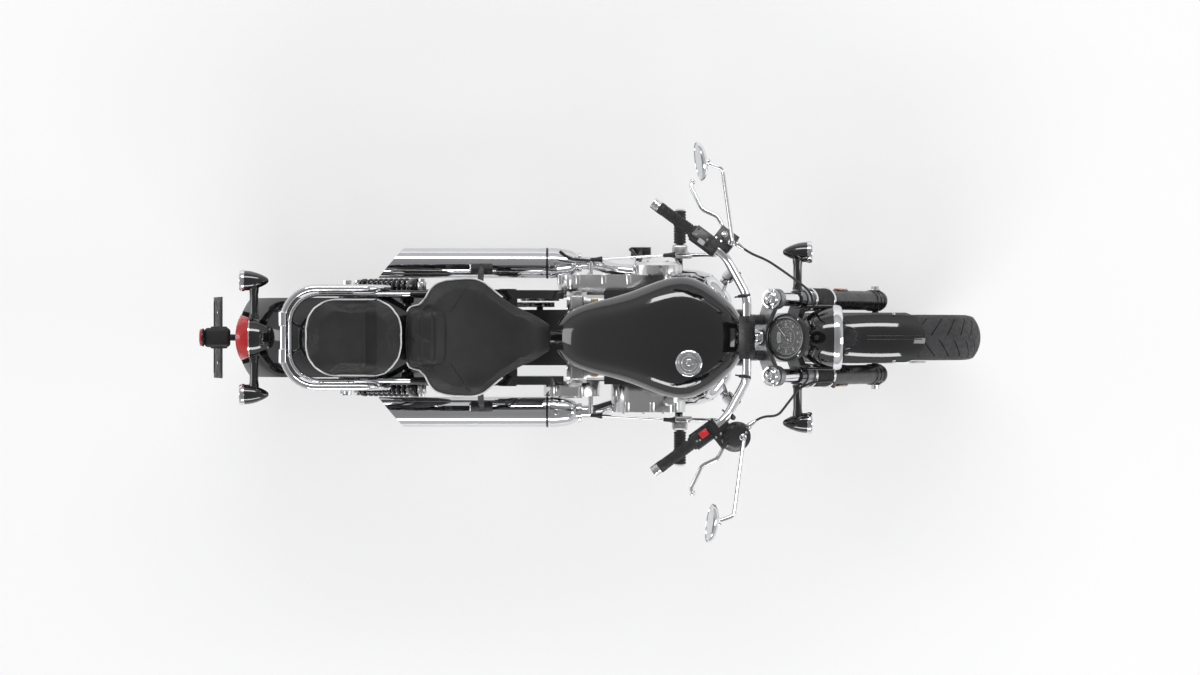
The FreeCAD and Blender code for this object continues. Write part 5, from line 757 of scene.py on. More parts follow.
def makeForkTrim():
    spread = forkSizes["spread"]
    cap = mm(0, 8.5, 4.5, 8.2, 8.5, 7.2, 9.2, 6, 10, 5.2, 11.5, 5.8, 16.5, 4.5, 20, 2.2, 21.6, -0.6, 22.1, -4, 0, -4)
    piece = spinPiece("forkCaps", cap, 48)
    collar = spinPiece("collar", mm(22.6, -13.2, 29.5, -12.8, 30.2, -11.2, 30.2, -9.2, 28.8, -7.6, 22.6, -7.2, 22.6, -13.2), 48)
    onForkLegs(joined("forkCaps", piece, collar), forkSizes["capFoot"], "chrome")
    nut = hexBolt(0.0165)
    dome = spinPiece("dome", mm(0, 20.5, 5, 20, 9.5, 18.2, 11.5, 16, 11.5, 14, 0, 14), 24)
    washer = spinPiece("washer", mm(0, -1, 22.5, -1, 23.5, 0, 23.5, 1.8, 22.2, 3, 0, 3), 36)
    piece = joined("stemNut", nut, dome, washer)
    piece.data.transform(fork @ moved(forkSizes["stem"], 0, forkSizes["stemTop"]))
    settle(piece, "steering", "chrome")
    bolts = [fork @ placed((-0.0300, side * spread, 0.623), (-1, 0, 0)) for side in (1, -1)]
    settle(repeated("yokeBolts", capScrew(0.0058), bolts), "steering", "boltSteel")
    ring = spinPiece("gaiterRings", mm(30, 0, 35.6, 0.4, 36.6, 2, 36.6, 9.5, 35.6, 11.5, 30, 12, 30, 0), 48)
    low = copyPiece(ring, moved(0, 0, -forkSizes["gaiter"]))
    onForkLegs(joined("gaiterRings", ring, low), forkSizes["gaiterTop"], "chrome")
    lens = blockPiece("forkReflectors", (0.018, 0.005, 0.056), 0.0018, 3)
    onForkLegs(lens, forkSizes["reflector"], "amberLens", 0.0325)
    back = blockPiece("reflectorBacks", (0.022, 0.006, 0.060), 0.002, 2)
    onForkLegs(back, forkSizes["reflector"], "satinPlastic", 0.0285)
    foot = mm(28.5, -18, 31.8, -16, 31.8, -8, 29.7, -6, 29.7, 4, 31.8, 6, 31.8, 14, 29.7, 16, 29.7, 26, 31.8, 28, 31.8, 36,
            28.5, 40, 28.5, -18)
    onForkLegs(spinPiece("forkFeet", foot, 40), 0, "forkBlack")
    nut = hexBolt(0.0135)
    nut.data.transform(placed(frontHub + Vector((0, spread + 0.0312, 0)), (0, 1, 0)))
    settle(withTwin(nut), "steering", "chrome")
    pinch = [fork @ placed((x, side * (spread + 0.012), -0.0245), (0, 0, -1)) for side in (1, -1) for x in (0.012, -0.012)]
    settle(repeated("axleClampBolts", capScrew(0.0045), pinch), "steering", "boltSteel")


makeForkTrim()
print("fork trimmed")


# Everything on the bar is drawn in the perch's own frame: x out along the grip
barRun = Vector((-0.8006, 0.5907, -0.1010)).normalized()
perch = moved(0.3441, 0.2610, 0.9717) @ Vector((1, 0, 0)).rotation_difference(barRun).to_matrix().to_4x4()
barSizes = {"gripStart": 0.0713, "grip": 0.1215, "rib": 0.0065}
alongBar = turned(90, "Y")


def onBar(piece, side=1):
    # Carry a piece from the perch's frame to the left grip, or mirrored to the right one
    piece.data.transform(perch)
    return mirrored(piece) if side < 0 else piece


def bothGrips(piece):
    return withTwin(onBar(piece))


def makeGripsAndEnds():
    start, length, rib = barSizes["gripStart"], barSizes["grip"], barSizes["rib"]
    outline = mm(13.1, 0, 19.8, 0, 20.7, 1, 20.7, 4.5, 19.2, 6, 16.8, 8.5)
    count = int((length - 0.018) / rib)
    for number in range(count):
        foot = 0.010 + number * rib
        outline += [(0.0152, foot), (0.0152, foot + 0.0016), (0.0168, foot + 0.0024), (0.0171, foot + rib / 2 + 0.0008),
                (0.0168, foot + rib - 0.0008)]
    outline += raised(length, 17.2, -5, 17.2, -1, 16.4, 0, 13.1, 0) + mm(13.1, 0)
    piece = spinPiece("ribbedGrips", outline, 32, moved(start, 0, 0) @ alongBar)
    settle(bothGrips(piece), "steering", "rubber", ("grips",))
    end = start + length
    plug = mm(0, 22.8, 6, 22.6, 6.6, 20.6, 7.4, 20.6, 8.2, 22.4, 12.5, 21.4, 15.2, 19, 16.8, 15, 17.2, 10, 16.6, 7.2, 16.6,
            5.4, 17.4, 4, 17.4, 1.2, 16.5, 0, 0, 0)
    piece = spinPiece("barEnds", plug, 40, moved(end, 0, 0) @ alongBar)
    settle(bothGrips(piece), "steering", "chrome")


def makeSwitches():
    button = blockPiece("dipButton", (0.021, 0.013, 0.009), 0.0022, 3, moved(0.034, 0.0165, 0.0195) @ turned(-42, "X"))
    settle(onBar(button), "steering", "greyButton")
    horn = spinPiece("hornButton", mm(0, 5.2, 5.5, 4.8, 7, 3.4, 7.2, 0, 0, 0), 28,
            moved(0.058, 0.0195, 0.0125) @ turned(-62, "X"))
    toggle = blockPiece("toggle", (0.010, 0.008, 0.008), 0.0015, 2, moved(0.058, 0.0215, -0.0035) @ turned(-90, "X"))
    settle(onBar(joined("hornButton", horn, toggle)), "steering", "satinPlastic")
    kill = blockPiece("killSwitch", (0.025, 0.020, 0.010), 0.0028, 3)
    dish = spinPiece("dish", mm(0, 6, 6, 6.4, 8.2, 5.6, 8.4, 3.5, 0, 3.5), 28)
    kill = joined("killSwitch", kill, dish)
    kill.data.transform(moved(0.029, 0.0115, 0.0215) @ turned(-28, "X"))
    settle(onBar(kill, -1), "steering", "redButton")
    start = spinPiece("startButton", mm(0, 4.6, 5.8, 4.2, 6.8, 3, 7, 0, 0, 0), 28,
            moved(0.056, 0.0205, 0.0095) @ turned(-68, "X"))
    settle(onBar(start, -1), "steering", "satinPlastic")
    marks = []
    for side, x, y, z in ((1, 0.0585, 0.0085, 0.0238), (1, 0.024, 0.0030, 0.0255), (-1, 0.058, 0.0065, 0.0246),
            (-1, 0.049, 0.0040, 0.0252)):
        mark = ringOf(0.0024, 0.00035, 20, 6)
        bar = blockPiece("bar", (0.0006, 0.0040, 0.0005), 0.0001, 1)
        mark = joined("mark", mark, bar)
        bake(mark)
        mark.data.transform(moved(x, y, z) @ turned(-15, "X"))
        marks.append(onBar(mark, side))
    settle(joined("switchMarks", *marks), "steering", "print")
    lip = spinPiece("housingLips", mm(12.8, 0, 20.5, 0, 21.5, 1.2, 21.5, 3.5, 19.5, 4.8, 12.8, 4.8, 12.8, 0), 36,
            moved(0.0672, 0, 0) @ alongBar)
    settle(bothGrips(lip), "steering", "satinPlastic")
    screws = [moved(x, y, z) for x, y, z in ((0.0235, -0.0105, 0.0205), (0.0625, -0.0105, 0.0205))]
    settle(bothGrips(repeated("housingScrews", capScrew(0.0030), screws)), "steering", "blackBolt")
    clampBolts = [moved(x, -0.0225, 0.0128) for x in (-0.0085, 0.0085)]
    settle(bothGrips(repeated("perchClampBolts", capScrew(0.0036), clampBolts)), "steering", "boltSteel")
    pivot = spinPiece("leverPivots", mm(0, 6, 5, 5.8, 6.2, 5, 9.4, 4.4, 10.2, 3, 10.2, -2, 0, -2), 32,
            moved(-0.006, -0.045, 0.0130))
    settle(bothGrips(pivot), "steering", "boltSteel")
    hub = spinPiece("leverHubs", mm(0, -20.5, 11.5, -20.5, 12.5, -19.5, 12.5, -14.5, 11.5, -13.3, 0, -13.3), 32,
            moved(-0.006, -0.045, 0))
    settle(bothGrips(hub), "steering", "polishedAlloy")


def makeReservoirLid():
    top = moved(-0.037, -0.058, 0.031)
    lid = spinPiece("reservoirLid", mm(0, 4, 600, 4, 660, 3.4, 720, 2.2, 900, 2.2, 955, 1.4, 975, 0, 975, -2.5, 0, -2.5), 56,
            top @ Matrix.Diagonal((0.0425, 0.0355, 1, 1)))
    settle(onBar(lid, -1), "steering", "satinPlastic")
    screws = [top @ moved(x, 0, 0.0018) for x in (-0.0335, 0.0335)]
    settle(onBar(repeated("lidScrews", capScrew(0.0038), screws), -1), "steering", "boltSteel")
    window = spinPiece("levelWindow", mm(0, 3, 5.5, 2.4, 7.5, 1.2, 7.8, -1, 0, -1), 28,
            moved(-0.037, -0.0215, 0.0130) @ turned(-90, "X"))
    settle(onBar(window, -1), "steering", "dialGlass")


def makeMirrors():
    shell = mm(0, 15, 18, 14.2, 33, 11.5, 45, 7, 52, 1.2, 55.3, -4.2, 55.5, -7.8, 54, -9.8, 52.2, -9, 51.8, -7.2, 0, -7.2)
    face = mm(0, -8.6, 51.7, -8.2, 51.7, -7.4, 0, -7.4)
    turnIn = Matrix(((0, 0, 1, 0), (1, 0, 0, 0), (0, 0.75, 0, 0), (0, 0, 0, 1)))
    shells, glasses = [], []
    for side, root, knee, top in ((1, (-0.036, -0.036, 0.0133), (0.366, 0.478, 1.116), (0.306, 0.500, 1.122)),
                                  (-1, (-0.055, -0.062, 0.0313), (0.398, 0.505, 1.116), (0.338, 0.527, 1.122))):
        foot = perch @ Vector(root)
        boss = perch @ (Vector(root) + Vector((0, 0, 0.024)))
        spots = bentSpots([foot, boss, knee, top], 0.022)
        stem = tubePiece("stem", spots, 0.0056, 8)
        nut = spinPiece("nut", mm(0, 0, 9.8, 0, 10.4, 1, 10.4, 7.5, 9, 9, 7.2, 9.5, 6.8, 16, 5.2, 19, 0, 19), 24,
                placed(foot, boss - foot))
        knuckle = spinPiece("knuckle", mm(0, -6, 5, -5.2, 7.8, 0, 7.8, 7, 6, 10.5, 0, 11.5), 24,
                placed(Vector(top) + Vector((0.0145, 0, 0)), Vector(knee) - Vector(top)))
        stand = Matrix.Translation(top) @ turned(12, "Y") @ turned(8, "Z")
        head = spinPiece("head", shell, 64, stand @ turnIn)
        glass = spinPiece("glass", face, 64, stand @ turnIn)
        piece = joined("mirrorPair", stem, nut, knuckle, head)
        if side < 0:
            mirrored(piece)
            mirrored(glass)
        shells.append(piece)
        glasses.append(glass)
    settle(joined("mirrorBodies", *shells), "steering", "chrome", ("mirrors",))
    settle(joined("mirrorGlasses", *glasses), "steering", "mirrorGlass")


def makeBarTrim():
    bolts = []
    for x in (0.4145, 0.4445):
        for y in (0.052, -0.052):
            spot, normal = touch("bar_clamps", (x, y, 1.1))
            if spot:
                bolts.append(placed(spot, normal))
    settle(repeated("barClampBolts", capScrew(0.0058), bolts), "steering", "blackBolt")
    ties = []
    for x, y, along in ((0.4378, 0.1224, (-0.2, 1, 0.2)), (0.3981, 0.227, (-0.55, 0.8, 0.3)), (0.440, -0.115, (0.2, 1, -0.2)),
            (0.395, -0.226, (0.55, 0.8, -0.3))):
        spot, normal = touch("handlebar", (x, y, 1.1))
        if spot is None:
            print("no bar under", x, y)
            continue
        centre = spot - Vector((0, 0, 0.0127))
        ties.append(placed(centre, along))
    band = spinPiece("cableTies", mm(12.8, -4, 14.6, -4, 15, -3.4, 15, 3.4, 14.6, 4, 12.8, 4, 12.8, -4), 32)
    lock = blockPiece("lock", (0.007, 0.006, 0.009), 0.0012, 2, moved(0.0175, 0, 0))
    tail = blockPiece("tail", (0.013, 0.0014, 0.0045), 0.0004, 1, moved(0.025, 0.002, 0))
    settle(repeated("cableTies", joined("cableTies", band, lock, tail), ties), "steering", "satinPlastic")
    ferrules = []
    for start, ahead, kind in (((-0.0442, -0.050, 0), (-1, 0, 0), 1), ((-0.0812, -0.058, 0), (-1, 0, 0), -1)):
        cap = spinPiece("ferrule", mm(0, -1, 6.8, -1, 7.4, 0, 7.4, 10, 6.6, 12, 6.2, 20, 5.2, 23, 4, 30, 0, 30), 24,
                placed(start, ahead))
        ferrules.append(onBar(cap, kind))
    settle(joined("cableFerrules", *ferrules), "steering", "chrome")
    banjo = spinPiece("banjoBolt", mm(0, 13, 6.5, 12.5, 7.2, 11, 7.2, 5, 9.2, 4.5, 9.2, 0, 0, 0), 24,
            placed((-0.078, -0.058, 0.000), (-0.3, -1, 0)))
    settle(onBar(banjo, -1), "steering", "boltSteel")


makeGripsAndEnds()
makeSwitches()
makeReservoirLid()
makeMirrors()
makeBarTrim()
print("bar dressed")


# Dial, drawn as read: x to the rider's right, y up the dial, z out of it
podFrame = Matrix(((0, 0.829, -0.559, 0.556), (-1, 0, 0, 0), (0, 0.559, 0.829, 0.905), (0, 0, 0, 1)))
dialSizes = {"radius": 0.0535, "face": -0.0044, "from": 222, "sweep": 264, "steps": 14, "number": 0.00713,
        "numberRadius": 0.0385}


def onPod(piece):
    piece.data.transform(podFrame)
    return piece


def flatText(words, size, place):
    dropSelection()
    bpy.ops.object.text_add()
    text = bpy.context.object
    text.data.body = words
    text.data.size = size
    text.data.align_x = "CENTER"
    text.data.align_y = "CENTER"
    text.data.extrude = 0.00015
    bpy.ops.object.convert(target="MESH")
    text = bpy.context.object
    text.data.transform(place)
    text.matrix_basis = Matrix.Identity(4)
    return text


def makeDial():
    face, radius = dialSizes["face"], dialSizes["radius"]
    disc = spinPiece("dialPlate", [(0, face), (0.0185, face), (0.0188, face - 0.0003), (0.0192, face), (radius, face),
            (radius, face - 0.0006), (0, face - 0.0006)], 72)
    settle(onPod(disc), "steering", "dialFace")
    marks, steps = [], dialSizes["steps"]
    for number in range(steps * 5 + 1):
        turn = math.radians(dialSizes["from"] - dialSizes["sweep"] * number / (steps * 5))
        long = number % 5 == 0
        mark = blockPiece("mark", (0.0052 if long else 0.0026, 0.0011 if long else 0.0005, 0.0004), 0.00008, 1)
        reach = radius - 0.0035 - (0.0026 if long else 0.0013)
        mark.data.transform(Matrix.Rotation(turn, 4, "Z") @ moved(reach, 0, face + 0.0002))
        marks.append(mark)
        if long and (number // 5) % 2 == 0:
            spot = Vector((math.cos(turn), math.sin(turn), 0)) * dialSizes["numberRadius"]
            marks.append(flatText(str(number * 2), dialSizes["number"], moved(spot.x, spot.y, face + 0.0002)))
    marks.append(ringOf(0.0300, 0.00022, 64, 4))
    settle(onPod(joined("dialMarks", *marks)), "steering", "print")
    needle = beginPiece("dialNeedle")
    drawOut([(x, y, face + 0.0026) for x, y in ((-0.012, -0.0012), (-0.012, 0.0012), (0.0405, 0.0003), (0.0405, -0.0003))])
    bpy.ops.mesh.select_all(action="SELECT")
    bpy.ops.mesh.edge_face_add()
    bpy.ops.mesh.extrude_region_move(TRANSFORM_OT_translate={"value": (0, 0, 0.0008)})
    endPiece()
    needle.data.transform(turned(dialSizes["from"], "Z"))
    settle(onPod(needle), "steering", "print")
    hub = spinPiece("needleHub", raised(face, 0, 5, 4, 4.7, 5.2, 3.8, 5.4, 1, 0, 1), 28)
    settle(onPod(hub), "steering", "satinPlastic")
    strip = blockPiece("dialScreen", (0.030, 0.0105, 0.0010), 0.0004, 2, moved(0, -0.0255, face + 0.0005))
    settle(onPod(strip), "steering", "lcd")
    digits = flatText("00000", 0.0088, moved(0, -0.0257, face + 0.0011))
    settle(onPod(digits), "steering", "dialFace")
    lamps = [moved(x, 0.0135, face) for x in (-0.0105, -0.0035, 0.0035, 0.0105)]
    bead = spinPiece("dialLamps", mm(0, 0.9, 1.6, 0.7, 2, 0, 0, 0), 14)
    settle(onPod(repeated("dialLamps", bead, lamps)), "steering", "greyButton")
    glass = spinPiece("dialWindow", mm(0, 1.2, 30, 0.6, 53, -0.6, 53, -1.4, 30, -0.2, 0, 0.4), 64)
    settle(onPod(glass), "steering", "dialGlass")
    ring = spinPiece("dialRing", mm(52.8, -3, 53.2, 0.4, 54.5, 2.4, 58, 3.4, 62, 2.6, 64, 0, 60, -1, 52.8, -3), 72)
    settle(onPod(ring), "steering", "glossBlack")
    screws = [turned(turn, "Z") @ moved(0.0662, 0, -0.0010) for turn in (38, 142, 218, 322)]
    settle(onPod(repeated("podScrews", capScrew(0.0026), screws)), "steering", "boltSteel")


makeDial()
print("dial drawn")


# Soft parts: the leather swells under a little pressure and is held to its shape
padSizes = {
    "saddle": {"node": "rider_saddle", "voxel": 0.0055, "inset": 0.0055, "cap": 0.010, "fill": 0.7, "pin": 0.62},
    "pillion": {"node": "pillion_pad", "voxel": 0.0045, "inset": 0.0050, "cap": 0.009, "fill": 0.75, "pin": 0.735},
    "pressure": 4.0, "frames": 20,
}


def swell(name):
    pad = padSizes[name]
    piece = copyPiece(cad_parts[pad["node"]], lean.inverted(), name + "Leather")
    choose(piece)
    bpy.ops.object.mode_set(mode="EDIT")
    endPiece(0.0001)
    applyModifier(piece, "REMESH", mode="VOXEL", voxel_size=pad["voxel"])
    choose(piece)
    editAll()
    bpy.ops.mesh.vertices_smooth(factor=0.5, repeat=6)
    bpy.ops.transform.shrink_fatten(value=-pad["inset"])
    bpy.ops.object.mode_set(mode="OBJECT")
    start = [vertex.co.copy() for vertex in piece.data.vertices]
    held = piece.vertex_groups.new(name="held")
    lowest = [vertex.index for vertex in piece.data.vertices if vertex.co.z < pad["pin"]]
    held.add(lowest, 1.0, "REPLACE")
    cloth = piece.modifiers.new("Cloth", "CLOTH")
    cloth.settings.quality = 4
    cloth.settings.mass = 0.3
    cloth.settings.use_pressure = True
    cloth.settings.uniform_pressure_force = padSizes["pressure"]
    cloth.settings.effector_weights.gravity = 0
    cloth.settings.vertex_group_mass = "held"
    cloth.point_cache.frame_start, cloth.point_cache.frame_end = 1, padSizes["frames"]
    for number in range(1, padSizes["frames"] + 1):
        bpy.context.scene.frame_set(number)
    choose(piece)
    bpy.ops.object.modifier_apply(modifier="Cloth")
    bpy.context.scene.frame_set(1)
    piece.vertex_groups.clear()
    for vertex, spot in zip(piece.data.vertices, start):
        move = vertex.co - spot
        if move.length > pad["cap"]:
            vertex.co = spot + move.normalized() * pad["cap"]
    applyModifier(piece, "SUBSURF", levels=1, render_levels=1)
    print(name, "swollen,", len(piece.data.polygons), "faces")
    return piece


def castDown(piece, x, y):
    hit, spot, normal, face = piece.ray_cast(Vector((x, y, 1.2)), Vector((0, 0, -1)))
    return (spot, normal) if hit else (None, None)


def weltSpot(piece, x, y, middle):
    # From the rim towards the middle, the first place where the leather faces up enough to carry a welt
    for number in range(52):
        share = 1 - number * 0.005
        spot, normal = castDown(piece, middle + (x - middle) * share, y * share)
        if spot and normal.z > 0.28:
            return spot + normal * 0.0022
    return None


def stitchesAlong(piece, lines, pitch=0.0075):
    # Small capsules laid along lines of plan places on a soft piece
    thread = spinPiece("stitch", mm(0, -2.4, 0.6, -2, 0.9, 0, 0.6, 2, 0, 2.4), 6)
    places = []
    for line in lines:
        for start, end in zip(line, line[1:]):
            start, end = Vector(start), Vector(end)
            count = max(1, int((end - start).length / pitch))
            for number in range(count):
                flat = start + (end - start) * (number + 0.5) / count
                spot, normal = castDown(piece, flat.x, flat.y)
                if spot is None:
                    continue
                run = Vector((end.x - start.x, end.y - start.y, 0)).normalized()
                run = (run - normal * run.dot(normal)).normalized()
                places.append(placed(spot + normal * 0.0003, run))
    return repeated("stitches", thread, places)


pillionSizes = {"rear": -0.8425, "front": -0.5665, "half": 0.1095, "corner": 0.076, "pitch": 0.010, "welt": 0.0026,
                "strap": -0.651, "strapHalf": 0.108, "strapWidth": 0.029, "strapWall": 0.0026, "strapRise": 0.0012,
                        "stitchRow": 0.0195}


def weltLine(piece, places, middles):
    spots = [weltSpot(piece, x, y, middle) for (x, y), middle in zip(places, middles)]
    return [spot for spot in spots if spot]


def makePillion():
    pad, size = swell("pillion"), pillionSizes
    half, corner = size["half"], size["corner"]
    rearX, frontX, reach = size["rear"] + corner, size["front"] - corner, half - corner
    rim = []
    for cx, cy, start in ((frontX, reach, 0), (rearX, reach, 90), (rearX, -reach, 180), (frontX, -reach, 270)):
        for step in range(9):
            turn = math.radians(start + 90 * step / 8)
            rim.append((cx + corner * math.cos(turn), cy + corner * math.sin(turn)))
    sides = []
    for start, end in zip(rim, rim[1:] + rim[:1]):
        start, end = Vector(start), Vector(end)
        steps = max(1, round((end - start).length / size["pitch"]))
        sides += [start + (end - start) * step / steps for step in range(steps)]
    spots = weltLine(pad, sides, [(size["rear"] + size["front"]) / 2] * len(sides))
    settle(tubePiece("pillionPiping", spots, size["welt"], 5, True), "chassis", "piping")
    strapX, reach = size["strap"], size["strapHalf"]
    path = []
    for step in range(25):
        spot, normal = castDown(pad, strapX, -reach + 2 * reach * step / 24)
        if spot:
            path.append(Vector((strapX, spot.y, spot.z + size["strapRise"])))
    # The strap's ends turn down the pad's sides
    ends = [[Vector((strapX, last.y + side * out, last.z - drop)) for out, drop in ((0.0055, 0.014), (0.0060, 0.030))]
            for side, last in ((-1, path[0]), (1, path[-1]))]
    strap = ribbonPiece("pillionStrap", ends[0][::-1] + path + ends[1], (size["strapWidth"], 0, 0), size["strapWall"])
    settle(strap, "chassis", "leatherSide", smooth=50)
    rows = [strapX + side * size["stitchRow"] for side in (1, -1)]
    edges = stitchesAlong(pad, [[(x, -0.100), (x, 0.100)] for x in rows], 0.008)
    edges.name = edges.data.name = "strapStitches"
    settle(edges, "chassis", "thread")
    settle(pad, "chassis", "leather", ("pillion_pad",), 180)


lumbarSizes = {"x": -0.4885, "halfLength": 0.0585, "halfWidth": 0.081, "rise": 0.0165, "channel": 0.0045, "sink": 0.003,
               "skirt": 0.010, "fill": 0.8}


def makeSaddle():
    saddle = swell("saddle")
    edge = mm(-550.5, 82, -537, 92, -519, 101, -499, 127, -481, 150, -456, 170, -428, 181.5, -400, 186.5, -378, 187, -356,
            185, -334, 180, -311, 167, -290, 151, -268, 135)
    # A smooth line through the edge's places, six steps between each two
    fine = []
    for before, start, end, after in zip(edge[:1] + edge, edge, edge[1:], edge[2:] + edge[-1:]):
        for step in range(6):
            share = step / 6
            fine.append([(2 * b + (c - a) * share + (2 * a - 5 * b + 4 * c - d) * share ** 2
                          + (3 * b - a - 3 * c + d) * share ** 3) / 2
                         for a, b, c, d in zip(before, start, end, after)])
    for side in (1, -1):
        spots = weltLine(saddle, [(x, y * side) for x, y in fine], [x for x, y in fine])
        for number in range(2):
            spots = [spots[0]] + [(before + here * 2 + after) / 4
                    for before, here, after in zip(spots, spots[1:], spots[2:])] + [spots[-1]]
        welt = tubePiece("saddlePiping" + sideNames[side], spots, 0.0027, 5)
        settle(welt, "chassis", "piping")
    # The raised pad behind the rider, with channels across it
    dropSelection()
    bpy.ops.mesh.primitive_grid_add(x_subdivisions=56, y_subdivisions=48, size=2)
    rest, size = bpy.context.object, lumbarSizes
    rest.name = rest.data.name = "lumbarPad"
    for vertex in rest.data.vertices:
        u, v = vertex.co.x, vertex.co.y
        x = size["x"] + size["halfLength"] * u * (1 - 0.12 * abs(v) ** 4)
        y = size["halfWidth"] * v * (1 - 0.10 * abs(u) ** 4)
        spot, normal = castDown(saddle, x, y)
        if spot is None:
            spot = Vector((x, y, 0.70))
        rise = max(0.0, 1 - abs(u) ** 5) ** 0.5 * max(0.0, 1 - abs(v) ** 7) ** 0.5
        channel = size["channel"] * max(0.0, 1 - abs(((u * 1.5) % 1.0) - 0.5) * 6)
        vertex.co = (x, y, spot.z - size["sink"] + (size["rise"] - channel) * rise)
    editAll()
    bpy.ops.mesh.extrude_region_move(TRANSFORM_OT_translate={"value": (0, 0, -size["skirt"])})
    endPiece()
    settle(rest, "chassis", "leather", smooth=60)
    lines = []
    for side in (1, -1):
        for shift in (0.0, 0.0058):
            lines.append([(-0.4220 + shift, 0.078 * side), (-0.3700 + shift, 0.158 * side)])
    thread = stitchesAlong(saddle, lines, 0.0068)
    thread.name = thread.data.name = "saddleStitches"
    settle(thread, "chassis", "thread")
    for side in (1, -1):
        spots = []
        for step in range(15):
            share = step / 14
            spot, normal = castDown(saddle, -0.4191 + 0.052 * share, (0.078 + 0.080 * share) * side)
            if spot:
                spots.append(spot + normal * 0.0001)
        seam = tubePiece("saddleSeam" + sideNames[side], spots, 0.0012, 4)
        settle(seam, "chassis", "leatherSide")
    settle(saddle, "chassis", "leather", ("rider_saddle",), 180)


makePillion()
makeSaddle()
print("saddle and pad sewn")


# Castings and mouldings: the same forms with every hard edge rounded over
castSizes = {
    "engine_covers": ("chassis", "polishedAlloy", "cover_alloy", 0.0070, 3),
    "bar_controls": ("steering", "satinPlastic", "black_plastic", 0.0045, 3),
    "bar_clamps": ("steering", "satinPlastic", "yoke_alloy", 0.0030, 2),
}


def makeRounded(node):
    body, finish, slotName, radius, segments = castSizes[node]
    words = node.split("_")
    piece = copyPiece(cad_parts[node], lean.inverted(), "rounded" + "".join(word.capitalize() for word in words))
    choose(piece)
    editAll()
    bpy.ops.mesh.remove_doubles(threshold=0.0001)
    bpy.ops.mesh.dissolve_limited(angle_limit=math.radians(1.0))
    bpy.ops.object.mode_set(mode="OBJECT")
    applyModifier(piece, "BEVEL", width=radius, segments=segments, limit_method="ANGLE", angle_limit=math.radians(38),
            use_clamp_overlap=True)
    settle(piece, body, finish, (node,), 40)


def makeGuardTrim():
    for side in (1, -1):
        spots = []
        for turn in range(-8, 21, 2):
            out = turned(turn, "Y") @ Vector((0, 0, 1))
            spot, normal = touch("front_guard", frontHub + out * 0.45 + Vector((0, 0.0055 * side, 0)), -out)
            if spot:
                spots.append(spot)
        settle(tubePiece("guardRidge" + sideNames[side], spots, 0.0014, 4), "steering", "satinPlastic")
    bolts = []
    for side in (1, -1):
        for turn in (-32, 6):
            out = turned(turn, "Y") @ Vector((0, 0, 1))
            spot, normal = touch("front_guard", frontHub + out * 0.31 + Vector((0, 0.20 * side, 0)), (0, -side, 0))
            if spot:
                bolts.append(placed(spot, normal))
    settle(repeated("guardBolts", capScrew(0.005), bolts), "steering", "boltSteel")


fillerSizes = {"place": (0.277, -0.075, 0.8585), "spin": 35, "teeth": 48, "toothRadius": 0.0311}


def makeFiller():
    seat, teeth = Matrix.Translation(fillerSizes["place"]), fillerSizes["teeth"]
    cap = mm(0, 9.8, 5.2, 9.8, 6.6, 9, 10.8, 9, 12.2, 11.2, 20.5, 11.2, 22.2, 9.8, 23.2, 8, 25.2, 7.6, 26.2, 8.8, 29.2, 9,
            30.4, 7.4, 31.2, 5, 36.2, 4, 38.4, 2.4, 38.5, -15.5, 0, -15.5)
    piece = spinPiece("fillerCap", cap, 72)
    knurl = [Matrix.Rotation(2 * math.pi * number / teeth, 4, "Z") @ moved(fillerSizes["toothRadius"], 0, 0.0066)
            for number in range(teeth)]
    tooth = blockPiece("tooth", (0.0016, 0.0014, 0.0034), 0.0004, 1)
    flap = spinPiece("flap", mm(0, 13.2, 6.2, 13, 7.6, 12, 7.8, 8.8, 0, 8.8), 32)
    lip = blockPiece("lip", (0.010, 0.0055, 0.0030), 0.0012, 2, moved(-0.0088, 0, 0.0112))
    piece = joined("fillerCap", piece, repeated("teeth", tooth, knurl), flap, lip)
    piece.data.transform(seat @ turned(fillerSizes["spin"], "Z"))
    settle(piece, "chassis", "chrome", ("filler_cap",))
    rubberRing = ringOf(0.0395, 0.0022, 64, 8)
    rubberRing.data.transform(seat)
    settle(rubberRing, "chassis", "rubber")


def boltsOn(name, node, spots, direction, size, kind=capScrew):
    # Bolts set square on the faces that lines along the direction meet
    places = []
    for spot in spots:
        start = Vector(spot) - Vector(direction) * 0.25
        found, normal = touch(node, start, direction)
        if found is None:
            print(name, "has no seat at", tuple(spot))
            continue
        places.append(placed(found - normal * 0.0004, normal))
    if places:
        settle(repeated(name, kind(size), places), "chassis", "boltSteel")


engineSizes = {"rows": (0.292, 0.408), "seam": 0.350, "domeX": 0.192, "domeBolts": 0.060, "coverBolt": 0.0052, "bossTop": 0.4165,
               "headBolt": 0.0062}


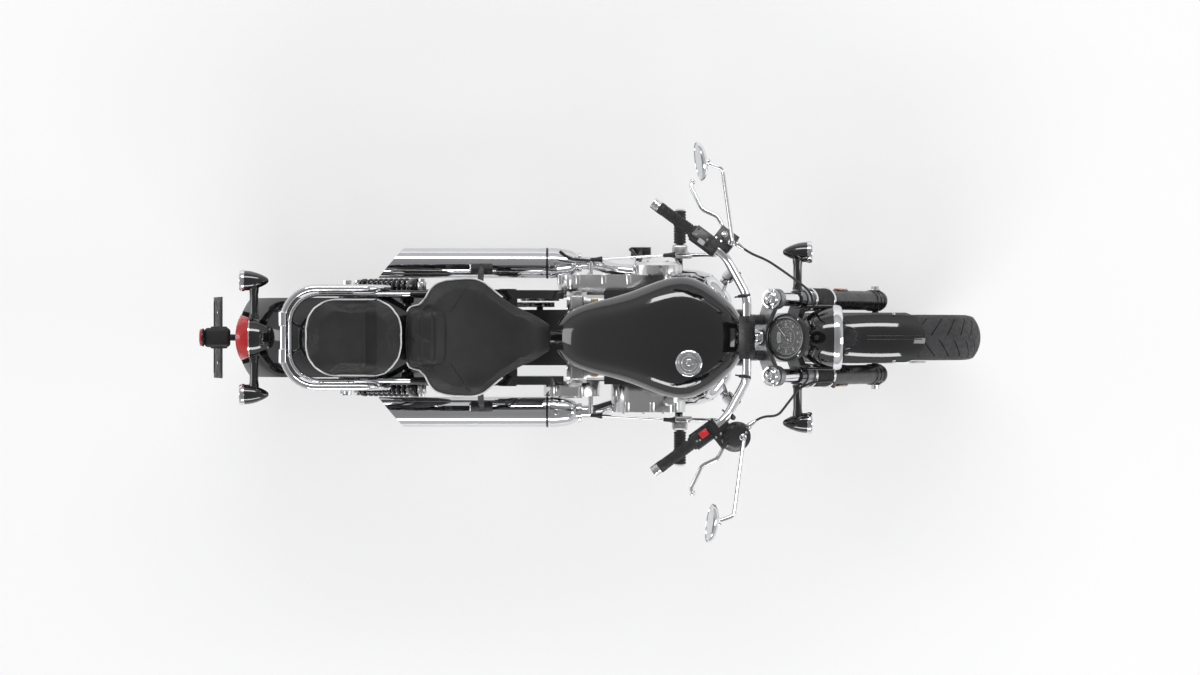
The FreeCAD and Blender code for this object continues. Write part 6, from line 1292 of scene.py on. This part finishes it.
def makeEngineTrim():
    # Bolts of both covers and the head, bosses under the seam, rings, oil filler and plug leads
    size = engineSizes
    rows, seam, domeX, circle = size["rows"], size["seam"], size["domeX"], size["domeBolts"]
    left = [(x, 0.2, z) for x in (-0.075, -0.015, 0.045, 0.100) for z in rows]
    left += [(-0.107, 0.2, seam - 0.025), (-0.107, 0.2, seam + 0.025)]
    for turn in range(0, 360, 60):
        left.append((domeX + circle * math.cos(math.radians(turn)), 0.23, seam + circle * math.sin(math.radians(turn))))
    boltsOn("leftCoverBolts", "engine_covers", left, (0, -1, 0), size["coverBolt"])
    right = [(x, -0.2, z) for x in (0.090, 0.150, 0.210, 0.250) for z in rows]
    right += [(x, -0.2, z) for z in rows for x in (-0.120, -0.050)] + [(0.010, -0.2, rows[1])]
    boltsOn("rightCoverBolts", "engine_covers", right, (0, 1, 0), size["coverBolt"])
    boss = spinPiece("boss", mm(0, -30, 8.5, -30, 9, -2, 8.2, 0, 5, 0, 5, -1.5, 0, -1.5), 24)
    seats = ((0.1905, 1, (-0.102, -0.048, 0.0306, 0.106)), (-0.2265, -1, (0.100, 0.1757, 0.248)), (-0.1785, -1, (-0.125, -0.040)))
    places = [placed((x, y, size["bossTop"]), (0, side, 0)) for y, side, line in seats for x in line]
    settle(repeated("coverBosses", boss, places), "chassis", "polishedAlloy")
    ring = spinPiece("domeRings", mm(30, -0.5, 31, 1.6, 33.5, 1.6, 34.5, -0.5, 40, -0.5, 41, 1.6, 43.5, 1.6, 44.5, -0.5), 64,
            placed((domeX, 0.2285, seam), (0, 1, 0)))
    settle(ring, "chassis", "chrome")
    filler = spinPiece("oilFiller", mm(0, 11.5, 12, 11, 14.5, 9, 15, 6, 16.5, 5, 17, 0, 0, 0), 32)
    spot, normal = touch("engine_covers", (0.225, -0.190, 0.8))
    if spot:
        filler.data.transform(placed(spot, normal))
        settle(filler, "chassis", "castAlloy")
    plate = spinPiece("coverBadgeRim", mm(34.5, 0, 35.2, 2.2, 37.5, 2.2, 38.2, 0, 34.5, 0), 56,
            placed((-0.072, -0.1815, seam), (0, -1, 0)))
    settle(plate, "chassis", "chrome")
    boltsOn("headBolts", "cylinder_head", [(x, y, 0.66) for x in (0.075, 0.225) for y in (0.040, -0.040, 0.085, -0.085)],
            (0, 0, -1), size["headBolt"], hexBolt)
    leads = []
    for side in (1, -1):
        start = Vector((0.150, side * 0.100, 0.655))
        spots = [start, start + Vector((0, side * 0.020, 0.030)), (0.110, side * 0.125, 0.672), (0.02, side * 0.085, 0.668),
                 (-0.05, side * 0.045, 0.640)]
        leads.append(tubePiece("lead", spots, 0.0035, 5))
        leads.append(rodPiece("cap", start - Vector((0, side * 0.008, 0.026)), start + Vector((0, side * 0.006, 0.012)),
                0.0090, 0.002))
    settle(joined("plugLeads", *leads), "chassis", "rubber")


def makeThrottleTrim():
    parts = []
    for x in (-0.0485, -0.0765):
        band = spinPiece("band", mm(30.8, -4, 33, -4, 33.4, -3, 33.4, 3, 33, 4, 30.8, 4, 30.8, -4), 40,
                placed((x, 0.104, 0.592), (1, 0, 0)))
        parts.append(band)
    screw = rodPiece("screw", (-0.0485, 0.092, 0.626), (-0.0485, 0.118, 0.626), 0.0032)
    cap = blockPiece("cap", (0.040, 0.044, 0.018), 0.006, 3, moved(-0.0500, 0.104, 0.6225))
    linkage = rodPiece("wheel", (-0.050, 0.128, 0.600), (-0.050, 0.138, 0.600), 0.016, 0.002, 32)
    settle(withTwin(joined("throttleBands", *parts, screw)), "chassis", "boltSteel")
    settle(withTwin(joined("throttleCaps", cap, linkage)), "chassis", "castAlloy")
    stub = blockPiece("injectorBlocks", (0.022, 0.026, 0.020), 0.004, 2, moved(0.002, 0.104, 0.6215))
    settle(withTwin(stub), "chassis", "heatAlloy")


silencerSizes = {"y": 0.227, "z": 0.300, "front": -0.049, "shoulder": -0.140, "rear": -0.664, "cone": 0.025, "radius": 0.0455,
        "wall": 0.0028,
                 "cutInner": (-0.658, 0.1815), "cutOuter": (-0.580, 0.2725)}


def makeSilencers():
    # A tube cut off aslant, its front cover, collar and clamp, and the baffle inside
    size = silencerSizes
    y, z, radius = size["y"], size["z"], size["radius"]
    length, bend = size["front"] - size["rear"], size["front"] - size["shoulder"]
    hollow = radius - size["wall"]
    outline = [(0, 0), (size["cone"], 0), (radius, bend), (radius, length), (hollow, length), (hollow, bend + 0.010),
            (0, bend + 0.010)]
    shell = spinPiece("silencerTubes", outline, 72, placed((size["front"], y, z), (-1, 0, 0)))
    inner, outer = Vector((*size["cutInner"], 0)), Vector((*size["cutOuter"], 0))
    along = (outer - inner).normalized()
    away = Vector((-along.y, along.x, 0))
    dropSelection()
    bpy.ops.mesh.primitive_cube_add(size=0.4)
    tool = bpy.context.object
    turn = Matrix(((along.x, away.x, 0, 0), (along.y, away.y, 0, 0), (0, 0, 1, 0), (0, 0, 0, 1)))
    tool.data.transform(Matrix.Translation((inner + outer) / 2 + away * 0.2 + Vector((0, 0, z))) @ turn)
    applyModifier(shell, "BOOLEAN", object=tool, operation="DIFFERENCE", solver="EXACT")
    bpy.data.objects.remove(tool)
    settle(withTwin(shell), "chassis", "chrome", ("silencers",))
    collar = spinPiece("silencerCollars", mm(45.8, 0, 47.4, 0.8, 47.4, 6.2, 45.8, 7, 44, 7, 44, 0, 45.8, 0), 56,
            placed((-0.146, y, z), (1, 0, 0)))
    settle(withTwin(collar), "chassis", "satinPlastic")
    clamp = spinPiece("pipeClamps", mm(19.8, 0, 26.2, 0, 26.8, 1, 26.8, 11, 26.2, 12, 19.8, 12, 19.8, 0), 40)
    ear = blockPiece("ear", (0.014, 0.010, 0.012), 0.002, 2, moved(0.030, 0, 0.006))
    clamp = joined("pipeClamps", clamp, ear)
    clamp.data.transform(placed((-0.0495, y, z), (1, 0, 0), math.radians(40)))
    settle(withTwin(clamp), "chassis", "chrome")
    baffle = spinPiece("silencerBaffles", mm(12, 0, 42.4, 0, 42.4, 4, 13, 4, 12, 4, 12, 0), 48)
    core = spinPiece("core", mm(11, 0, 12.8, 0, 12.8, 55, 11, 55, 11, 0), 32)
    baffle = joined("silencerBaffles", baffle, core)
    baffle.data.transform(placed((-0.520, y, z), (-1, 0, 0)))
    settle(withTwin(baffle), "chassis", "engineBlack")
    bolt = hexBolt(0.0065)
    bolt.data.transform(placed((-0.1137, y, z + 0.0448), (0.2, 0, 1)))
    settle(withTwin(bolt), "chassis", "boltSteel")
    cover = mm(26.2, 0, 31, 3, 37.5, 16, 42, 36, 44.8, 58, 46.6, 74, 46.2, 80, 44, 80, 25, 4, 26.2, 0)
    shell = spinPiece("silencerCovers", cover, 56, placed((-0.0535, y, z), (-1, 0, 0)))
    settle(withTwin(shell), "chassis", "chrome")


shockSizes = {"foot": (-0.716, 0.153, 0.378), "top": (-0.512, 0.153, 0.606), "coils": 9, "spring": 0.0212, "wireRadius": 0.0042}


def makeShocks():
    foot, top = Vector(shockSizes["foot"]), Vector(shockSizes["top"])
    length = (top - foot).length
    place = placed(foot, top - foot)
    outline = mm(0, 12, 10, 12, 11.5, 16, 11.5, 24, 24.5, 28, 25, 32, 24.5, 36, 15, 38)
    outline += [(0.0150, length * 0.56), (0.0075, length * 0.565)]
    outline += raised(length, 7.5, -44, 23.5, -43, 25, -40, 25, -18, 22.5, -14, 12, -12, 0, -12)
    body = spinPiece("shockBodies", outline, 40, place)
    settle(withTwin(body), "chassis", "glossBlack", ("rear_shocks",))
    turns, low, high, radius = shockSizes["coils"], 0.041, length - 0.046, shockSizes["spring"]
    spots = []
    for step in range(turns * 12 + 1):
        turn = 2 * math.pi * step / 12
        spots.append((radius * math.cos(turn), radius * math.sin(turn), low + (high - low) * step / (turns * 12)))
    spring = tubePiece("shockSprings", spots, shockSizes["wireRadius"], 3)
    spring.data.transform(place)
    settle(withTwin(spring), "chassis", "frameBlack")
    eyes = []
    for spot in (foot, top):
        eye = spinPiece("eye", mm(10.8, -11, 13.5, -11, 14, -10, 14, 10, 13.5, 11, 10.8, 11, 10.8, -11), 32,
                placed(spot, (0, 1, 0)))
        nut = hexBolt(0.0105)
        nut.data.transform(placed(spot + Vector((0, 0.0115, 0)), (0, 1, 0)))
        eyes += [eye, nut]
    settle(withTwin(joined("shockEyes", *eyes)), "chassis", "boltSteel")


chainSizes = {"drive": (-0.165, 0, 0.322), "wheel": (-0.7525, 0, 0.326), "small": 0.040, "large": 0.098, "pitch": 0.015875,
              "side": 0.100, "plate": 0.0066, "wall": 0.0019, "roller": 0.0048, "width": 0.0100}


def onSprocket(centre, turn, radius):
    return centre + Vector((math.cos(turn), 0, math.sin(turn))) * radius


def makeChain():
    # Links round both sprockets, outer and inner plates by turns
    size = chainSizes
    drive, wheel = Vector(size["drive"]), Vector(size["wheel"])
    small, large, pitch = size["small"], size["large"], size["pitch"]
    span = wheel - drive
    distance, slope = span.length, math.atan2(span.z, span.x)
    tilt = math.asin((large - small) / distance)
    run = math.sqrt(distance ** 2 - (large - small) ** 2)
    frontWrap, rearWrap = (math.pi - 2 * tilt) * small, (math.pi + 2 * tilt) * large
    total = 2 * run + frontWrap + rearWrap
    count = int(round(total / pitch / 2)) * 2
    lower, upper = slope + math.pi / 2 - tilt, slope - math.pi / 2 + tilt

    def at(along):
        # Upper run back, round the wheel, lower run forward, round the drive sprocket
        along %= total
        if along < run:
            return onSprocket(drive, upper, small).lerp(onSprocket(wheel, upper, large), along / run)
        along -= run
        if along < rearWrap:
            return onSprocket(wheel, upper + along / large, large)
        along -= rearWrap
        if along < run:
            return onSprocket(wheel, lower, large).lerp(onSprocket(drive, lower, small), along / run)
        return onSprocket(drive, lower + (along - run) / small, small)

    def drum(radius, depth, x=0):
        dropSelection()
        bpy.ops.mesh.primitive_cylinder_add(vertices=8, radius=radius, depth=depth, location=(x, 0, 0),
                rotation=(math.pi / 2, 0, 0))
        bake(bpy.context.object)
        return bpy.context.object

    def link(reach):
        plates = []
        for side in (1, -1):
            plate = drum(size["plate"], size["wall"])
            plate.data.transform(moved(0, side * reach, 0) @ Matrix.Diagonal((2.0, 1, 1, 1)))
            plates.append(plate)
        return joined("link", *plates, drum(size["roller"], size["width"], pitch / 2))

    outer, inner = [], []
    for number in range(count):
        start, end = at(total * number / count), at(total * (number + 1) / count)
        aim = (end - start).normalized()
        place = Matrix.Translation((start + end) / 2 + Vector((0, size["side"], 0))) @ Matrix.Rotation(-math.atan2(aim.z,
                aim.x), 4, "Y")
        (outer if number % 2 else inner).append(place)
    piece = joined("driveChain", repeated("outerLinks", link(0.0062), outer), repeated("innerLinks", link(0.0042), inner))
    settle(piece, "chassis", "sawnSteel", ("drive_chain",))


pegSizes = {"x": 0.262, "y": 0.286, "z": 0.322, "length": 0.0995, "rings": 11, "ringStep": 0.0082,
        "pedal": (0.380, 0.268, 0.330)}


def makeFootControls():
    pegX, pegZ = pegSizes["x"], pegSizes["z"]
    outline = mm(0, 0, 12, 0, 17.2, 1, 18.8, 3)
    for number in range(pegSizes["rings"]):
        foot = 0.008 + number * pegSizes["ringStep"]
        outline += [(0.0188, foot), (0.0160, foot + 0.0008), (0.0160, foot + 0.0022), (0.0188, foot + 0.003)]
    outline += [(0.0188, 0.0985), (0.0165, 0.1000), (0, 0.1000)]
    peg = spinPiece("footPegs", outline, 32, placed((pegX, pegSizes["y"], pegZ), (0, 1, 0)))
    settle(withTwin(peg), "chassis", "rubber", ("foot_controls",))
    end = spinPiece("pegEnds", mm(0, 7.8, 8, 7.4, 13.5, 5.6, 16.5, 3, 17, -1, 0, -1), 36,
            placed((pegX, pegSizes["y"] + pegSizes["length"], pegZ), (0, 1, 0)))
    settle(withTwin(end), "chassis", "chrome")
    mount = blockPiece("mount", (0.046, 0.030, 0.036), 0.007, 3, moved(0.262, 0.268, 0.3215))
    slotted = blockPiece("slot", (0.060, 0.012, 0.030), 0.005, 3, moved(0.270, 0.247, 0.318))
    pin = rodPiece("pin", (0.262, 0.262, 0.298), (0.262, 0.262, 0.346), 0.0062)
    settle(withTwin(joined("pegMounts", mount, slotted, pin)), "chassis", "castAlloy")
    spots = bentSpots([(0.274, 0.252, 0.303), (0.380, 0.252, 0.330), (0.380, 0.300, 0.330)], 0.024)
    arm = tubePiece("pedalArms", spots, 0.0062, 7)
    hub = spinPiece("hub", mm(0, -9, 12.5, -9, 13.5, -8, 13.5, 8, 12.5, 9, 0, 9), 28, placed((0.278, 0.252, 0.303), (0, 1, 0)))
    settle(withTwin(joined("pedalArms", arm, hub)), "chassis", "boltSteel")
    pad = spinPiece("pedalRubbers", mm(0, 0, 10.2, 0, 11.2, 1, 11.2, 6, 9.8, 7, 9.8, 9, 11.2, 10, 11.2, 16, 9.8, 17, 9.8, 19,
            11.2, 20, 11.2, 26, 9.8, 27, 9.8, 29, 11.2, 30, 11.2, 37, 9.5, 38, 0, 38), 24)
    pad.data.transform(placed(pegSizes["pedal"], (0, 1, 0)))
    settle(withTwin(pad), "chassis", "rubber")
    link = rodPiece("controlRods", (0.2497, 0.252, 0.350), (-0.010, 0.236, 0.350), 0.0042, 0.0008, 16)
    settle(withTwin(link), "chassis", "chrome")
    joints = []
    for spot, aim in (((0.2480, 0.2518, 0.350), (-1, -0.06, 0)), ((0.026, 0.2382, 0.350), (-1, -0.06, 0))):
        boot = spinPiece("boot", mm(0, 0, 8.2, 0, 8.8, 4, 7.5, 12, 6.2, 20, 6, 34, 4.8, 37, 0, 37), 20, placed(spot, aim))
        joints.append(boot)
    settle(withTwin(joined("rodBoots", *joints)), "chassis", "rubber")
    lever = tubePiece("shiftCrank", [(-0.010, 0.233, 0.350), (-0.040, 0.236, 0.372), (-0.078, 0.238, 0.380),
            (-0.104, 0.262, 0.384)], 0.0050, 6)
    settle(lever, "chassis", "frameBlack")


def makeRearPegTrim():
    outline = [(0, 0.0), (0.0110, 0.0), (0.0140, 0.002)]
    for number in range(6):
        foot = 0.007 + number * 0.0088
        outline += [(0.0147, foot), (0.0147, foot + 0.0042), (0.0128, foot + 0.0050), (0.0128, foot + 0.0076)]
    outline += [(0.0142, 0.0605), (0.0115, 0.0640), (0, 0.0640)]
    peg = spinPiece("rearPegRubbers", outline, 28, placed((-0.372, 0.208, 0.388), (1, 0, 0)))
    settle(withTwin(peg), "chassis", "rubber")
    cap = spinPiece("rearPegEnds", mm(0, 5.5, 7, 5.2, 11.5, 3.6, 13.2, 1, 13.2, -2, 0, -2), 28,
            placed((-0.3725, 0.208, 0.388), (-1, 0, 0)))
    settle(withTwin(cap), "chassis", "chrome")


hornSizes = {"front": (0.426, 0.205, 0.600), "length": 0.062, "stay": (0.3840, 0.138, 0.600), "stayRadius": 0.0058}


def makeHorns():
    aim, front = Vector((1, 1, 0)).normalized(), Vector(hornSizes["front"])
    place = placed(front - aim * hornSizes["length"], aim)
    shell = spinPiece("hornCovers", mm(0, 0, 10, 0, 12, 2, 12, 12, 16.5, 15, 18, 20, 18, 38, 19.6, 43, 20, 48, 20, 58, 19.2,
            60.5, 17.2, 61, 16.5, 58, 0, 58), 40)
    shell.data.transform(place)
    stay = rodPiece("stay", hornSizes["stay"], front - aim * 0.040, hornSizes["stayRadius"])
    settle(withTwin(joined("hornCovers", shell, stay)), "chassis", "chrome", ("horns",))
    disc = spinPiece("hornGrilles", mm(0, 61.2, 3, 61.2, 3.6, 60, 6, 60, 6.6, 61.2, 9, 61.2, 9.6, 60, 12, 60, 12.6, 61.2, 15,
            61.2, 15.8, 60.4, 16.2, 58.5, 0, 58.5), 40)
    disc.data.transform(place)
    settle(withTwin(disc), "chassis", "boltSteel")


def makeRailTrim():
    block = blockPiece("railBlocks", (0.106, 0.014, 0.020), 0.005, 3, moved(-0.7575, 0.1355, 0.7290))
    screws = [placed((x, 0.1355, 0.7385), (0, 0, 1)) for x in (-0.795, -0.720)]
    settle(withTwin(block), "chassis", "polishedAlloy")
    settle(withTwin(repeated("railScrews", capScrew(0.0045), screws)), "chassis", "boltSteel")
    bump = rodPiece("railBumps", (-0.9125, 0.031, 0.742), (-0.9125, 0.078, 0.742), 0.0135, 0.005, 32)
    settle(withTwin(bump), "chassis", "chrome")
    hook = tubePiece("helmetHook", [(-0.744, -0.1500, 0.700), (-0.744, -0.166, 0.700), (-0.742, -0.170, 0.690),
            (-0.728, -0.170, 0.680)], 0.0034, 6)
    barrel = rodPiece("barrel", (-0.742, -0.1495, 0.703), (-0.718, -0.1495, 0.703), 0.0095, 0.002)
    settle(joined("helmetHook", hook, barrel), "chassis", "chrome")


tailSizes = {"seam": -1.0225, "trimFront": -1.0190, "lensFoot": 0.584, "hood": (-1.125, 0, 0.548), "plate": (-1.132, 0, 0.456),
             "plateTilt": 14, "reflector": (-1.1645, 0, 0.548)}


def tailSkin(name, swellBy, cuts, finish):
    # The lamp's housing again, a little prouder, kept on one side of each cut
    skin = copyPiece(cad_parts["tail_lamp"], lean.inverted(), name)
    choose(skin)
    editAll()
    bpy.ops.mesh.remove_doubles(threshold=0.0001)
    bpy.ops.transform.shrink_fatten(value=swellBy)
    for spot, facing, dropped in cuts:
        bpy.ops.mesh.select_all(action="SELECT")
        bpy.ops.mesh.bisect(plane_co=spot, plane_no=facing, use_fill=True, **{dropped: True})
    bpy.ops.object.mode_set(mode="OBJECT")
    settle(skin, "chassis", finish, smooth=45)


def makeTail():
    size = tailSizes
    seam, ahead = (size["seam"], 0, 0), (1, 0, 0)
    lensCuts = [(seam, ahead, "clear_outer"), ((0, 0, size["lensFoot"]), (0, 0, 1), "clear_inner")]
    tailSkin("tailLens", 0.0016, lensCuts, "redLens")
    trimCuts = [(seam, ahead, "clear_inner"), ((size["trimFront"], 0, 0), ahead, "clear_outer")]
    tailSkin("tailTrim", 0.0024, trimCuts, "chrome")
    hood, plate = Vector(size["hood"]), Matrix.Translation(size["plate"]) @ turned(size["plateTilt"], "Y")
    panel = blockPiece("panel", (0.003, 0.244, 0.170), 0.0012, 2)
    rim = blockPiece("rim", (0.0052, 0.216, 0.006), 0.0015, 2, moved(-0.001, 0, 0.072))
    foot = blockPiece("foot", (0.0052, 0.216, 0.006), 0.0015, 2, moved(-0.001, 0, -0.072))
    panel = joined("panel", panel, rim, foot)
    panel.data.transform(plate)
    cover = blockPiece("cover", (0.078, 0.058, 0.026), 0.0115, 5, Matrix.Translation(hood))
    lip = blockPiece("lip", (0.050, 0.066, 0.008), 0.0035, 3, Matrix.Translation(hood + Vector((0.004, 0, -0.010))))
    arm = tubePiece("arm", bentSpots([(-1.060, 0, 0.536), (-1.085, 0, 0.545), (-1.115, 0, 0.548)], 0.02), 0.0095, 7)
    settle(joined("plateCarrier", panel, cover, lip, arm), "chassis", "moulded", ("plate_holder",), 40)
    bolts = [plate @ placed((-0.0015, y, 0.02), (-1, 0, 0)) for y in (0.075, -0.075)]
    settle(repeated("plateBolts", capScrew(0.0050), bolts), "chassis", "boltSteel")
    cup = spinPiece("reflectorCup", mm(0, 0, 24, 0, 27, 2, 27, 5.2, 25.8, 6.4, 0, 6.4), 48,
            placed(size["reflector"], (-1, 0, 0)))
    settle(cup, "chassis", "satinPlastic", ("rear_reflector",))
    glass = spinPiece("rearReflector", mm(0, 13.2, 19, 13.1, 23.6, 12.4, 25.3, 10.8, 25.7, 6.2, 0, 6), 48,
            placed(size["reflector"], (-1, 0, 0)))
    settle(glass, "chassis", "redLens")


def makeRunningTrim():
    # Valve stems, axle ends, calliper bolts and calliper caps
    for name, hub, seat, body in (("front", frontHub, 0.192, "front_wheel"), ("rear", rearHub, 0.180, "rear_wheel")):
        stem = rodPiece(name + "Valve", hub + Vector((0.02, 0, seat - 0.030)), hub + Vector((0.02, 0, seat + 0.004)), 0.0042,
                0.0012, 16)
        cap = rodPiece("cap", hub + Vector((0.02, 0, seat - 0.042)), hub + Vector((0.02, 0, seat - 0.029)), 0.0052, 0.0012, 16)
        settle(joined(name + "Valve", stem, cap), body, "rubber")
    nut = hexBolt(0.0160)
    nut.data.transform(placed(rearHub + Vector((0, 0.1585, 0)), (0, 1, 0)))
    settle(withTwin(nut), "chassis", "chrome").name = "rearAxleNuts"
    angle = math.radians(50)
    reach, half = 0.134, 0.034
    middle = Vector((-reach * math.sin(angle), 0, reach * math.cos(angle)))
    along = Vector((math.cos(angle), 0, math.sin(angle)))
    bolts = [fork @ placed(middle + along * shift + Vector((0, -0.1005, 0)), (0, -1, 0)) for shift in (half, -half)]
    settle(repeated("caliperBolts", capScrew(0.0060), bolts), "steering", "boltSteel")
    pistons = [fork @ placed(middle + along * shift + Vector((0, -0.0985, 0)), (0, -1, 0)) for shift in (0.016, -0.016)]
    cap = spinPiece("caliperCaps", mm(0, 3, 10, 2.8, 12.8, 1.4, 13.4, -2, 0, -2), 32)
    settle(repeated("caliperCaps", cap, pistons), "steering", "castAlloy")


makeGuardTrim()
makeFiller()
makeEngineTrim()
makeThrottleTrim()
makeSilencers()
print("engine and exhaust dressed")
makeShocks()
makeChain()
makeFootControls()
makeRearPegTrim()
makeHorns()
makeRailTrim()
makeTail()
makeRunningTrim()
print("running gear and tail dressed")
for castName in castSizes:
    makeRounded(castName)
print("castings rounded")
